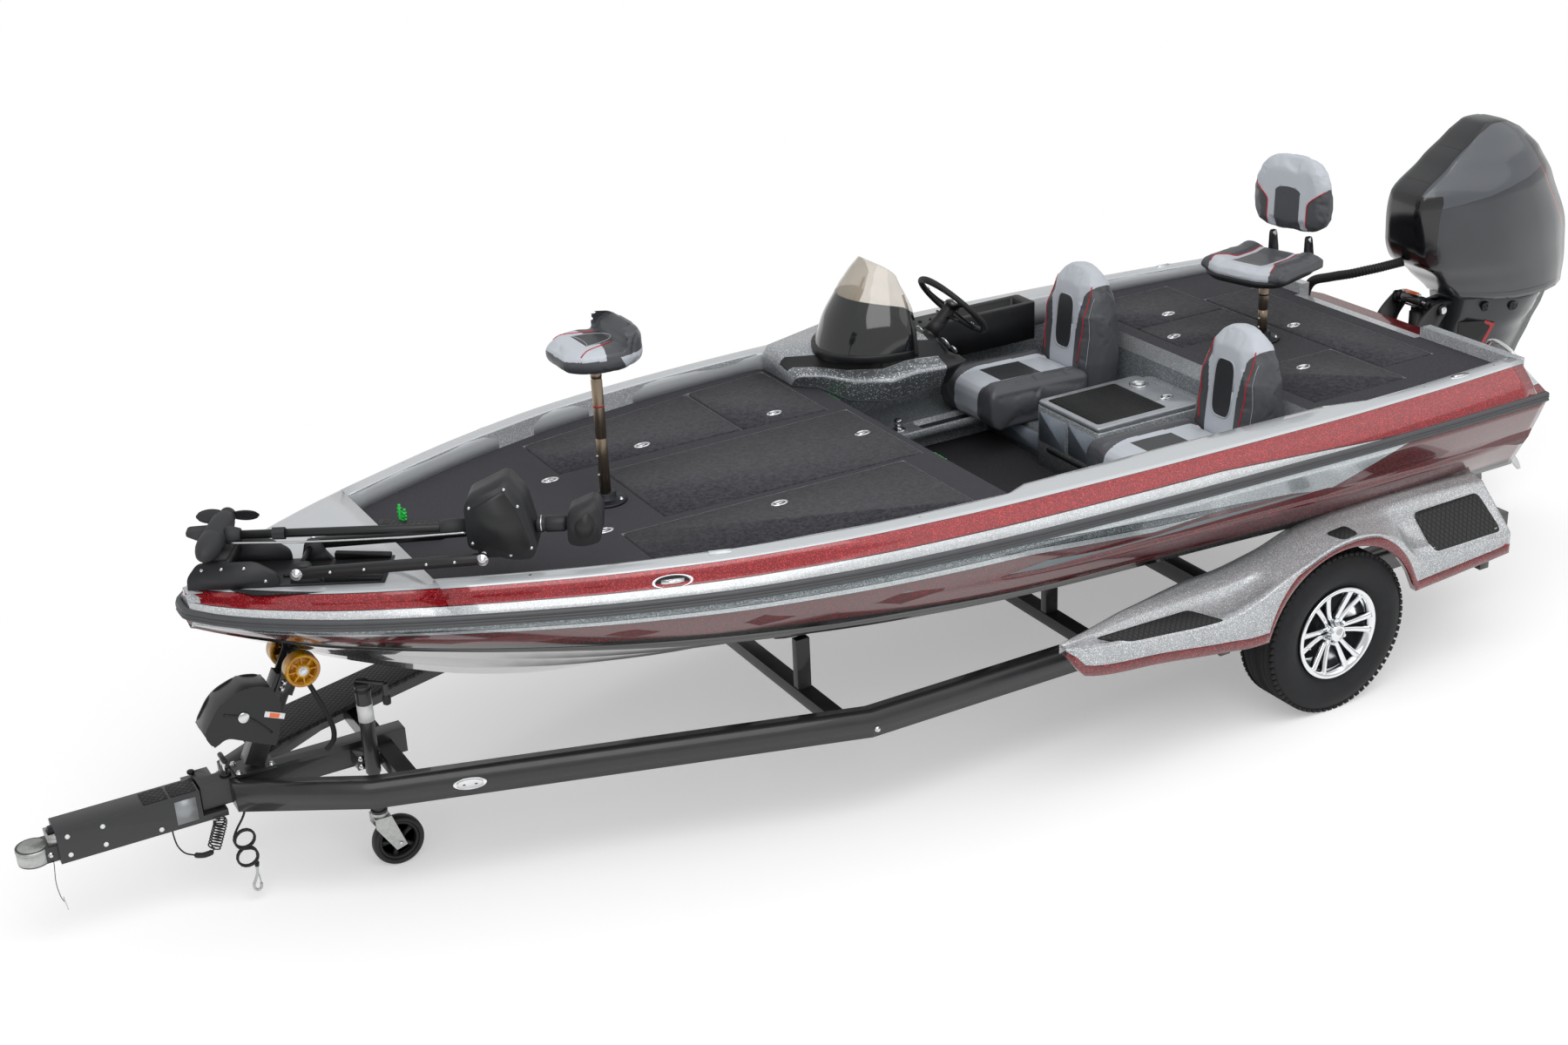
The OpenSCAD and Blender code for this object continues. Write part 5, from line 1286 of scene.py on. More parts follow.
def pad(name, body, slot, rings, zoneOf, place=None, pins=14, replaced=()):
    # rings of points in metres; zoneOf gives 0 light, 1 dark or 2 insert for a spot in the same numbers
    # pins: how far a point may move, in millimetres
    piece = Piece(name, None, "seatVinyl")
    for shape in (rings if isinstance(rings[0][0], list) else [rings]):
        piece.loft(shape, 0)
    bmesh.ops.recalc_face_normals(piece.mesh, faces=piece.mesh.faces)
    data = bpy.data.meshes.new(name)
    piece.mesh.to_mesh(data)
    piece.mesh.free()
    data.materials.append(finishes["seatVinyl"])
    cover = bpy.data.objects.new(name, data)
    scene.collection.objects.link(cover)
    remesh = cover.modifiers.new("remesh", "REMESH")
    remesh.mode, remesh.voxel_size, remesh.use_smooth_shade = "VOXEL", padding["cell"], True
    applyAll(cover)
    rest = [v.co.copy() for v in cover.data.vertices]
    cloth = cover.modifiers.new("cloth", "CLOTH")
    cloth.settings.quality = 5
    cloth.settings.mass = 0.3
    cloth.settings.tension_stiffness = cloth.settings.compression_stiffness = 22
    cloth.settings.shear_stiffness, cloth.settings.bending_stiffness = 12, 1.2
    cloth.settings.use_pressure = True
    cloth.settings.uniform_pressure_force = padding["pressure"]
    cloth.settings.effector_weights.gravity = 0
    cloth.collision_settings.use_collision = False
    cloth.point_cache.frame_start, cloth.point_cache.frame_end = 1, padding["frames"]
    for f in range(1, padding["frames"] + 1):
        scene.frame_set(f)
    applyAll(cover)
    scene.frame_set(1)
    # No point goes further than the cover can stretch
    for v, start in zip(cover.data.vertices, rest):
        move = v.co - start
        if move.length > pins / 1000:
            v.co = start + move * (pins / 1000 / move.length)
    smooth = cover.modifiers.new("smooth", "SUBSURF")
    smooth.levels = 1
    applyAll(cover)
    layer = cover.data.attributes.new("zone", "FLOAT", "POINT")
    for i, v in enumerate(cover.data.vertices):
        layer.data[i].value = zoneOf(v.co)
    cover.data.materials.clear()
    cover.data.materials.append(finishes["seatVinyl"])
    if place:
        cover.data.transform(place)
    for p in cover.data.polygons:
        p.use_smooth = True
    settle(cover, body, slot, *replaced)
    return cover


def onCover(cover, spots, aim, lift=0.001):
    # points dropped on a cover, in the direction given
    bpy.context.view_layer.update()
    tree = BVHTree.FromPolygons([v.co for v in cover.data.vertices], [p.vertices for p in cover.data.polygons])
    found = []
    for p in spots:
        hit, normal, _, _ = tree.ray_cast(Vector(p) - Vector(aim) * 0.4, Vector(aim))
        if hit:
            found.append(hit + normal * lift)
    return found


finishes["seatVinyl"] = seatVinyl()


cockpitSeat = {"apart": 560, "half": 222}  # middle of a seat from the boat's middle, and its half width


def makeCockpitSeats():
    wide = cockpitSeat["half"]
    cushion = [[120, 905.3], [620, 905.3], [648, 925], [662, 965], [664, 1030], [656, 1062], [636, 1082], [420, 1078],
               [120, 1068]]
    trim = Piece("cockpitPiping", "boat_on_trailer", "pipingRed", "stitch")
    for side in (1, -1):
        cy, tag = side * cockpitSeat["apart"], "Port" if side > 0 else "Starboard"
        rings = []
        for u in (-1.0, -0.97, -0.9, -0.62, -0.5, -0.42, 0, 0.42, 0.5, 0.62, 0.9, 0.97, 1.0):
            lift = 20 * smoothStep((abs(u) - 0.42) / 0.2) - 16 * smoothStep((abs(u) - 0.86) / 0.14)
            shrink = 8 if abs(u) == 1 else 3 if abs(u) > 0.96 else 0
            ring = []
            for x, z in cushion:
                top = z > 1000
                ring.append(at(x - (shrink if x > 600 else 0), cy + u * wide, z + (lift - shrink if top else 0)))
            rings.append(ring)

        def cushionZone(p):
            u = abs(p.y - cy / 1000) / (wide / 1000)
            x = (p.x - axleX) * 1000
            if 0.0 <= u < 0.40 and 300 < x < 520 and p.z > 1.04:
                return 2
            return 0 if u < 0.52 - 0.1 * smoothStep((x - 500) / 150) else 1
        seat = pad("cockpitCushion" + tag, "boat_on_trailer", "upholstery", rings, cushionZone, pins=10,
                   replaced=("seat_cushions",) if side > 0 else ())
        for s in (1, -1):
            spots = [at(x, cy + s * (wide * 0.52), 1100) for x in span(640, 140, 20)]
            line = onCover(seat, spots, (0, 0, -1), 0.0008)
            trim.tube(line, 0.0028, 0, 8, 0)
            line = onCover(seat, [at(x, cy + s * 160, 1100) for x in span(635, 200, 20)], (0, 0, -1), 0)
            trim.tube(line, 0.0011, 1, 6, 0)
        # Back: rings upwards, each a rounded outline
        outline = [(905.3, 186, 0), (976, 190, 0), (985, 216, 1), (1100, 222, 1), (1210, 217, 1), (1320, 203, 1),
                   (1400, 176, 1), (1460, 146, 1), (1500, 112, 1), (1522, 74, 1), (1530, 34, 1)]
        rings = []
        for z, half, _ in outline:
            front = 112 + (z - 905) * (0 if z < 1100 else -40 / 380 * (z - 1100) / (z - 905))
            back = -66 - 30 * smoothStep((z - 905) / 200) + 22 * smoothStep((z - 1250) / 260)
            rise = smoothStep((z - 1440) / 95)
            front, back = front - 32 * rise, back + 34 * rise
            ring = []
            for t, u in ((0, 0), (0, 0.35), (0, 0.52), (0.03, 0.7), (0.13, 0.88), (0.34, 0.99), (0.62, 1.0),
                         (0.85, 0.92), (0.97, 0.7), (1, 0.35), (1, 0)):
                wing = 14 * smoothStep((u - 0.52) / 0.2) * smoothStep((0.3 - t) / 0.2) * smoothStep((1420 - z) / 120)
                ring.append((front + (back - front) * t + wing, u * half))
            rings.append([at(x, cy + y, z) for x, y in mirrored(ring)])

        def backZone(p):
            y, z = abs(p.y - cy / 1000), p.z
            x = (p.x - axleX) * 1000
            if x < 20 and z < 1.44:
                return 1
            half = 0.088 + 0.02 * smoothStep((z - 1.2) / 0.2) + 0.06 * smoothStep((z - 1.40) / 0.09)
            if x > 20 and (y / 0.062) ** 4 + ((z - 1.27) / 0.125) ** 4 < 1:
                return 2
            return 0 if y < half else 1
        rest = pad("cockpitBack" + tag, "boat_on_trailer", "upholstery", rings, backZone, pins=9,
                   replaced=("seat_backs",) if side > 0 else ())
        for s in (1, -1):
            line = onCover(rest, [at(200, cy + s * (125 + 14 * math.sin(math.pi * (z - 1100) / 380)), z)
                                  for z in span(1100, 1450, 18)], (-1, 0, 0), 0.0008)
            trim.tube(line, 0.0028, 0, 8, 0)
            line = onCover(rest, [at(200, cy + s * 172 * (1 - 0.12 * smoothStep((z - 1200) / 200)), z)
                                  for z in span(1080, 1400, 20)], (-1, 0, 0), 0)
            trim.tube(line, 0.0011, 1, 6, 0)
        spots = []
        for k in range(49):
            a = 2 * math.pi * k / 48
            c, q = math.cos(a), math.sin(a)
            spots.append(at(200, cy + 62 * abs(c) ** 0.5 * (1 if c > 0 else -1),
                            1270 + 125 * abs(q) ** 0.5 * (1 if q > 0 else -1)))
        trim.tube(onCover(rest, spots, (-1, 0, 0), 0.001), 0.0035, 1, 8, 0)
    trim.done("upholstery")


makeCockpitSeats()
print("cockpit seats made")


def grow(outline, amount):  # a plan outline drawn towards its middle, in millimetres
    cx, cy = [sum(p[i] for p in outline) / len(outline) for i in (0, 1)]
    return [(x - amount * (x - cx) / max(abs(x - cx), 1) * min(1, abs(x - cx) / 40),
             y - amount * (y - cy) / max(abs(y - cy), 1) * min(1, abs(y - cy) / 40)) for x, y in outline]


def tray(piece, outer, inner, low, high, floor, finish=0, dark=1, place=None):
    # A moulded box with a recess in its top
    levels = [(outer, low), (outer, high - 5), (grow(outer, 1.5), high - 1.5), (grow(outer, 5), high), (inner, high),
              (grow(inner, 3), high - 3), (grow(inner, 6), floor)]
    rings = [[at(x, y, z) for x, y in line] for line, z in levels]
    faces = piece.loft(rings, finish, place=place)
    faces[-1].material_index = dark
    return faces


pedestals = {"bow": 2711, "rear": -597, "rearTurn": 14}  # where the poles stand, and how far the rear seat is turned


def makePedestals():
    for name, body, node, x, low, high in (("bowSeatPole", "boat_on_trailer", "bow_seat_pole", pedestals["bow"], 1205,
                                            561),
                                           ("rearSeatPole", "boat_on_trailer", "rear_seat_pole", pedestals["rear"],
                                            1190, 300)):
        pole = Piece(name, body, "bronze", "darkMetal", "redPlastic", "steel")
        place = stand(x, 0, low)
        pole.turn([(0, 0), (82, 0), (82, 7), (76, 11.5), (46, 12), (40, 16), (40, 36), (36, 40), (0, 40)], place, 1,
                  48)
        pole.turn([(0, 30), (22, 30), (22, high * 0.46), (20.5, high * 0.465), (20.5, high * 0.475),
                   (22, high * 0.48),
                   (22, high - 60), (20.6, high - 58), (20.6, high - 50), (22, high - 48), (22, high - 26),
                   (19, high - 24),
                   (19, high - 8), (21.5, high - 7), (21.5, high - 0.5), (0, high - 0.5)], place, 0, 40)
        pole.turn([(0, high * 0.7), (22.5, high * 0.7), (22.5, high * 0.7 + 7), (0, high * 0.7 + 7)], place,
                  2 if x > 0 else 1, 40)
        for k in range(4):
            a = math.pi / 4 + math.pi / 2 * k
            pole.bolt(at(x + 62 * math.cos(a), 62 * math.sin(a), low + 11.5), (0, 0, 1), 0.006, 3)
        for h in (0.2, 0.34):
            pole.bolt(at(x + 21, 0, low + high * h), (1, 0, 0), 0.0045, 3)
        pole.done("pole_bronze", node)


def makeBowSeat():
    x0 = pedestals["bow"]
    plate = Piece("bowSeatPlate", "bow_chair", "darkMetal", "steel", "blackPlastic")
    place = stand(x0, 0, 1766.6)
    plate.turn([(0, 0), (26, 0), (30, 3), (30, 9), (36, 11.4), (0, 11.4)], place, 2, 40)
    plate.prism(onAxle(rounded([(2631, -80), (2791, -80), (2791, 80), (2631, 80)], 16)), 1.7683, 1.7777, 0, 0.002)
    for a, c in ((1, 1), (1, -1), (-1, 1), (-1, -1)):
        plate.bolt(at(x0 + a * 62, c * 62, 1768.5), (0, 0, -1), 0.006, 1)
    plate.done("black_plastic", "bow_seat_plate")

    def outline(scale, squeeze=0):
        ring = []
        for k in range(40):
            a = 2 * math.pi * k / 40
            x, y = 186 * math.cos(a), 184 * math.sin(a)
            ring.append((x0 + max(min(x, 168 - squeeze), -166) * scale, y * scale))
        return ring
    base = [[at(x, y, z) for x, y in outline(s)] for z,
            s in ((1779, 0.62), (1786, 0.84), (1800, 0.97), (1822, 1), (1846, 0.99),
                                                            (1858, 0.93), (1863, 0.7))]
    rest = []
    for z, s, front in ((1820, 0.99, -60), (1855, 1, -62), (1890, 0.99, -74), (1915, 0.93, -92), (1927, 0.84, -108),
                        (1931, 0.7, -122)):
        arc = [(x0 - 166 * s if abs(y) < 80 else x0 - math.sqrt(max(182 ** 2 - y * y, 60 ** 2)) * s, y * s)
               for y in span(-172, 172, 22)]
        inner = [(x0 + front - 34 * smoothStep((abs(y) - 110) / 60) + 14, y * s * 0.99) for y in span(172, -172, 22)]
        rest.append([at(x, y, z) for x, y in arc + inner])

    def zone(p):
        x, y, z = (p.x - axleX) * 1000 - x0, p.y * 1000, p.z * 1000
        if z < 1836:
            return 1 if x > -60 + (z - 1790) * 0.6 else 0
        if x < -52 - 0.1 * abs(y):
            return 1
        if abs(y) < 70 and x < 60:
            return 2
        return 0 if x > -10 + abs(y) * 0.2 else 1
    seat = pad("bowSeatCushion", "bow_chair", "upholstery", [base, rest], zone, pins=8, replaced=("bow_seat",))
    trim = Piece("bowSeatPiping", "bow_chair", "pipingRed", "stitch")
    for s in (1, -1):
        trim.tube(onCover(seat, [at(x0 + x, s * (90 + x * 0.35), 2100) for x in span(-40, 150, 14)], (0, 0, -1),
                          0.0006), 0.0024, 0, 8, 0)
    ring = onCover(seat,
                   [at(x0 + 60 - 130 * abs(math.cos(a)) * (1 if math.cos(a) < 0 else 0.12), 70 * math.sin(a), 2100)
                          for a in [2 * math.pi * k / 36 for k in range(37)]], (0, 0, -1), 0.0004)
    trim.tube(ring, 0.0014, 1, 6, 0)
    trim.done("upholstery")


def makeRearSeat():
    x0, turned = pedestals["rear"], math.radians(pedestals["rearTurn"])
    place = stand(x0, 0, 1492, turned)
    hinge = Piece("rearSeatHinge", "stern_chair", "darkMetal", "steel", "blackPlastic")
    low = stand(x0, 0, 1490.3)
    hinge.turn([(0, 0), (30, 0), (30, 9.5), (0, 9.5)], low, 2, 40)
    hinge.box((-80, -80, 0.4), (80, 80, 9.8), 0, 1.5, place)
    for s in (1, -1):
        hinge.box((-228, s * 95 - 8, 0.4), (58, s * 95 + 8, 9.6), 0, 1.5, place)
        outline = rounded([(-165, 2), (-235, 2), (-232, 60), (-215, 140), (-205, 154), (-176, 154), (-168, 140),
                           (-166, 60)], 14)
        faces = hinge.loft([[(x, s * 95 + v, z) for x, z in outline] for v in (-5.8, 5.8)], 0, place=place)
        hinge.soften(faces, 1.2)
        pivot = shifted(place, -190, s * 95, 140, math.pi / 2)
        hinge.turn([(0, -12), (13, -12), (13, -6), (7.6, -5), (7.6, 5), (13, 6), (13, 12), (0, 12)], pivot, 1, 24)
    # Release lever below
    hinge.tube([place @ Vector(p) for p in ((-20, -60, 4), (-60, -110, -6), (-70, -150, -26), (-66, -176, -34))],
               0.0055, 2, 12, 6)
    hinge.done("black_metal", "rear_seat_hinge")
    rows = []
    for u in (-1, -0.96, -0.86, -0.7, -0.55, -0.45, 0, 0.45, 0.55, 0.7, 0.86, 0.96, 1):
        lift = 20 * smoothStep((abs(u) - 0.42) / 0.2) - 14 * smoothStep((abs(u) - 0.84) / 0.16)
        end = 250 - 46 * smoothStep((abs(u) - 0.3) / 0.7)
        low = 30 + 12 * smoothStep((abs(u) - 0.8) / 0.2)
        shape = [(-148, low + 4), (end - 60, low), (end - 8, low + 10), (end, low + 26), (end - 8, 82),
                 (end - 34, 92 + lift * 0.3), (100, 78 + lift),
                 (-40, 74 + lift), (-120, 84 + lift * 0.9), (-148, 80 + lift * 0.8)]
        rows.append([Vector((x, u * 220, z)) / 1000 for x, z in shape])

    def seatZone(p):
        x, y = p.x * 1000, abs(p.y) * 1000
        if y < 78 and -150 < x < 150:
            return 1
        return 0 if y < 100 + 60 * smoothStep((x - 60) / 120) else 1
    metres = Matrix.Translation(at(x0, 0, 1492)) @ Matrix.Rotation(turned, 4, "Z")
    seat = pad("rearSeatPad", "stern_chair", "upholstery", rows, seatZone, metres, pins=9,
               replaced=("rear_seat_cushion",))
    shell = Piece("rearSeatShell", "stern_chair", "blackPlastic", "pipingRed")
    pan = rounded([(-146, -190), (180, -206), (246, -120), (246, 120), (180, 206), (-146, 190)], 60, 6)
    faces = shell.loft([[(x * s, y * s, z) for x, y in pan] for z,
                        s in ((10.4, 0.8), (16, 0.93), (28, 0.985), (40, 1.0), (46, 0.99))], 0, place=place)
    for s in (1, -1):
        line = onCover(seat, [metres @ Vector((x / 1000, s * (0.100 + 0.060 * smoothStep((x - 60) / 120)), 0.3))
                              for x in span(-120, 225, 15)],
                       (0, 0, -1), 0.0007)
        shell.tube(line, 0.0026, 1, 8, 0)
    shell.done("black_plastic")
    # The folding back
    rings = []
    for z, half in ((176, 122), (186, 146), (205, 176), (240, 196), (290, 203), (350, 202), (405, 192), (450, 172),
                    (485, 142), (506, 106), (517, 60)):
        lean = (z - 173) / 347
        front, back = -150 - 13 * lean, -254 + 22 * lean
        thin = 16 * smoothStep((z - 470) / 50) + 10 * smoothStep((215 - z) / 45)
        front, back = front - thin, back + thin
        ring = []
        for t, u in ((0, 0), (0, 0.34), (0.02, 0.5), (0.0, 0.7), (0.06, 0.9), (0.3, 1.0), (0.7, 1.0), (0.95, 0.88),
                     (1, 0.6), (1, 0.3), (1, 0)):
            ring.append((front + (back - front) * t, u * half))
        rings.append([Vector((x, y, z)) / 1000 for x, y in mirrored(ring)])

    def backZone(p):
        y, z = abs(p.y) * 1000, p.z * 1000
        if p.x > -0.185 and y < 66 and z < 380 - 24 * (y / 66) ** 4:
            return 1
        edge = 104 + 100 * smoothStep((z - 300) / 110) if p.x > -0.21 else 230 if z > 390 else 104
        return 0 if y < edge else 1
    rest = pad("rearSeatBackPad", "stern_chair_back", "upholstery", rings, backZone, metres, pins=9,
               replaced=("rear_seat_back",))
    trim = Piece("rearSeatBackPiping", "stern_chair_back", "pipingRed", "stitch")
    aim = (metres.to_3x3() @ Vector((-1, 0, 0)))
    for s in (1, -1):
        spots = [metres @ Vector((0.0, s * (0.104 + 0.1 * smoothStep((z - 300) / 110)), z / 1000))
                 for z in span(205, 400, 12)]
        trim.tube(onCover(rest, spots, aim, 0.0007), 0.0026, 0, 8, 0)
        spots = [metres @ Vector((0.0, s * 0.066, z / 1000)) for z in span(200, 350, 14)]
        trim.tube(onCover(rest, spots, aim, 0.0004), 0.0013, 1, 6, 0)
    arc = [math.pi * k / 16 for k in range(17)]
    spots = [metres @ Vector((0.0, 0.066 * math.cos(a), 0.355 + 0.024 * math.sin(a))) for a in arc]
    trim.tube(onCover(rest, spots, aim, 0.0004), 0.0013, 1, 6, 0)
    trim.done("upholstery")


makePedestals()
makeBowSeat()
makeRearSeat()
print("pedestal seats made")

console = {"axis": (0.743, 0, -0.669), "wheel": (720, -560, 1465), "radius": 178}


def screenFinish(name, code, alpha, roughness=0.08):
    b = Bench(name)
    smoke = b.noise(5, 2).over(0.3, 0.7)
    dark = tuple(c * 0.8 for c in tint(code)[:3]) + (1,)
    return b.finish(colour=b.mix(smoke, tint(code), dark), roughness=roughness, alpha=alpha, coat=0.6,
                    coatRoughness=0.05, specular=0.7)


# Columns of the rows: height, front, half width, rear end
windshield = {"foot": 1338, "middle": -622, "rise": 0.72,
              "rows": [(1338, 1380, 262, 1050), (1480, 1330, 250, 1030), (1620, 1250, 200, 1020),
                       (1690, 1196, 168, 1028), (1750, 1140, 132, 1038)]}


def makeConsole():
    body = Piece("console", "boat_on_trailer", "gelGrey", "flakeGrey", "satinBlack", "blackPlastic", "steel",
                 "darkMetal", "glossBlack")

    def inner(x):
        return -335 if x < 1180 else -335 - 305 * (x - 1180) / 310
    lows = [(790, 1262), (870, 1172), (1300, 1152), (1400, 1206), (1490, 1206)]
    highs = [(790, 1300), (858, 1366), (1050, 1400), (1478, 1330), (1490, 1300)]
    flat = lambda rows, x: next((a[1] + (b[1] - a[1]) * (x - a[0]) / (b[0] - a[0]) for a,
                                 b in zip(rows, rows[1:]) if a[0] <= x <= b[0]), rows[-1][1])
    rings = []
    xs = [792, 800, 830, 860, 900, 980, 1060, 1140, 1180, 1240, 1298, 1340, 1398, 1402, 1440, 1470, 1484, 1489]
    for x in xs:
        low, high, side = flat(lows, x), flat(highs, x), inner(x)
        end = 10 if x in (792, 1489) else 3 if x in (800, 1484) else 0
        h = high - low
        ring = [(-938, low + end), (-938, high - 14), (-926, high - end), (side - 190, high - end),
                (side - 150, high - 14 - end),
                (side - 140, high - 22), (side - 78, high - h * 0.34), (side - 70, high - h * 0.36 + 4),
                (side - 8, high - h * 0.46),
                (side - end, high - h * 0.52), (side - 6 - end, high - h * 0.58), (side - 44, low + 10),
                (side - 52, low + end)]
        rings.append([at(x, y, z) for y, z in ring])
    faces = body.loft(rings, 0)
    n = 13
    for j in range(len(rings) - 1):
        for i, finish in ((4, 2), (5, 2), (7, 1), (9, 1), (10, 1)):
            faces[j * n + i].material_index = finish if xs[j] > 880 else 2
        if xs[j] < 880:
            for i in range(2, 12):
                faces[j * n + i].material_index = 2
    # Dash face with its gauges, keys and column
    axis = Vector(console["axis"])
    wheelAt = at(*console["wheel"])
    turned = Matrix.Translation(wheelAt) @ axis.to_track_quat("Z", "X").to_matrix().to_4x4()
    body.turn([(0, 0.012), (0.024, 0.012), (0.030, 0.03), (0.030, 0.10), (0.036, 0.115), (0.036, 0.16), (0, 0.164)],
              turned, 3, 32)
    body.tube([wheelAt + axis * 0.1, wheelAt + axis * 0.18 + Vector((0.02, 0, -0.02)), at(900, -560, 1310)], 0.034, 2,
              24, 6)
    for s in (1, -1):
        body.tube([wheelAt + axis * 0.06 + Vector((0, s * 0.03, 0)),
                   wheelAt + axis * 0.05 + Vector((-0.01, s * 0.085, -0.012))], 0.006, 3, 10, 0)
    for y, z, r in ((-460, 1335, 26), (-660, 1335, 26), (-400, 1320, 15), (-720, 1320, 15), (-770, 1325, 15)):
        gauge = stand(815 + (z - 1300) * 0.45, y, z, -1.1, "Y")
        body.turn([(0, 0), (r + 4, 0), (r + 4, 7), (r, 8), (r, 4), (0, 4)], gauge, 4, 28)
        body.turn([(0, 3), (r * 0.98, 3), (r * 0.98, 5), (0, 5)], gauge, 6, 28)
    # Front vent plate on the black side panel
    for k in range(5):
        x = 1030 + 44 * k
        y0, z0 = inner(x) - 112, flat(highs, x) - (flat(highs, x) - flat(lows, x)) * 0.19 - 12
        body.tube([at(x, y0 - 22, z0 + 22), at(x + 20, y0 + 26, z0 - 8)], 0.003, 5, 8, 0)
    # Tray beside the console's foot, with its chrome post
    tray(body, rounded([(560, -690), (1120, -690), (1120, -562), (560, -562)], 22),
         rounded([(580, -676), (880, -676), (880, -576), (580, -576)], 16), 870, 905, 880, 0, 3)
    post = stand(980, -625, 905)
    body.turn([(0, 0), (34, 0), (34, 4), (26, 7), (15, 8), (14, 26), (19, 28), (19, 50), (14, 54), (0, 55)], post, 4,
              36)
    body.done("moulding_grey", "console")
    screen = Piece("windshield", "boat_on_trailer", "smokedScreen", "tanScreen", "satinBlack")
    rows, foot, middle, rise = [windshield[k] for k in ("rows", "foot", "middle", "rise")]
    rings = []
    heights = span(foot, 1600, 24) + [1606] + span(1622, 1736, 19) + [1746, 1750]
    cut = len(span(foot, 1600, 24)) - 1
    for z in heights:
        front, half, end = rowAt(rows, z)
        line = []
        for k in range(25):
            a = math.pi * k / 24
            height = foot + (z - foot) * (rise + 0.26 * max(math.sin(a), 0) ** 0.4)
            line.append((end + (front - end) * math.sin(a) ** 0.85,
                         middle + half * math.cos(a) * (1 - 0.05 * math.sin(a)), height))
        near = [(end + (x - end) * (1 - 6 / max(front - end, 1)), middle + (y - middle) * (1 - 6 / half), h) for x, y,
                h in reversed(line)]
        rings.append([at(*p) for p in line + near])
    faces = screen.loft(rings, 0)
    n = len(rings[0])
    for j in range(cut, len(rings) - 1):
        for i in range(n):
            faces[j * n + i].material_index = 1
    faces[-1].material_index = 1
    # Dark band around the foot and the rear frames
    band = [(1050 + 332 * math.sin(math.pi * k / 24) ** 0.85, middle + 264 * math.cos(math.pi * k / 24))
            for k in range(25)]
    screen.loft([[at(x + u * 3, y, z) for x,
                  y in band + [(1050 + (x - 1050) * 0.93, middle + (y - middle) * 0.93) for x, y in reversed(band)]]
                 for z, u in ((1341, 0), (1372, 0), (1376, -1))], 2)
    for s in (1, -1):
        edge = [at(1042, middle + s * (rowAt(rows, z)[1] - 2), foot + (z - foot) * rise)
                for z in span(1350, 1700, 24)]
        screen.tube(edge, lambda t: 0.013 - 0.008 * t, 2, 12, 0)
    screen.done("smoked_screen", "windshield")
    # Steering wheel
    wheelPiece = Piece("steeringWheel", "helm_wheel", "wheelGrip", "darkMetal", "glossBlack", "steel")
    reach = console["radius"] / 1000
    rings = []
    for k in range(72):
        a = 2 * math.pi * k / 72
        fat = 0.015 + 0.0012 * math.cos(3 * a)
        rings.append([turned @ Vector(((reach + fat * math.cos(t)) * math.cos(a),
                                       (reach + fat * math.cos(t)) * math.sin(a), fat * 0.95 * math.sin(t)))
                      for t in [2 * math.pi * m / 16 for m in range(16)]])
    wheelPiece.loft(rings + rings[:1], 0, caps=False)
    bmesh.ops.remove_doubles(wheelPiece.mesh, verts=wheelPiece.mesh.verts, dist=0.00001)
    # Spokes: bent plates from the hub to the rim, with the wide part near the rim
    down = math.atan2(*(reversed((turned.inverted().to_3x3() @ Vector((0, 0, -1))).to_2d())))
    for k, lean in enumerate((0, 2.0, -2.0)):
        spoke = turned @ Matrix.Rotation(down + lean, 4, "Z")
        rings = []
        for r, w, h, t in ((20, 15, 14, 4), (70, 12, 12, 3.6), (120, 12, 6, 3.4), (165, 17, 0, 3.2), (176, 20, 0, 3)):
            rings.append([Vector((r, v, h + e)) / 1000 for v,
                          e in ((-w, -t), (w, -t), (w * 1.02, 0), (w, t), (-w, t), (-w * 1.02, 0))])
        wheelPiece.loft(rings, 1, place=spoke)
        for v in (-7, 7):
            wheelPiece.turn([(0, 0), (3, 0), (3, 4), (0, 4.6)], shifted(spoke, 0.15, v / 1000, -0.006, math.pi)
                            @ Matrix.Scale(0.001, 4), 3, 12)
    wheelPiece.turn([(0, -14), (20, -13), (34, -8), (38, 0), (38, 12), (30, 20), (0, 22)],
                    turned @ Matrix.Scale(0.001, 4), 2, 40)
    wheelPiece.turn([(24, -15.5), (27, -15.5), (27, -11), (24, -11)], turned @ Matrix.Scale(0.001, 4), 3, 40)
    wheelPiece.done("black_plastic", "steering_wheel")
    # Side console with the throttle
    side = Piece("sideConsole", "boat_on_trailer", "satinBlack", "blackPlastic", "steel", "glossBlack", "redPlastic")
    tray(side, rounded([(100, -939), (760, -939), (760, -790), (100, -790)], 16),
         rounded([(150, -912), (560, -912), (560, -814), (150, -814)], 14), 1120, 1300, 1200, 0, 1)
    hold = stand(680, -789, 1230, -math.pi / 2, "X")
    side.turn([(0, -2), (34, -2), (34, 6), (30, 12), (20, 15), (0, 16)], hold, 3, 40)
    side.tube([at(680, -770, 1230), at(668, -768, 1290), at(648, -766, 1345)], lambda t: 0.009 - 0.002 * t, 2, 16, 6)
    grip = stand(640, -768, 1338, -0.25, "Y")
    side.turn([(0, 0), (11, 0), (15, 8), (16, 26), (13, 36), (0, 39)], grip, 0, 24)
    side.box(at(690, -792, 1255), at(712, -787, 1277), 4, 0.001)
    for x in (600, 640, 700):
        side.turn([(0, 0), (9, 0), (9, 5), (6, 8), (0, 8)], stand(x, -865, 1300), 1, 20)
    side.done("black_plastic", "side_console")


finishes["smokedScreen"] = screenFinish("smokedScreen", "17191b", 0.93)
finishes["tanScreen"] = screenFinish("tanScreen", "cfc2ae", 0.42)
makeConsole()
print("console made")


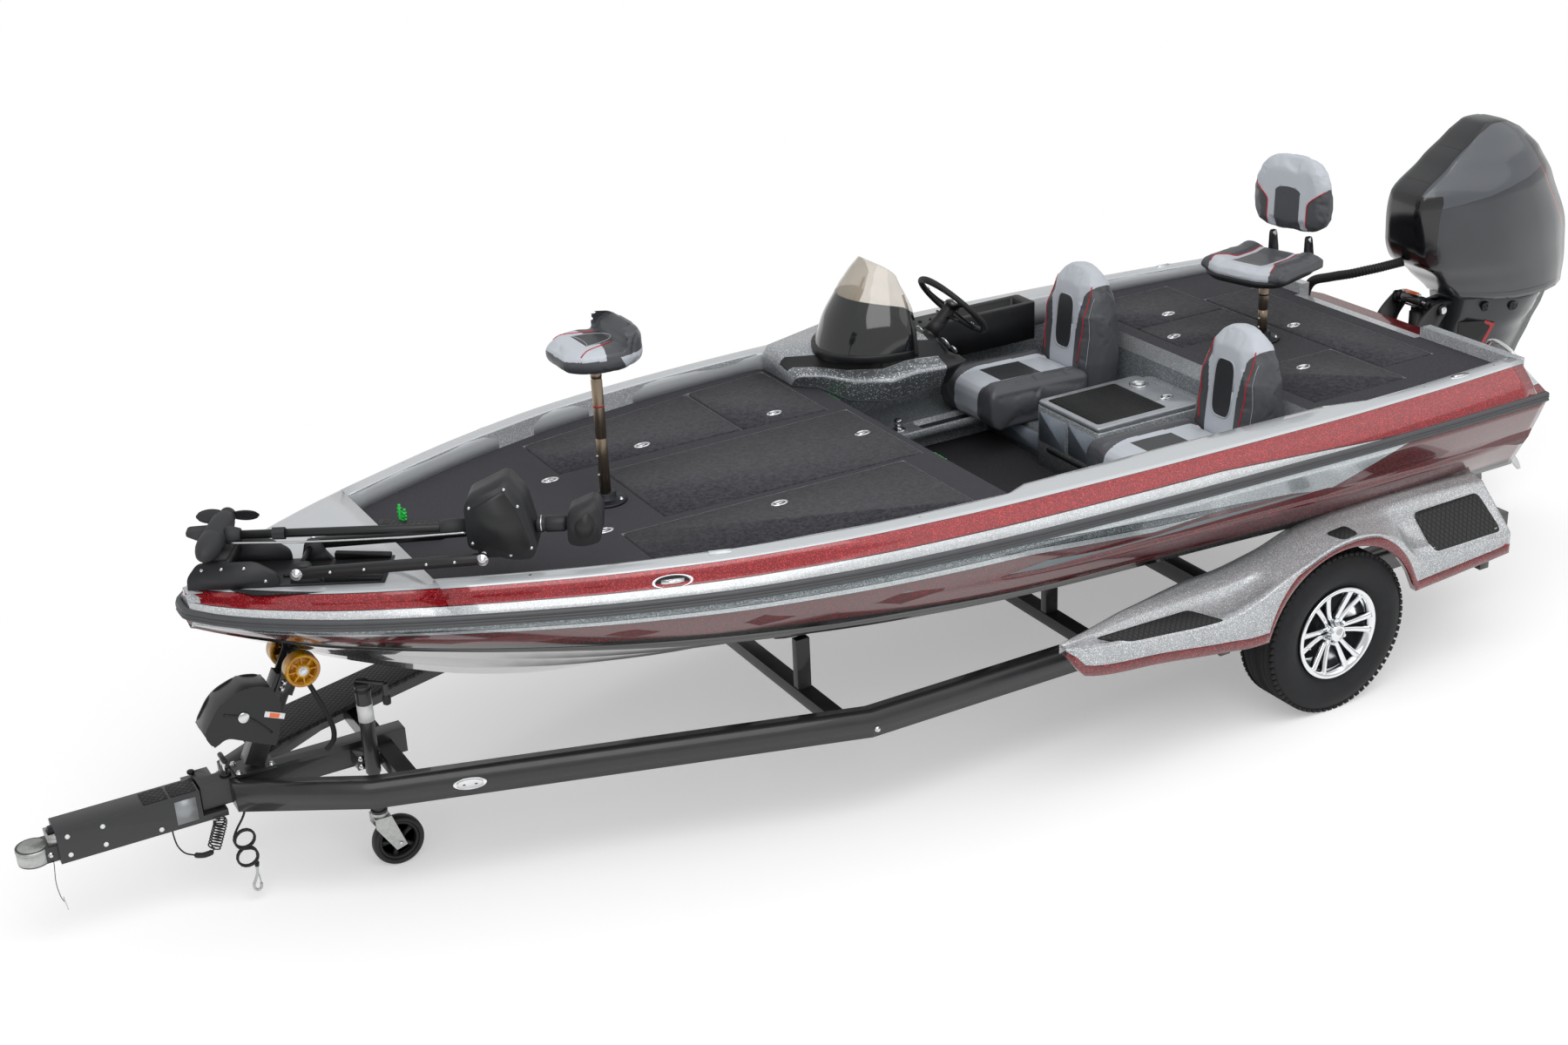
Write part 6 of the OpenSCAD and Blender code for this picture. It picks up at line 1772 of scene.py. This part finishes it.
def makeSeatBase():
    base = Piece("seatBase", "boat_on_trailer", "gelGrey", "lightPanel", "blackPlastic")
    upright = Matrix(((0, 0, 1, 0), (1, 0, 0, 0), (0, 1, 0, 0), (0, 0, 0, 1)))  # an outline drawn across and up
    base.box(at(-149, -689, 761), at(449, 689, 904.6), 0, 0.01)
    for s in (1, -1):
        low, high = sorted((s * 690, s * 938))
        base.box(at(-149, low, 892), at(449, high, 904.6), 0, 0.004)
        # Moulded front panels under the cushions
        low, high = sorted((s * 270, s * 660))
        base.prism([(y / 1000, z / 1000) for y, z in rounded([(low, 790), (high, 790), (high, 880), (low, 880)], 18)],
                   0, 0.004, 1, 0.0015, Matrix.Translation(at(448.4, 0, 0)) @ upright)
    outer = rounded([(-148, -230), (497, -230), (497, 230), (-148, 230)], 26)
    tray(base, outer, rounded([(-20, -190), (456, -190), (456, 190), (-20, 190)], 14), 761, 1044.6, 806, 0, 2)
    facing = Matrix.Translation(at(496, 0, 0)) @ upright
    for y in (-108, 108):
        base.prism([(v / 1000, z / 1000) for v, z in rounded([(y - 96, 880), (y + 96, 880), (y + 96, 1020),
                                                              (y - 96, 1020)], 12)], 0, 0.0035, 1, 0.0012, facing)
    base.prism([(v / 1000, z / 1000) for v, z in rounded([(-140, 842), (140, 842), (150, 862), (-150, 862)], 8)], 0,
               0.005, 2, 0.0015, facing)
    base.box(at(449, -230, 905), at(462, -226, 1040), 0, 0.001)
    base.done("moulding_grey", "seat_base")
    lid = Piece("stepLid", "step_box_lid", "steelGrey", "blackPlastic", "steel", "whitePlastic")
    outline = rounded([(-59, -223), (497, -223), (497, 223), (-59, 223)], 22)
    lid.loft([[at(x, y, z) for x, y in grow(outline, g)] for z,
              g in ((1045.6, 6), (1049, 1), (1060, 0), (1066, 3), (1068, 9))], 0)
    lid.prism(onAxle(rounded([(96, -186), (470, -186), (470, 186), (96, 186)], 16)), 1.0675, 1.0686, 1, 0.0004)
    for y in span(-176, 176, 13.5):
        lid.box(at(104, y - 4, 1068), at(462, y + 4, 1070.6), 1, 0.0012, steps=1)
    latch(lid, 22, 88, 1068, 2, 1)
    cup = stand(16, -112, 1067)
    lid.turn([(0, 0), (44, 0), (44, 4), (38, 6), (34, 6), (32, 2), (0, 2)], cup, 2, 40)
    lid.turn([(0, 2), (14, 2), (14, 4.5), (9, 6), (0, 6.4)], cup, 3, 24)
    lid.done("moulding_grey", "step_lid")
    # Green straps on the cockpit's front wall and beside the bow motor
    bits = Piece("cockpitFittings", "boat_on_trailer", "greenStrap")
    for x, y, z in ((1398, -540, 1120), (1398, -490, 1120), (1398, 306, 1120), (1398, 352, 1120)):
        bits.tube([at(x - 4, y, z), at(x - 30, y + 6, z + 20), at(x - 26, y + 10, z + 54), at(x - 6, y + 4, z + 74)],
                  0.006, 0, 8, 6)
        for k in range(4):
            bits.rod(at(x - 34, y + 6, z + 10 + 16 * k), at(x - 20, y + 8, z + 12 + 16 * k), 0.004, 0, 8)
    for x, y, z in ((3467, -180, 1207), (3455, -215, 1207)):
        for lean in (-1, 1):
            bits.tube([at(x, y, z), at(x + 14, y + lean * 14, z + 34), at(x + 10, y + lean * 30, z + 84)], 0.0055, 0,
                      8, 6)
            for k in range(4):
                bits.rod(at(x + 2, y + lean * (12 + 5 * k), z + 22 + 15 * k),
                         at(x + 20, y + lean * (13 + 5 * k), z + 24 + 15 * k), 0.0035, 0, 8)
    bits.done("moulding_grey")


makeSeatBase()
print("cockpit made")


def edged(node, body, material, width, slot, angle=0.6):
    # The CAD shape with broken edges, as a new piece
    source = nodes[node]
    data = source.data.copy()
    data.transform(source.matrix_world)
    data.materials.clear()
    data.materials.append(finishes[material])
    piece = bpy.data.objects.new(node.title().replace("_", ""), data)
    scene.collection.objects.link(piece)
    mesh = bmesh.new()
    mesh.from_mesh(data)
    bmesh.ops.remove_doubles(mesh, verts=mesh.verts, dist=0.00005)
    bmesh.ops.dissolve_limit(mesh, angle_limit=0.01, verts=mesh.verts, edges=mesh.edges)
    mesh.to_mesh(data)
    mesh.free()
    bevel = piece.modifiers.new("edges", "BEVEL")
    bevel.width, bevel.segments, bevel.limit_method, bevel.angle_limit = width, 2, "ANGLE", angle
    bevel.use_clamp_overlap = True
    applyAll(piece)
    for p in piece.data.polygons:
        p.use_smooth = True
    piece.data.set_sharp_from_angle(angle=0.55)
    return settle(piece, body, slot, node)


# Bow motor, in its own frame: u along the base, v across, both in millimetres
motor = {"place": (4360, 50), "turn": 150, "width": 220, "shaft": 1445}


def makeBowMotor():
    place = stand(*motor["place"], 0, math.radians(motor["turn"]))
    wide, top = motor["width"], motor["shaft"]
    side = lambda outline, v0, v1, piece, finish, round=3: piece.soften(
        piece.loft([[(u, v, z) for u, z in outline] for v in (v0, v1)], finish, place=place), round)
    # Textured pad on the bow
    mat = Piece("bowPad", "boat_on_trailer", "tread")
    mat.prism(rounded([(70, 40), (250, -46), (640, -46), (700, 20), (640, 262), (240, 262), (70, 180)], 30), 1276,
              1282.6, 0, 1.5, place)
    mat.done("black_plastic")
    base = Piece("motorBase", "boat_on_trailer", "motorBlack", "steel", "blackPlastic", "rubberBlack")
    base.box((0, 1, 1283), (699, wide - 1, 1296), 0, 4, place)
    outline = rounded([(0, 1284), (330, 1284), (326, 1336), (250, 1384), (46, 1384), (2, 1330)], 22)
    for v in (0.5, wide - 12):
        side(outline, v, v + 11.5, base, 0)
        for u, z in ((60, 1360), (130, 1362), (210, 1362), (280, 1310)):
            base.bolt(place @ Vector((u, v + (11.5 if v > 50 else 0), z)),
                      place.to_3x3() @ Vector((0, 1 if v > 50 else -1, 0)), 0.0042, 1)
    base.box((60, 12, 1341), (150, wide - 12, 1379), 2, 6, place)
    base.box((66, 30, 1376), (144, wide - 30, 1392), 3, 5, place)
    for v in (4, wide - 26):
        side(rounded([(362, 1286), (486, 1286), (452, 1330), (440, 1371), (384, 1371)], 14), v, v + 22, base, 0, 2)
        side(rounded([(486, 1296), (690, 1296), (690, 1312), (486, 1324)], 6), v, v + 22, base, 2, 2)
        base.turn([(0, 0), (13, 0), (13, 5), (8, 8), (0, 8)],
                  shifted(place, 400, v + (22 if v > 50 else 0), 1345, (-1 if v > 50 else 1) * math.pi / 2), 1, 20)
    base.tube([place @ Vector(p) for p in ((330, 60, 1300), (420, 66, 1312), (560, 62, 1306), (690, 66, 1304))],
              0.006, 2, 10, 6)
    base.done("black_plastic", "motor_base")
    arms = Piece("motorArms", "bow_motor_arms", "satinBlack", "steel", "darkMetal")
    low, high = (400, 1345), (1057, 1376)
    for v in (-32, wide + 8):
        outline = []
        for (u, z), start in ((high, -90), (low, 90)):
            outline += [(u + 18 * math.cos(math.radians(start + k * 18)),
                         z + 18 * math.sin(math.radians(start + k * 18))) for k in range(11)]
        side(outline, v, v + 24, arms, 0, 3)
        out = -1 if v < 0 else 1
        for u, z in (low, high):
            arms.turn([(0, 0), (22, 0), (22, 3), (13, 5), (12, 9), (0, 9)],
                      shifted(place, u, v + (0 if v < 0 else 24), z, -out * math.pi / 2)
                      @ Matrix.Translation((0, 0, -3)), 1, 28)
        for u in (520, 640, 860, 960):
            z = 1345 + (u - 400) * 31 / 657
            arms.bolt(place @ Vector((u, v + (0 if v < 0 else 24), z)), place.to_3x3() @ Vector((0, out, 0)), 0.0038,
                      1)
    arms.turn([(0, -30), (9.6, -30), (9.6, wide + 30), (0, wide + 30)], shifted(place, 400, 0, 1345, -math.pi / 2), 2,
              24)
    arms.done("black_metal", "motor_arms")
    head = Piece("motorShaft", "bow_motor_head", "motorBlack", "steel", "rubberBlack", "satinBlack")
    outline = rounded([(1002, 1398), (1002, 1568), (1150, 1638), (1206, 1562), (1245, 1382), (1222, 1347),
                       (1150, 1347)], 24)
    side(outline, 26, wide - 30, head, 0, 9)
    small = grow(outline, 22)
    for v in (23, wide - 28):
        side(small, min(v, v + 4), max(v, v + 4), head, 3, 1.5)
    for u, z in ((1020, 1415), (1020, 1550), (1148, 1615), (1190, 1550), (1225, 1390), (1150, 1365)):
        for v, d in ((26, -1), (wide - 30, 1)):
            head.bolt(place @ Vector((u, v, z)), place.to_3x3() @ Vector((0, d, 0)), 0.004, 1)
    head.box((1036, 28, 1358), (1136, wide - 32, 1434), 3, 5, place)
    head.turn([(0, -30), (9.7, -30), (9.7, wide + 30), (0, wide + 30)], shifted(place, 1057, 0, 1376, -math.pi / 2),
              1, 24)
    lie = shifted(place, 95, wide / 2, top, math.pi / 2, "Y")
    head.turn([(0, 0), (15.8, 0), (15.8, 1205), (0, 1205)], lie, 3, 36)
    head.turn([(15, 800), (26, 806), (30, 830), (30, 905), (15, 905)], lie, 2, 36)
    head.turn([(16, 1142), (29, 1144), (30, 1150), (30, 1166), (27, 1170), (27, 1176), (30, 1180), (30, 1240),
               (27, 1246), (20, 1256), (0, 1258)], lie, 0, 40)
    head.turn([(30.2, 1158), (31.5, 1158), (31.5, 1164), (30.2, 1164)], lie, 1, 40)
    outline = rounded([(1352, 1388), (1400, 1376), (1468, 1392), (1480, 1498), (1454, 1542), (1354, 1500)], 22)
    side(outline, wide / 2 - 60, wide / 2 + 60, head, 0, 16)
    side(grow(outline, 26), wide / 2 - 62, wide / 2 + 62, head, 3, 1)
    # Pod across the end of the shaft, with its skeg
    pod = shifted(place, 95, -85, top, -math.pi / 2)
    head.turn([(0, 0), (9, 2), (18, 9), (27, 24), (35, 48), (41, 74), (43.5, 100), (43.5, 150), (42, 154),
               (43.5, 158), (43.5, 296), (38, 326), (33, 344), (6, 346), (6, 350), (0, 350)], pod, 2, 44)
    head.turn([(15, 28), (24, 40), (32, 44), (32, 60), (24, 90), (15, 92)],
              shifted(place, 95, wide / 2, top, math.pi / 2, "Y"), 2, 32)
    fin = rounded([(60, 60), (60, 200), (-24, 190), (-16, 120)], 16)
    head.loft([[(u, v, top + w) for u, v in fin] for w in (-4, 4)], 2, place=place)
    for v in (wide / 2 - 34, wide / 2 + 34):
        head.tube([place @ Vector(p) for p in ((140, v, top - 16), (420, v, top - 22), (760, v, top - 18),
                                               (1000, v, top - 8))], 0.0042, 1, 12, 6)
    # Rest block that carries the shaft over the base
    head.turn([(0, 0), (24, 0), (24, 44), (0, 44)], shifted(place, 300, wide / 2, top, math.pi / 2, "Y"), 2, 6, False)
    head.done("black_plastic", "motor_shaft")
    screw = Piece("bowPropeller", "bow_motor_prop", "rubberBlack")
    spin = shifted(place, 95, 266, top, -math.pi / 2)
    screw.turn([(6.2, 0), (30, 0), (30, 30), (24, 38), (12, 41.5), (0, 42), (0, 9), (6.2, 9)], spin, 0, 36)
    propeller(screw, shifted(spin, 0, 0, 20), 28, 116, 2, 0.5, 27)
    screw.done("black_plastic", "bow_propeller")
    pedal = Piece("footPedal", "boat_on_trailer", "blackPlastic", "tread", "redPlastic")
    foot = stand(3480, -120, 1205.4, math.radians(-25))
    pedal.prism(rounded([(-139, -54), (139, -54), (139, 54), (-139, 54)], 20), 0, 21, 0, 4, foot)
    for v in (-50, 44):
        pedal.loft([[(x, v + w, z) for x, z in ((-100, 18), (90, 18), (40, 40), (-60, 34))] for w in (0, 6)], 0,
                   place=foot, soft=False)
    faces = pedal.loft([[(x, v, z) for x, z in ((-118, 24), (118, 28), (112, 60), (104, 62), (-112, 36))]
                        for v in (-44, 44)], 0, place=foot)
    pedal.soften(faces, 3)
    pedal.loft([[(x, v, z) for x, z in ((-92, 35), (92, 58), (92, 62), (-92, 39))] for v in (-34, 34)], 1, place=foot)
    pedal.turn([(0, 0), (9, 0), (9, 6), (0, 8)], shifted(foot, -104, 0, 36), 2, 20)
    pedal.done("black_plastic", "foot_pedal")


makeBowMotor()
print("bow motor made")


# CAD shapes that only get broken edges: node, body, finish, width of the edge in metres, slot
edgedNodes = (("cross_members", "boat_on_trailer", "trailerBlack", 0.004, "trailer_black"),
              ("axle", "boat_on_trailer", "trailerBlack", 0.004, "trailer_black"),
              ("bunks", "boat_on_trailer", "bunkCarpet", 0.008, "bunk_carpet"),
              ("step_plate", "boat_on_trailer", "tread", 0.004, "black_metal"),
              ("winch_stand", "boat_on_trailer", "trailerBlack", 0.005, "trailer_black"),
              ("jack", "boat_on_trailer", "trailerBlack", 0.003, "trailer_black"),
              ("tongue", "swing_tongue", "trailerBlack", 0.006, "trailer_black"),
              ("caster_yoke", "caster_fork", "zinc", 0.0015, "zinc"))


def makeFrame():
    line = [(-1249, 950), (2100, 950), (3900, 380), (4329, 119)]
    for side, tag in ((1, "Left"), (-1, "Right")):
        inner = []
        for i, (x, y) in enumerate(line):
            ways = [Vector((line[j + 1][0] - line[j][0], line[j + 1][1] - line[j][1])).normalized()
                    for j in (max(i - 1, 0), min(i, len(line) - 2))]
            across = [Vector((w.y, -w.x)) for w in ways]
            mid = (across[0] + across[1]).normalized()
            inner.append((Vector((x, y)) + mid * 75 / mid.dot(across[0])))
        inner[0].x, inner[-1] = -1249, Vector((4328, 37))
        outline = [(x, side * y) for x, y in line] + [(p.x, side * p.y) for p in reversed(inner)]
        rail = Piece("frameRail" + tag, "boat_on_trailer", "trailerBlack", "blackPlastic")
        rail.prism(onAxle(outline), 0.4003, 0.4997, 0, 0.007, steps=3)
        rail.box(at(-1251, side * 912.5 - 32, 410), at(-1247, side * 912.5 + 32, 490), 1, 0.001)
        rail.done("trailer_black", "frame_rail_left" if side > 0 else "frame_rail_right")
    for node, body, material, width, slot in edgedNodes:
        edged(node, body, material, width, slot)


rollers = {"x": 4016, "z": 893}


def makeTrailerParts():
    fit = Piece("trailerFittings", "boat_on_trailer", "steel", "satinBlack", "whitePlastic", "orangeLens",
                "blackPlastic", "chrome")
    # Marker lamps on the outside of both rails and round reflectors
    way = Vector((1800, -570)).normalized()
    for s in (1, -1):
        turned = Matrix.Translation(at(3560, s * (950 - 570 * 1460 / 1800 + 1),
                                       452)) @ Matrix.Rotation(s * math.atan2(way.y, way.x), 4, "Z")
        lamp = turned @ Matrix.Rotation(-s * math.pi / 2, 4, "X") @ Matrix.Diagonal((0.056, 0.022, 0.001, 1))
        fit.turn([(0, -2), (1.12, -2), (1.12, 4), (1, 6), (0.96, 4), (0, 4)], lamp, 5, 40)
        fit.turn([(0, 4), (0.86, 4), (0.78, 8), (0, 9)], lamp, 2, 40)
        for x in (-0.4, 0.4):
            fit.turn([(0, 8), (0.1, 8), (0.1, 10), (0, 10)], shifted(lamp, x, 0, 0), 4, 12)
    # Roller brackets, orange plate and strap arm of the winch stand
    foot, head = Vector((4226, 0, 519)), Vector((4060, 0, 850))
    d = (head - foot).normalized()
    across = Vector((d.z, 0, -d.x))
    for s in (1, -1):
        c = foot.lerp(head, 0.54)
        spots = [c + across * a * 18 + d * b * 34 for a, b in ((-1, -1), (1, -1), (1, 1), (-1, 1))]
        fit.loft([[at(p.x, s * y, p.z) for p in spots] for y in (37, 40.5)], 3, soft=False)
        for t in (0.86, 0.93):
            c = foot.lerp(head, t)
            fit.bolt(at(c.x, s * 39, c.z), (0, s, 0), 0.008, 0)
        fit.bolt(at(rollers["x"], s * 46, rollers["z"]), (0, s, 0), 0.010, 0)
    for x, y in ((4165, -40), (4165, 40), (4288, -40), (4288, 40)):
        fit.bolt(at(x, y, 512), (0, 0, 1), 0.008, 0)
    # Winch drum under its cover
    outline = rounded([(4160, 640), (4330, 730), (4380, 700), (4410, 760), (4340, 860), (4240, 900), (4150, 880),
                       (4120, 800)], 46, 8)
    for y0, y1 in ((26, 34), (144, 151)):
        fit.slab(grow(outline, -3), y0, y1, 1)
    fit.tube([at(x, 152, z) for x, z in ((4170, 700), (4240, 780), (4330, 820))], 0.004, 4, 8, 4)
    fit.rod(at(4262, 150, 790), at(4262, 158, 790), 0.022, 0)
    fit.slab(((4120, 742), (4190, 772), (4182, 792), (4112, 762)), 152, 155, 2)
    fit.slab(((4138, 752), (4172, 766), (4166, 782), (4132, 768)), 154.5, 156, 3)
    # Bar from the roller bracket to the step
    fit.tube([at(4010, 60, 850), at(3985, 62, 800), at(3930, 66, 640), at(3925, 66, 560), at(3960, 66, 521)], 0.010,
             4, 12, 6)
    # Jack clamp with bolts, chrome rod and blank tag
    for z in (438, 472):
        for x in (3786, 3850):
            fit.bolt(at(x, 122, z), (0, 1, 0), 0.008, 0)
    fit.turn([(29.5, 0), (32, 1), (32, 12), (29.5, 13)], stand(3815, 146, 762), 4, 36)
    fit.turn([(29.2, 0), (30.2, 0), (30.2, 70), (29.2, 70)], stand(3815, 146, 640), 2, 36)
    fit.turn([(0, 0), (9, 0), (15, 4), (16, 18), (14, 36), (9, 44), (0, 45)], stand(3755, 236, 728), 4, 24)
    fit.turn([(0, 0), (31, 0), (32, 5), (32, 12), (24, 16), (0, 16)], stand(3815, 146, 788), 4, 36)
    # Hinge hardware of the swing tongue on the beam's side
    for x in (4290, 4330):
        fit.bolt(at(x, -112 if x > 4300 else -128, 450), (0.5, -1, 0), 0.009, 0)
    for s in (1, -1):
        for x in (-1190, 900, 2080):
            fit.bolt(at(x, s * 951, 430), (0, s, 0), 0.008, 0)
    fit.done("trailer_black")
    nose = Piece("tongueFittings", "swing_tongue", "steel", "zinc", "tread", "plateGrey", "whitePlastic", "darkMetal")
    for x0, x1 in ((4450, 4545), (4555, 4645)):
        nose.prism(onAxle(rounded([(x0, -46), (x1, -46), (x1, 46), (x0, 46)], 8)), 0.4968, 0.4994, 2, 0.0008)
    for s in (1, -1):
        nose.box(at(4462, min(s * 59.5, s * 61.5), 385), at(4540, max(s * 59.5, s * 61.5), 480), 3, 0.0008)
        for x, z in ((4800, 395), (4800, 470), (4925, 395), (4925, 470), (4600, 388)):
            nose.turn([(0, 0), (9, 0), (9, 4), (6, 6), (0, 6)], stand(x, s * 60, z, -s * math.pi / 2, "X"), 4, 20)
        nose.bolt(at(4990, s * 47, 408), (0, s, 0), 0.007, 0)
    # Coupler: actuator cover, latch and its T handle
    nose.box(at(4905, -44, 440), at(4990, 44, 474), 1, 0.010)
    nose.slab(((4900, 474), (4984, 474), (4976, 490), (4916, 494)), -20, 20, 5, soft=True)
    nose.turn([(0, 0), (61, 0), (59.6, 4), (59.6, 12), (0, 12)], stand(5042, 0, 427), 1, 56)
    nose.turn([(30, -1), (52, -1), (59.2, 6), (59.2, 50), (50, 62.6), (0, 63)], stand(5042, 0, 378), 1, 56)
    nose.rod(at(4436, -84, 500), at(4436, -84, 512), 0.014, 5)
    nose.rod(at(4404, 44, 366), at(4404, 44, 356), 0.010, 0)
    nose.tube([at(4398, 0, 392), at(4398, 0, 372)], 0.012, 5, 16, 0)
    nose.done("black_metal")
    pin = Piece("swingLatch", "boat_on_trailer", "satinBlack", "steel")
    pin.rod(at(4330, 0, 499), at(4330, 0, 566), 0.011, 1)
    pin.rod(at(4330, -34, 572), at(4330, 34, 572), 0.010, 0)
    pin.rod(at(4330, 0, 499), at(4330, 0, 512), 0.022, 0)
    pin.done("black_metal")
    roller = Piece("bowRollers", "boat_on_trailer", "amber", "whitePlastic", "steel")
    for s in (1, -1):
        hub = stand(rollers["x"], s * 95, rollers["z"], -s * math.pi / 2, "X")
        roller.turn([(52, -26), (58, -29), (63, -28), (66, -22), (64.5, -14), (66, -6), (64.5, 0), (66, 6),
                     (64.5, 14), (66, 22), (63, 28), (58, 29), (52, 26), (50, 0), (52, -26)], hub, 0, 64)
        roller.turn([(18, -28), (26, -29), (27, 0), (26, 29), (18, 28)], hub, 0, 36)
        roller.turn([(28, -4), (52, -4), (52, 4), (28, 4)], hub, 0, 48)
        for k in range(8):
            spoke = hub @ Matrix.Rotation(math.pi / 4 * k, 4, "Z")
            roller.loft([[(r, -2.4, -23), (r, 2.4, -23), (r, 2.4, 23), (r, -2.4, 23)] for r in (25, 54)], 0,
                        place=spoke, soft=False)
        roller.turn([(9.4, -29.8), (18, -29.8), (19, -20), (19, 20), (18, 29.8), (9.4, 29.8), (9.4, -29.8)], hub, 1,
                    32)
        roller.turn([(0, 20), (9, 20), (13, 29.9), (13, 33), (8, 35), (0, 35)], hub, 2, 6, False)
    roller.rod(at(rollers["x"], -99, rollers["z"]), at(rollers["x"], 99, rollers["z"]), 0.009, 2)
    roller.done("roller_amber", "bow_rollers")
    caster = Piece("casterWheel", "caster_roller", "casterBlack", "blackPlastic", "steel")
    hub = stand(3757, 146, 102, -math.pi / 2, "X")
    caster.turn([(80, -18), (84, -22), (92, -24), (98, -21), (101.5, -12), (102, 0), (101.5, 12), (98, 21), (92, 24),
                 (84, 22), (80, 18), (78, 0), (80, -18)],
                hub, 0, 64)
    caster.turn([(70, -16), (80, -17), (80, 17), (70, 16), (68, 0), (70, -16)], hub, 1, 48)
    caster.turn([(8, -28), (22, -28), (24, -14), (24, 14), (22, 28), (8, 28), (8, -28)], hub, 1, 32)
    for k in range(5):
        spoke = hub @ Matrix.Rotation(2 * math.pi * k / 5, 4, "Z")
        caster.loft([[(r, -w, -9), (r, w, -9), (r, w, 9), (r, -w, 9)] for r, w in ((20, 8), (45, 6), (74, 11))], 1,
                    place=spoke)
    caster.turn([(0, -41.8), (7.8, -41.8), (7.8, 41.8), (0, 41.8)], hub, 2, 20)
    caster.done("caster_black", "caster_wheel")


def amberFinish():
    b = Bench("amber")
    depth = b.noise(30, 3).over(0.3, 0.7)
    return b.finish(colour=b.mix(depth, tint("f0b400"), tint("c98300")), roughness=0.18, coat=0.5, alpha=0.88,
                    specular=0.6)


finishes["amber"] = amberFinish()
makeFrame()
makeTrailerParts()
useOn("blackPlastic", "engine_block")
print("trailer made")


def makeDeckFittings():
    trim = Piece("deckFittings", "boat_on_trailer", "chrome", "blackPlastic", "steel", "clearLamp")
    # Oval cleats let into the gunwale's side, and small fittings on its top
    for s in (1, -1):
        beam, rail, cap, *_ = hullAt(2869)
        spot = at(2869, s * (beam - 62), rail + 62)
        ahead = (at(2969, s * (hullAt(2969)[0] - 62), rail + 62) - at(2769, s * (hullAt(2769)[0] - 62),
                                                                      rail + 62)).normalized()
        out = Vector((0, s * 0.78, 0.62)) - ahead * Vector((0, s * 0.78, 0.62)).dot(ahead)
        out.normalize()
        face = Matrix((ahead, out.cross(ahead), out)).transposed().to_4x4()
        face.translation = spot
        oval = face @ Matrix.Diagonal((0.075, 0.026, 0.001, 1))
        trim.turn([(0.0, -2), (1, -2), (1, 4), (0.93, 6), (0.86, 4), (0.84, 1), (0, 1)], oval, 0, 44)
        trim.turn([(0, 1), (0.8, 1), (0.8, 2), (0, 2)], oval, 1, 40)
        trim.box((-0.55, -0.3, 1.6), (0.55, 0.3, 5), 0, 0, oval)
        for x in (1900, 3300, -600, -1040):
            beam, rail, cap, *_ = hullAt(x)
            trim.turn([(0, 0), (9, 0), (9, 2), (6, 3.5), (0, 3.5)], stand(x, s * (beam - 150), rail + cap + 4), 2, 20)
        # Stern cleat
        beam, rail, cap, *_ = hullAt(-820)
        cleat = Matrix.Translation(at(-820, s * (beam - 150), rail + cap + 5)) @ Matrix.Diagonal((0.055, 0.02, 0.001,
                                                                                                  1))
        trim.turn([(0, 0), (1, 0), (1, 3), (0.9, 5), (0, 5)], cleat, 0, 40)
        trim.box((-0.6, -0.3, 4), (0.6, 0.3, 9), 0, 0, cleat)
    beam, rail, cap, *_ = hullAt(2660)
    lamp = Matrix.Translation(at(2660, beam - 158, rail + cap + 5)) @ Matrix.Rotation(-0.35, 4, "Z")
    trim.box((-0.04, -0.014, 0), (0.04, 0.014, 0.007), 3, 0.003, lamp)
    trim.done("polished_steel")


makeDeckFittings()
print("fittings made")
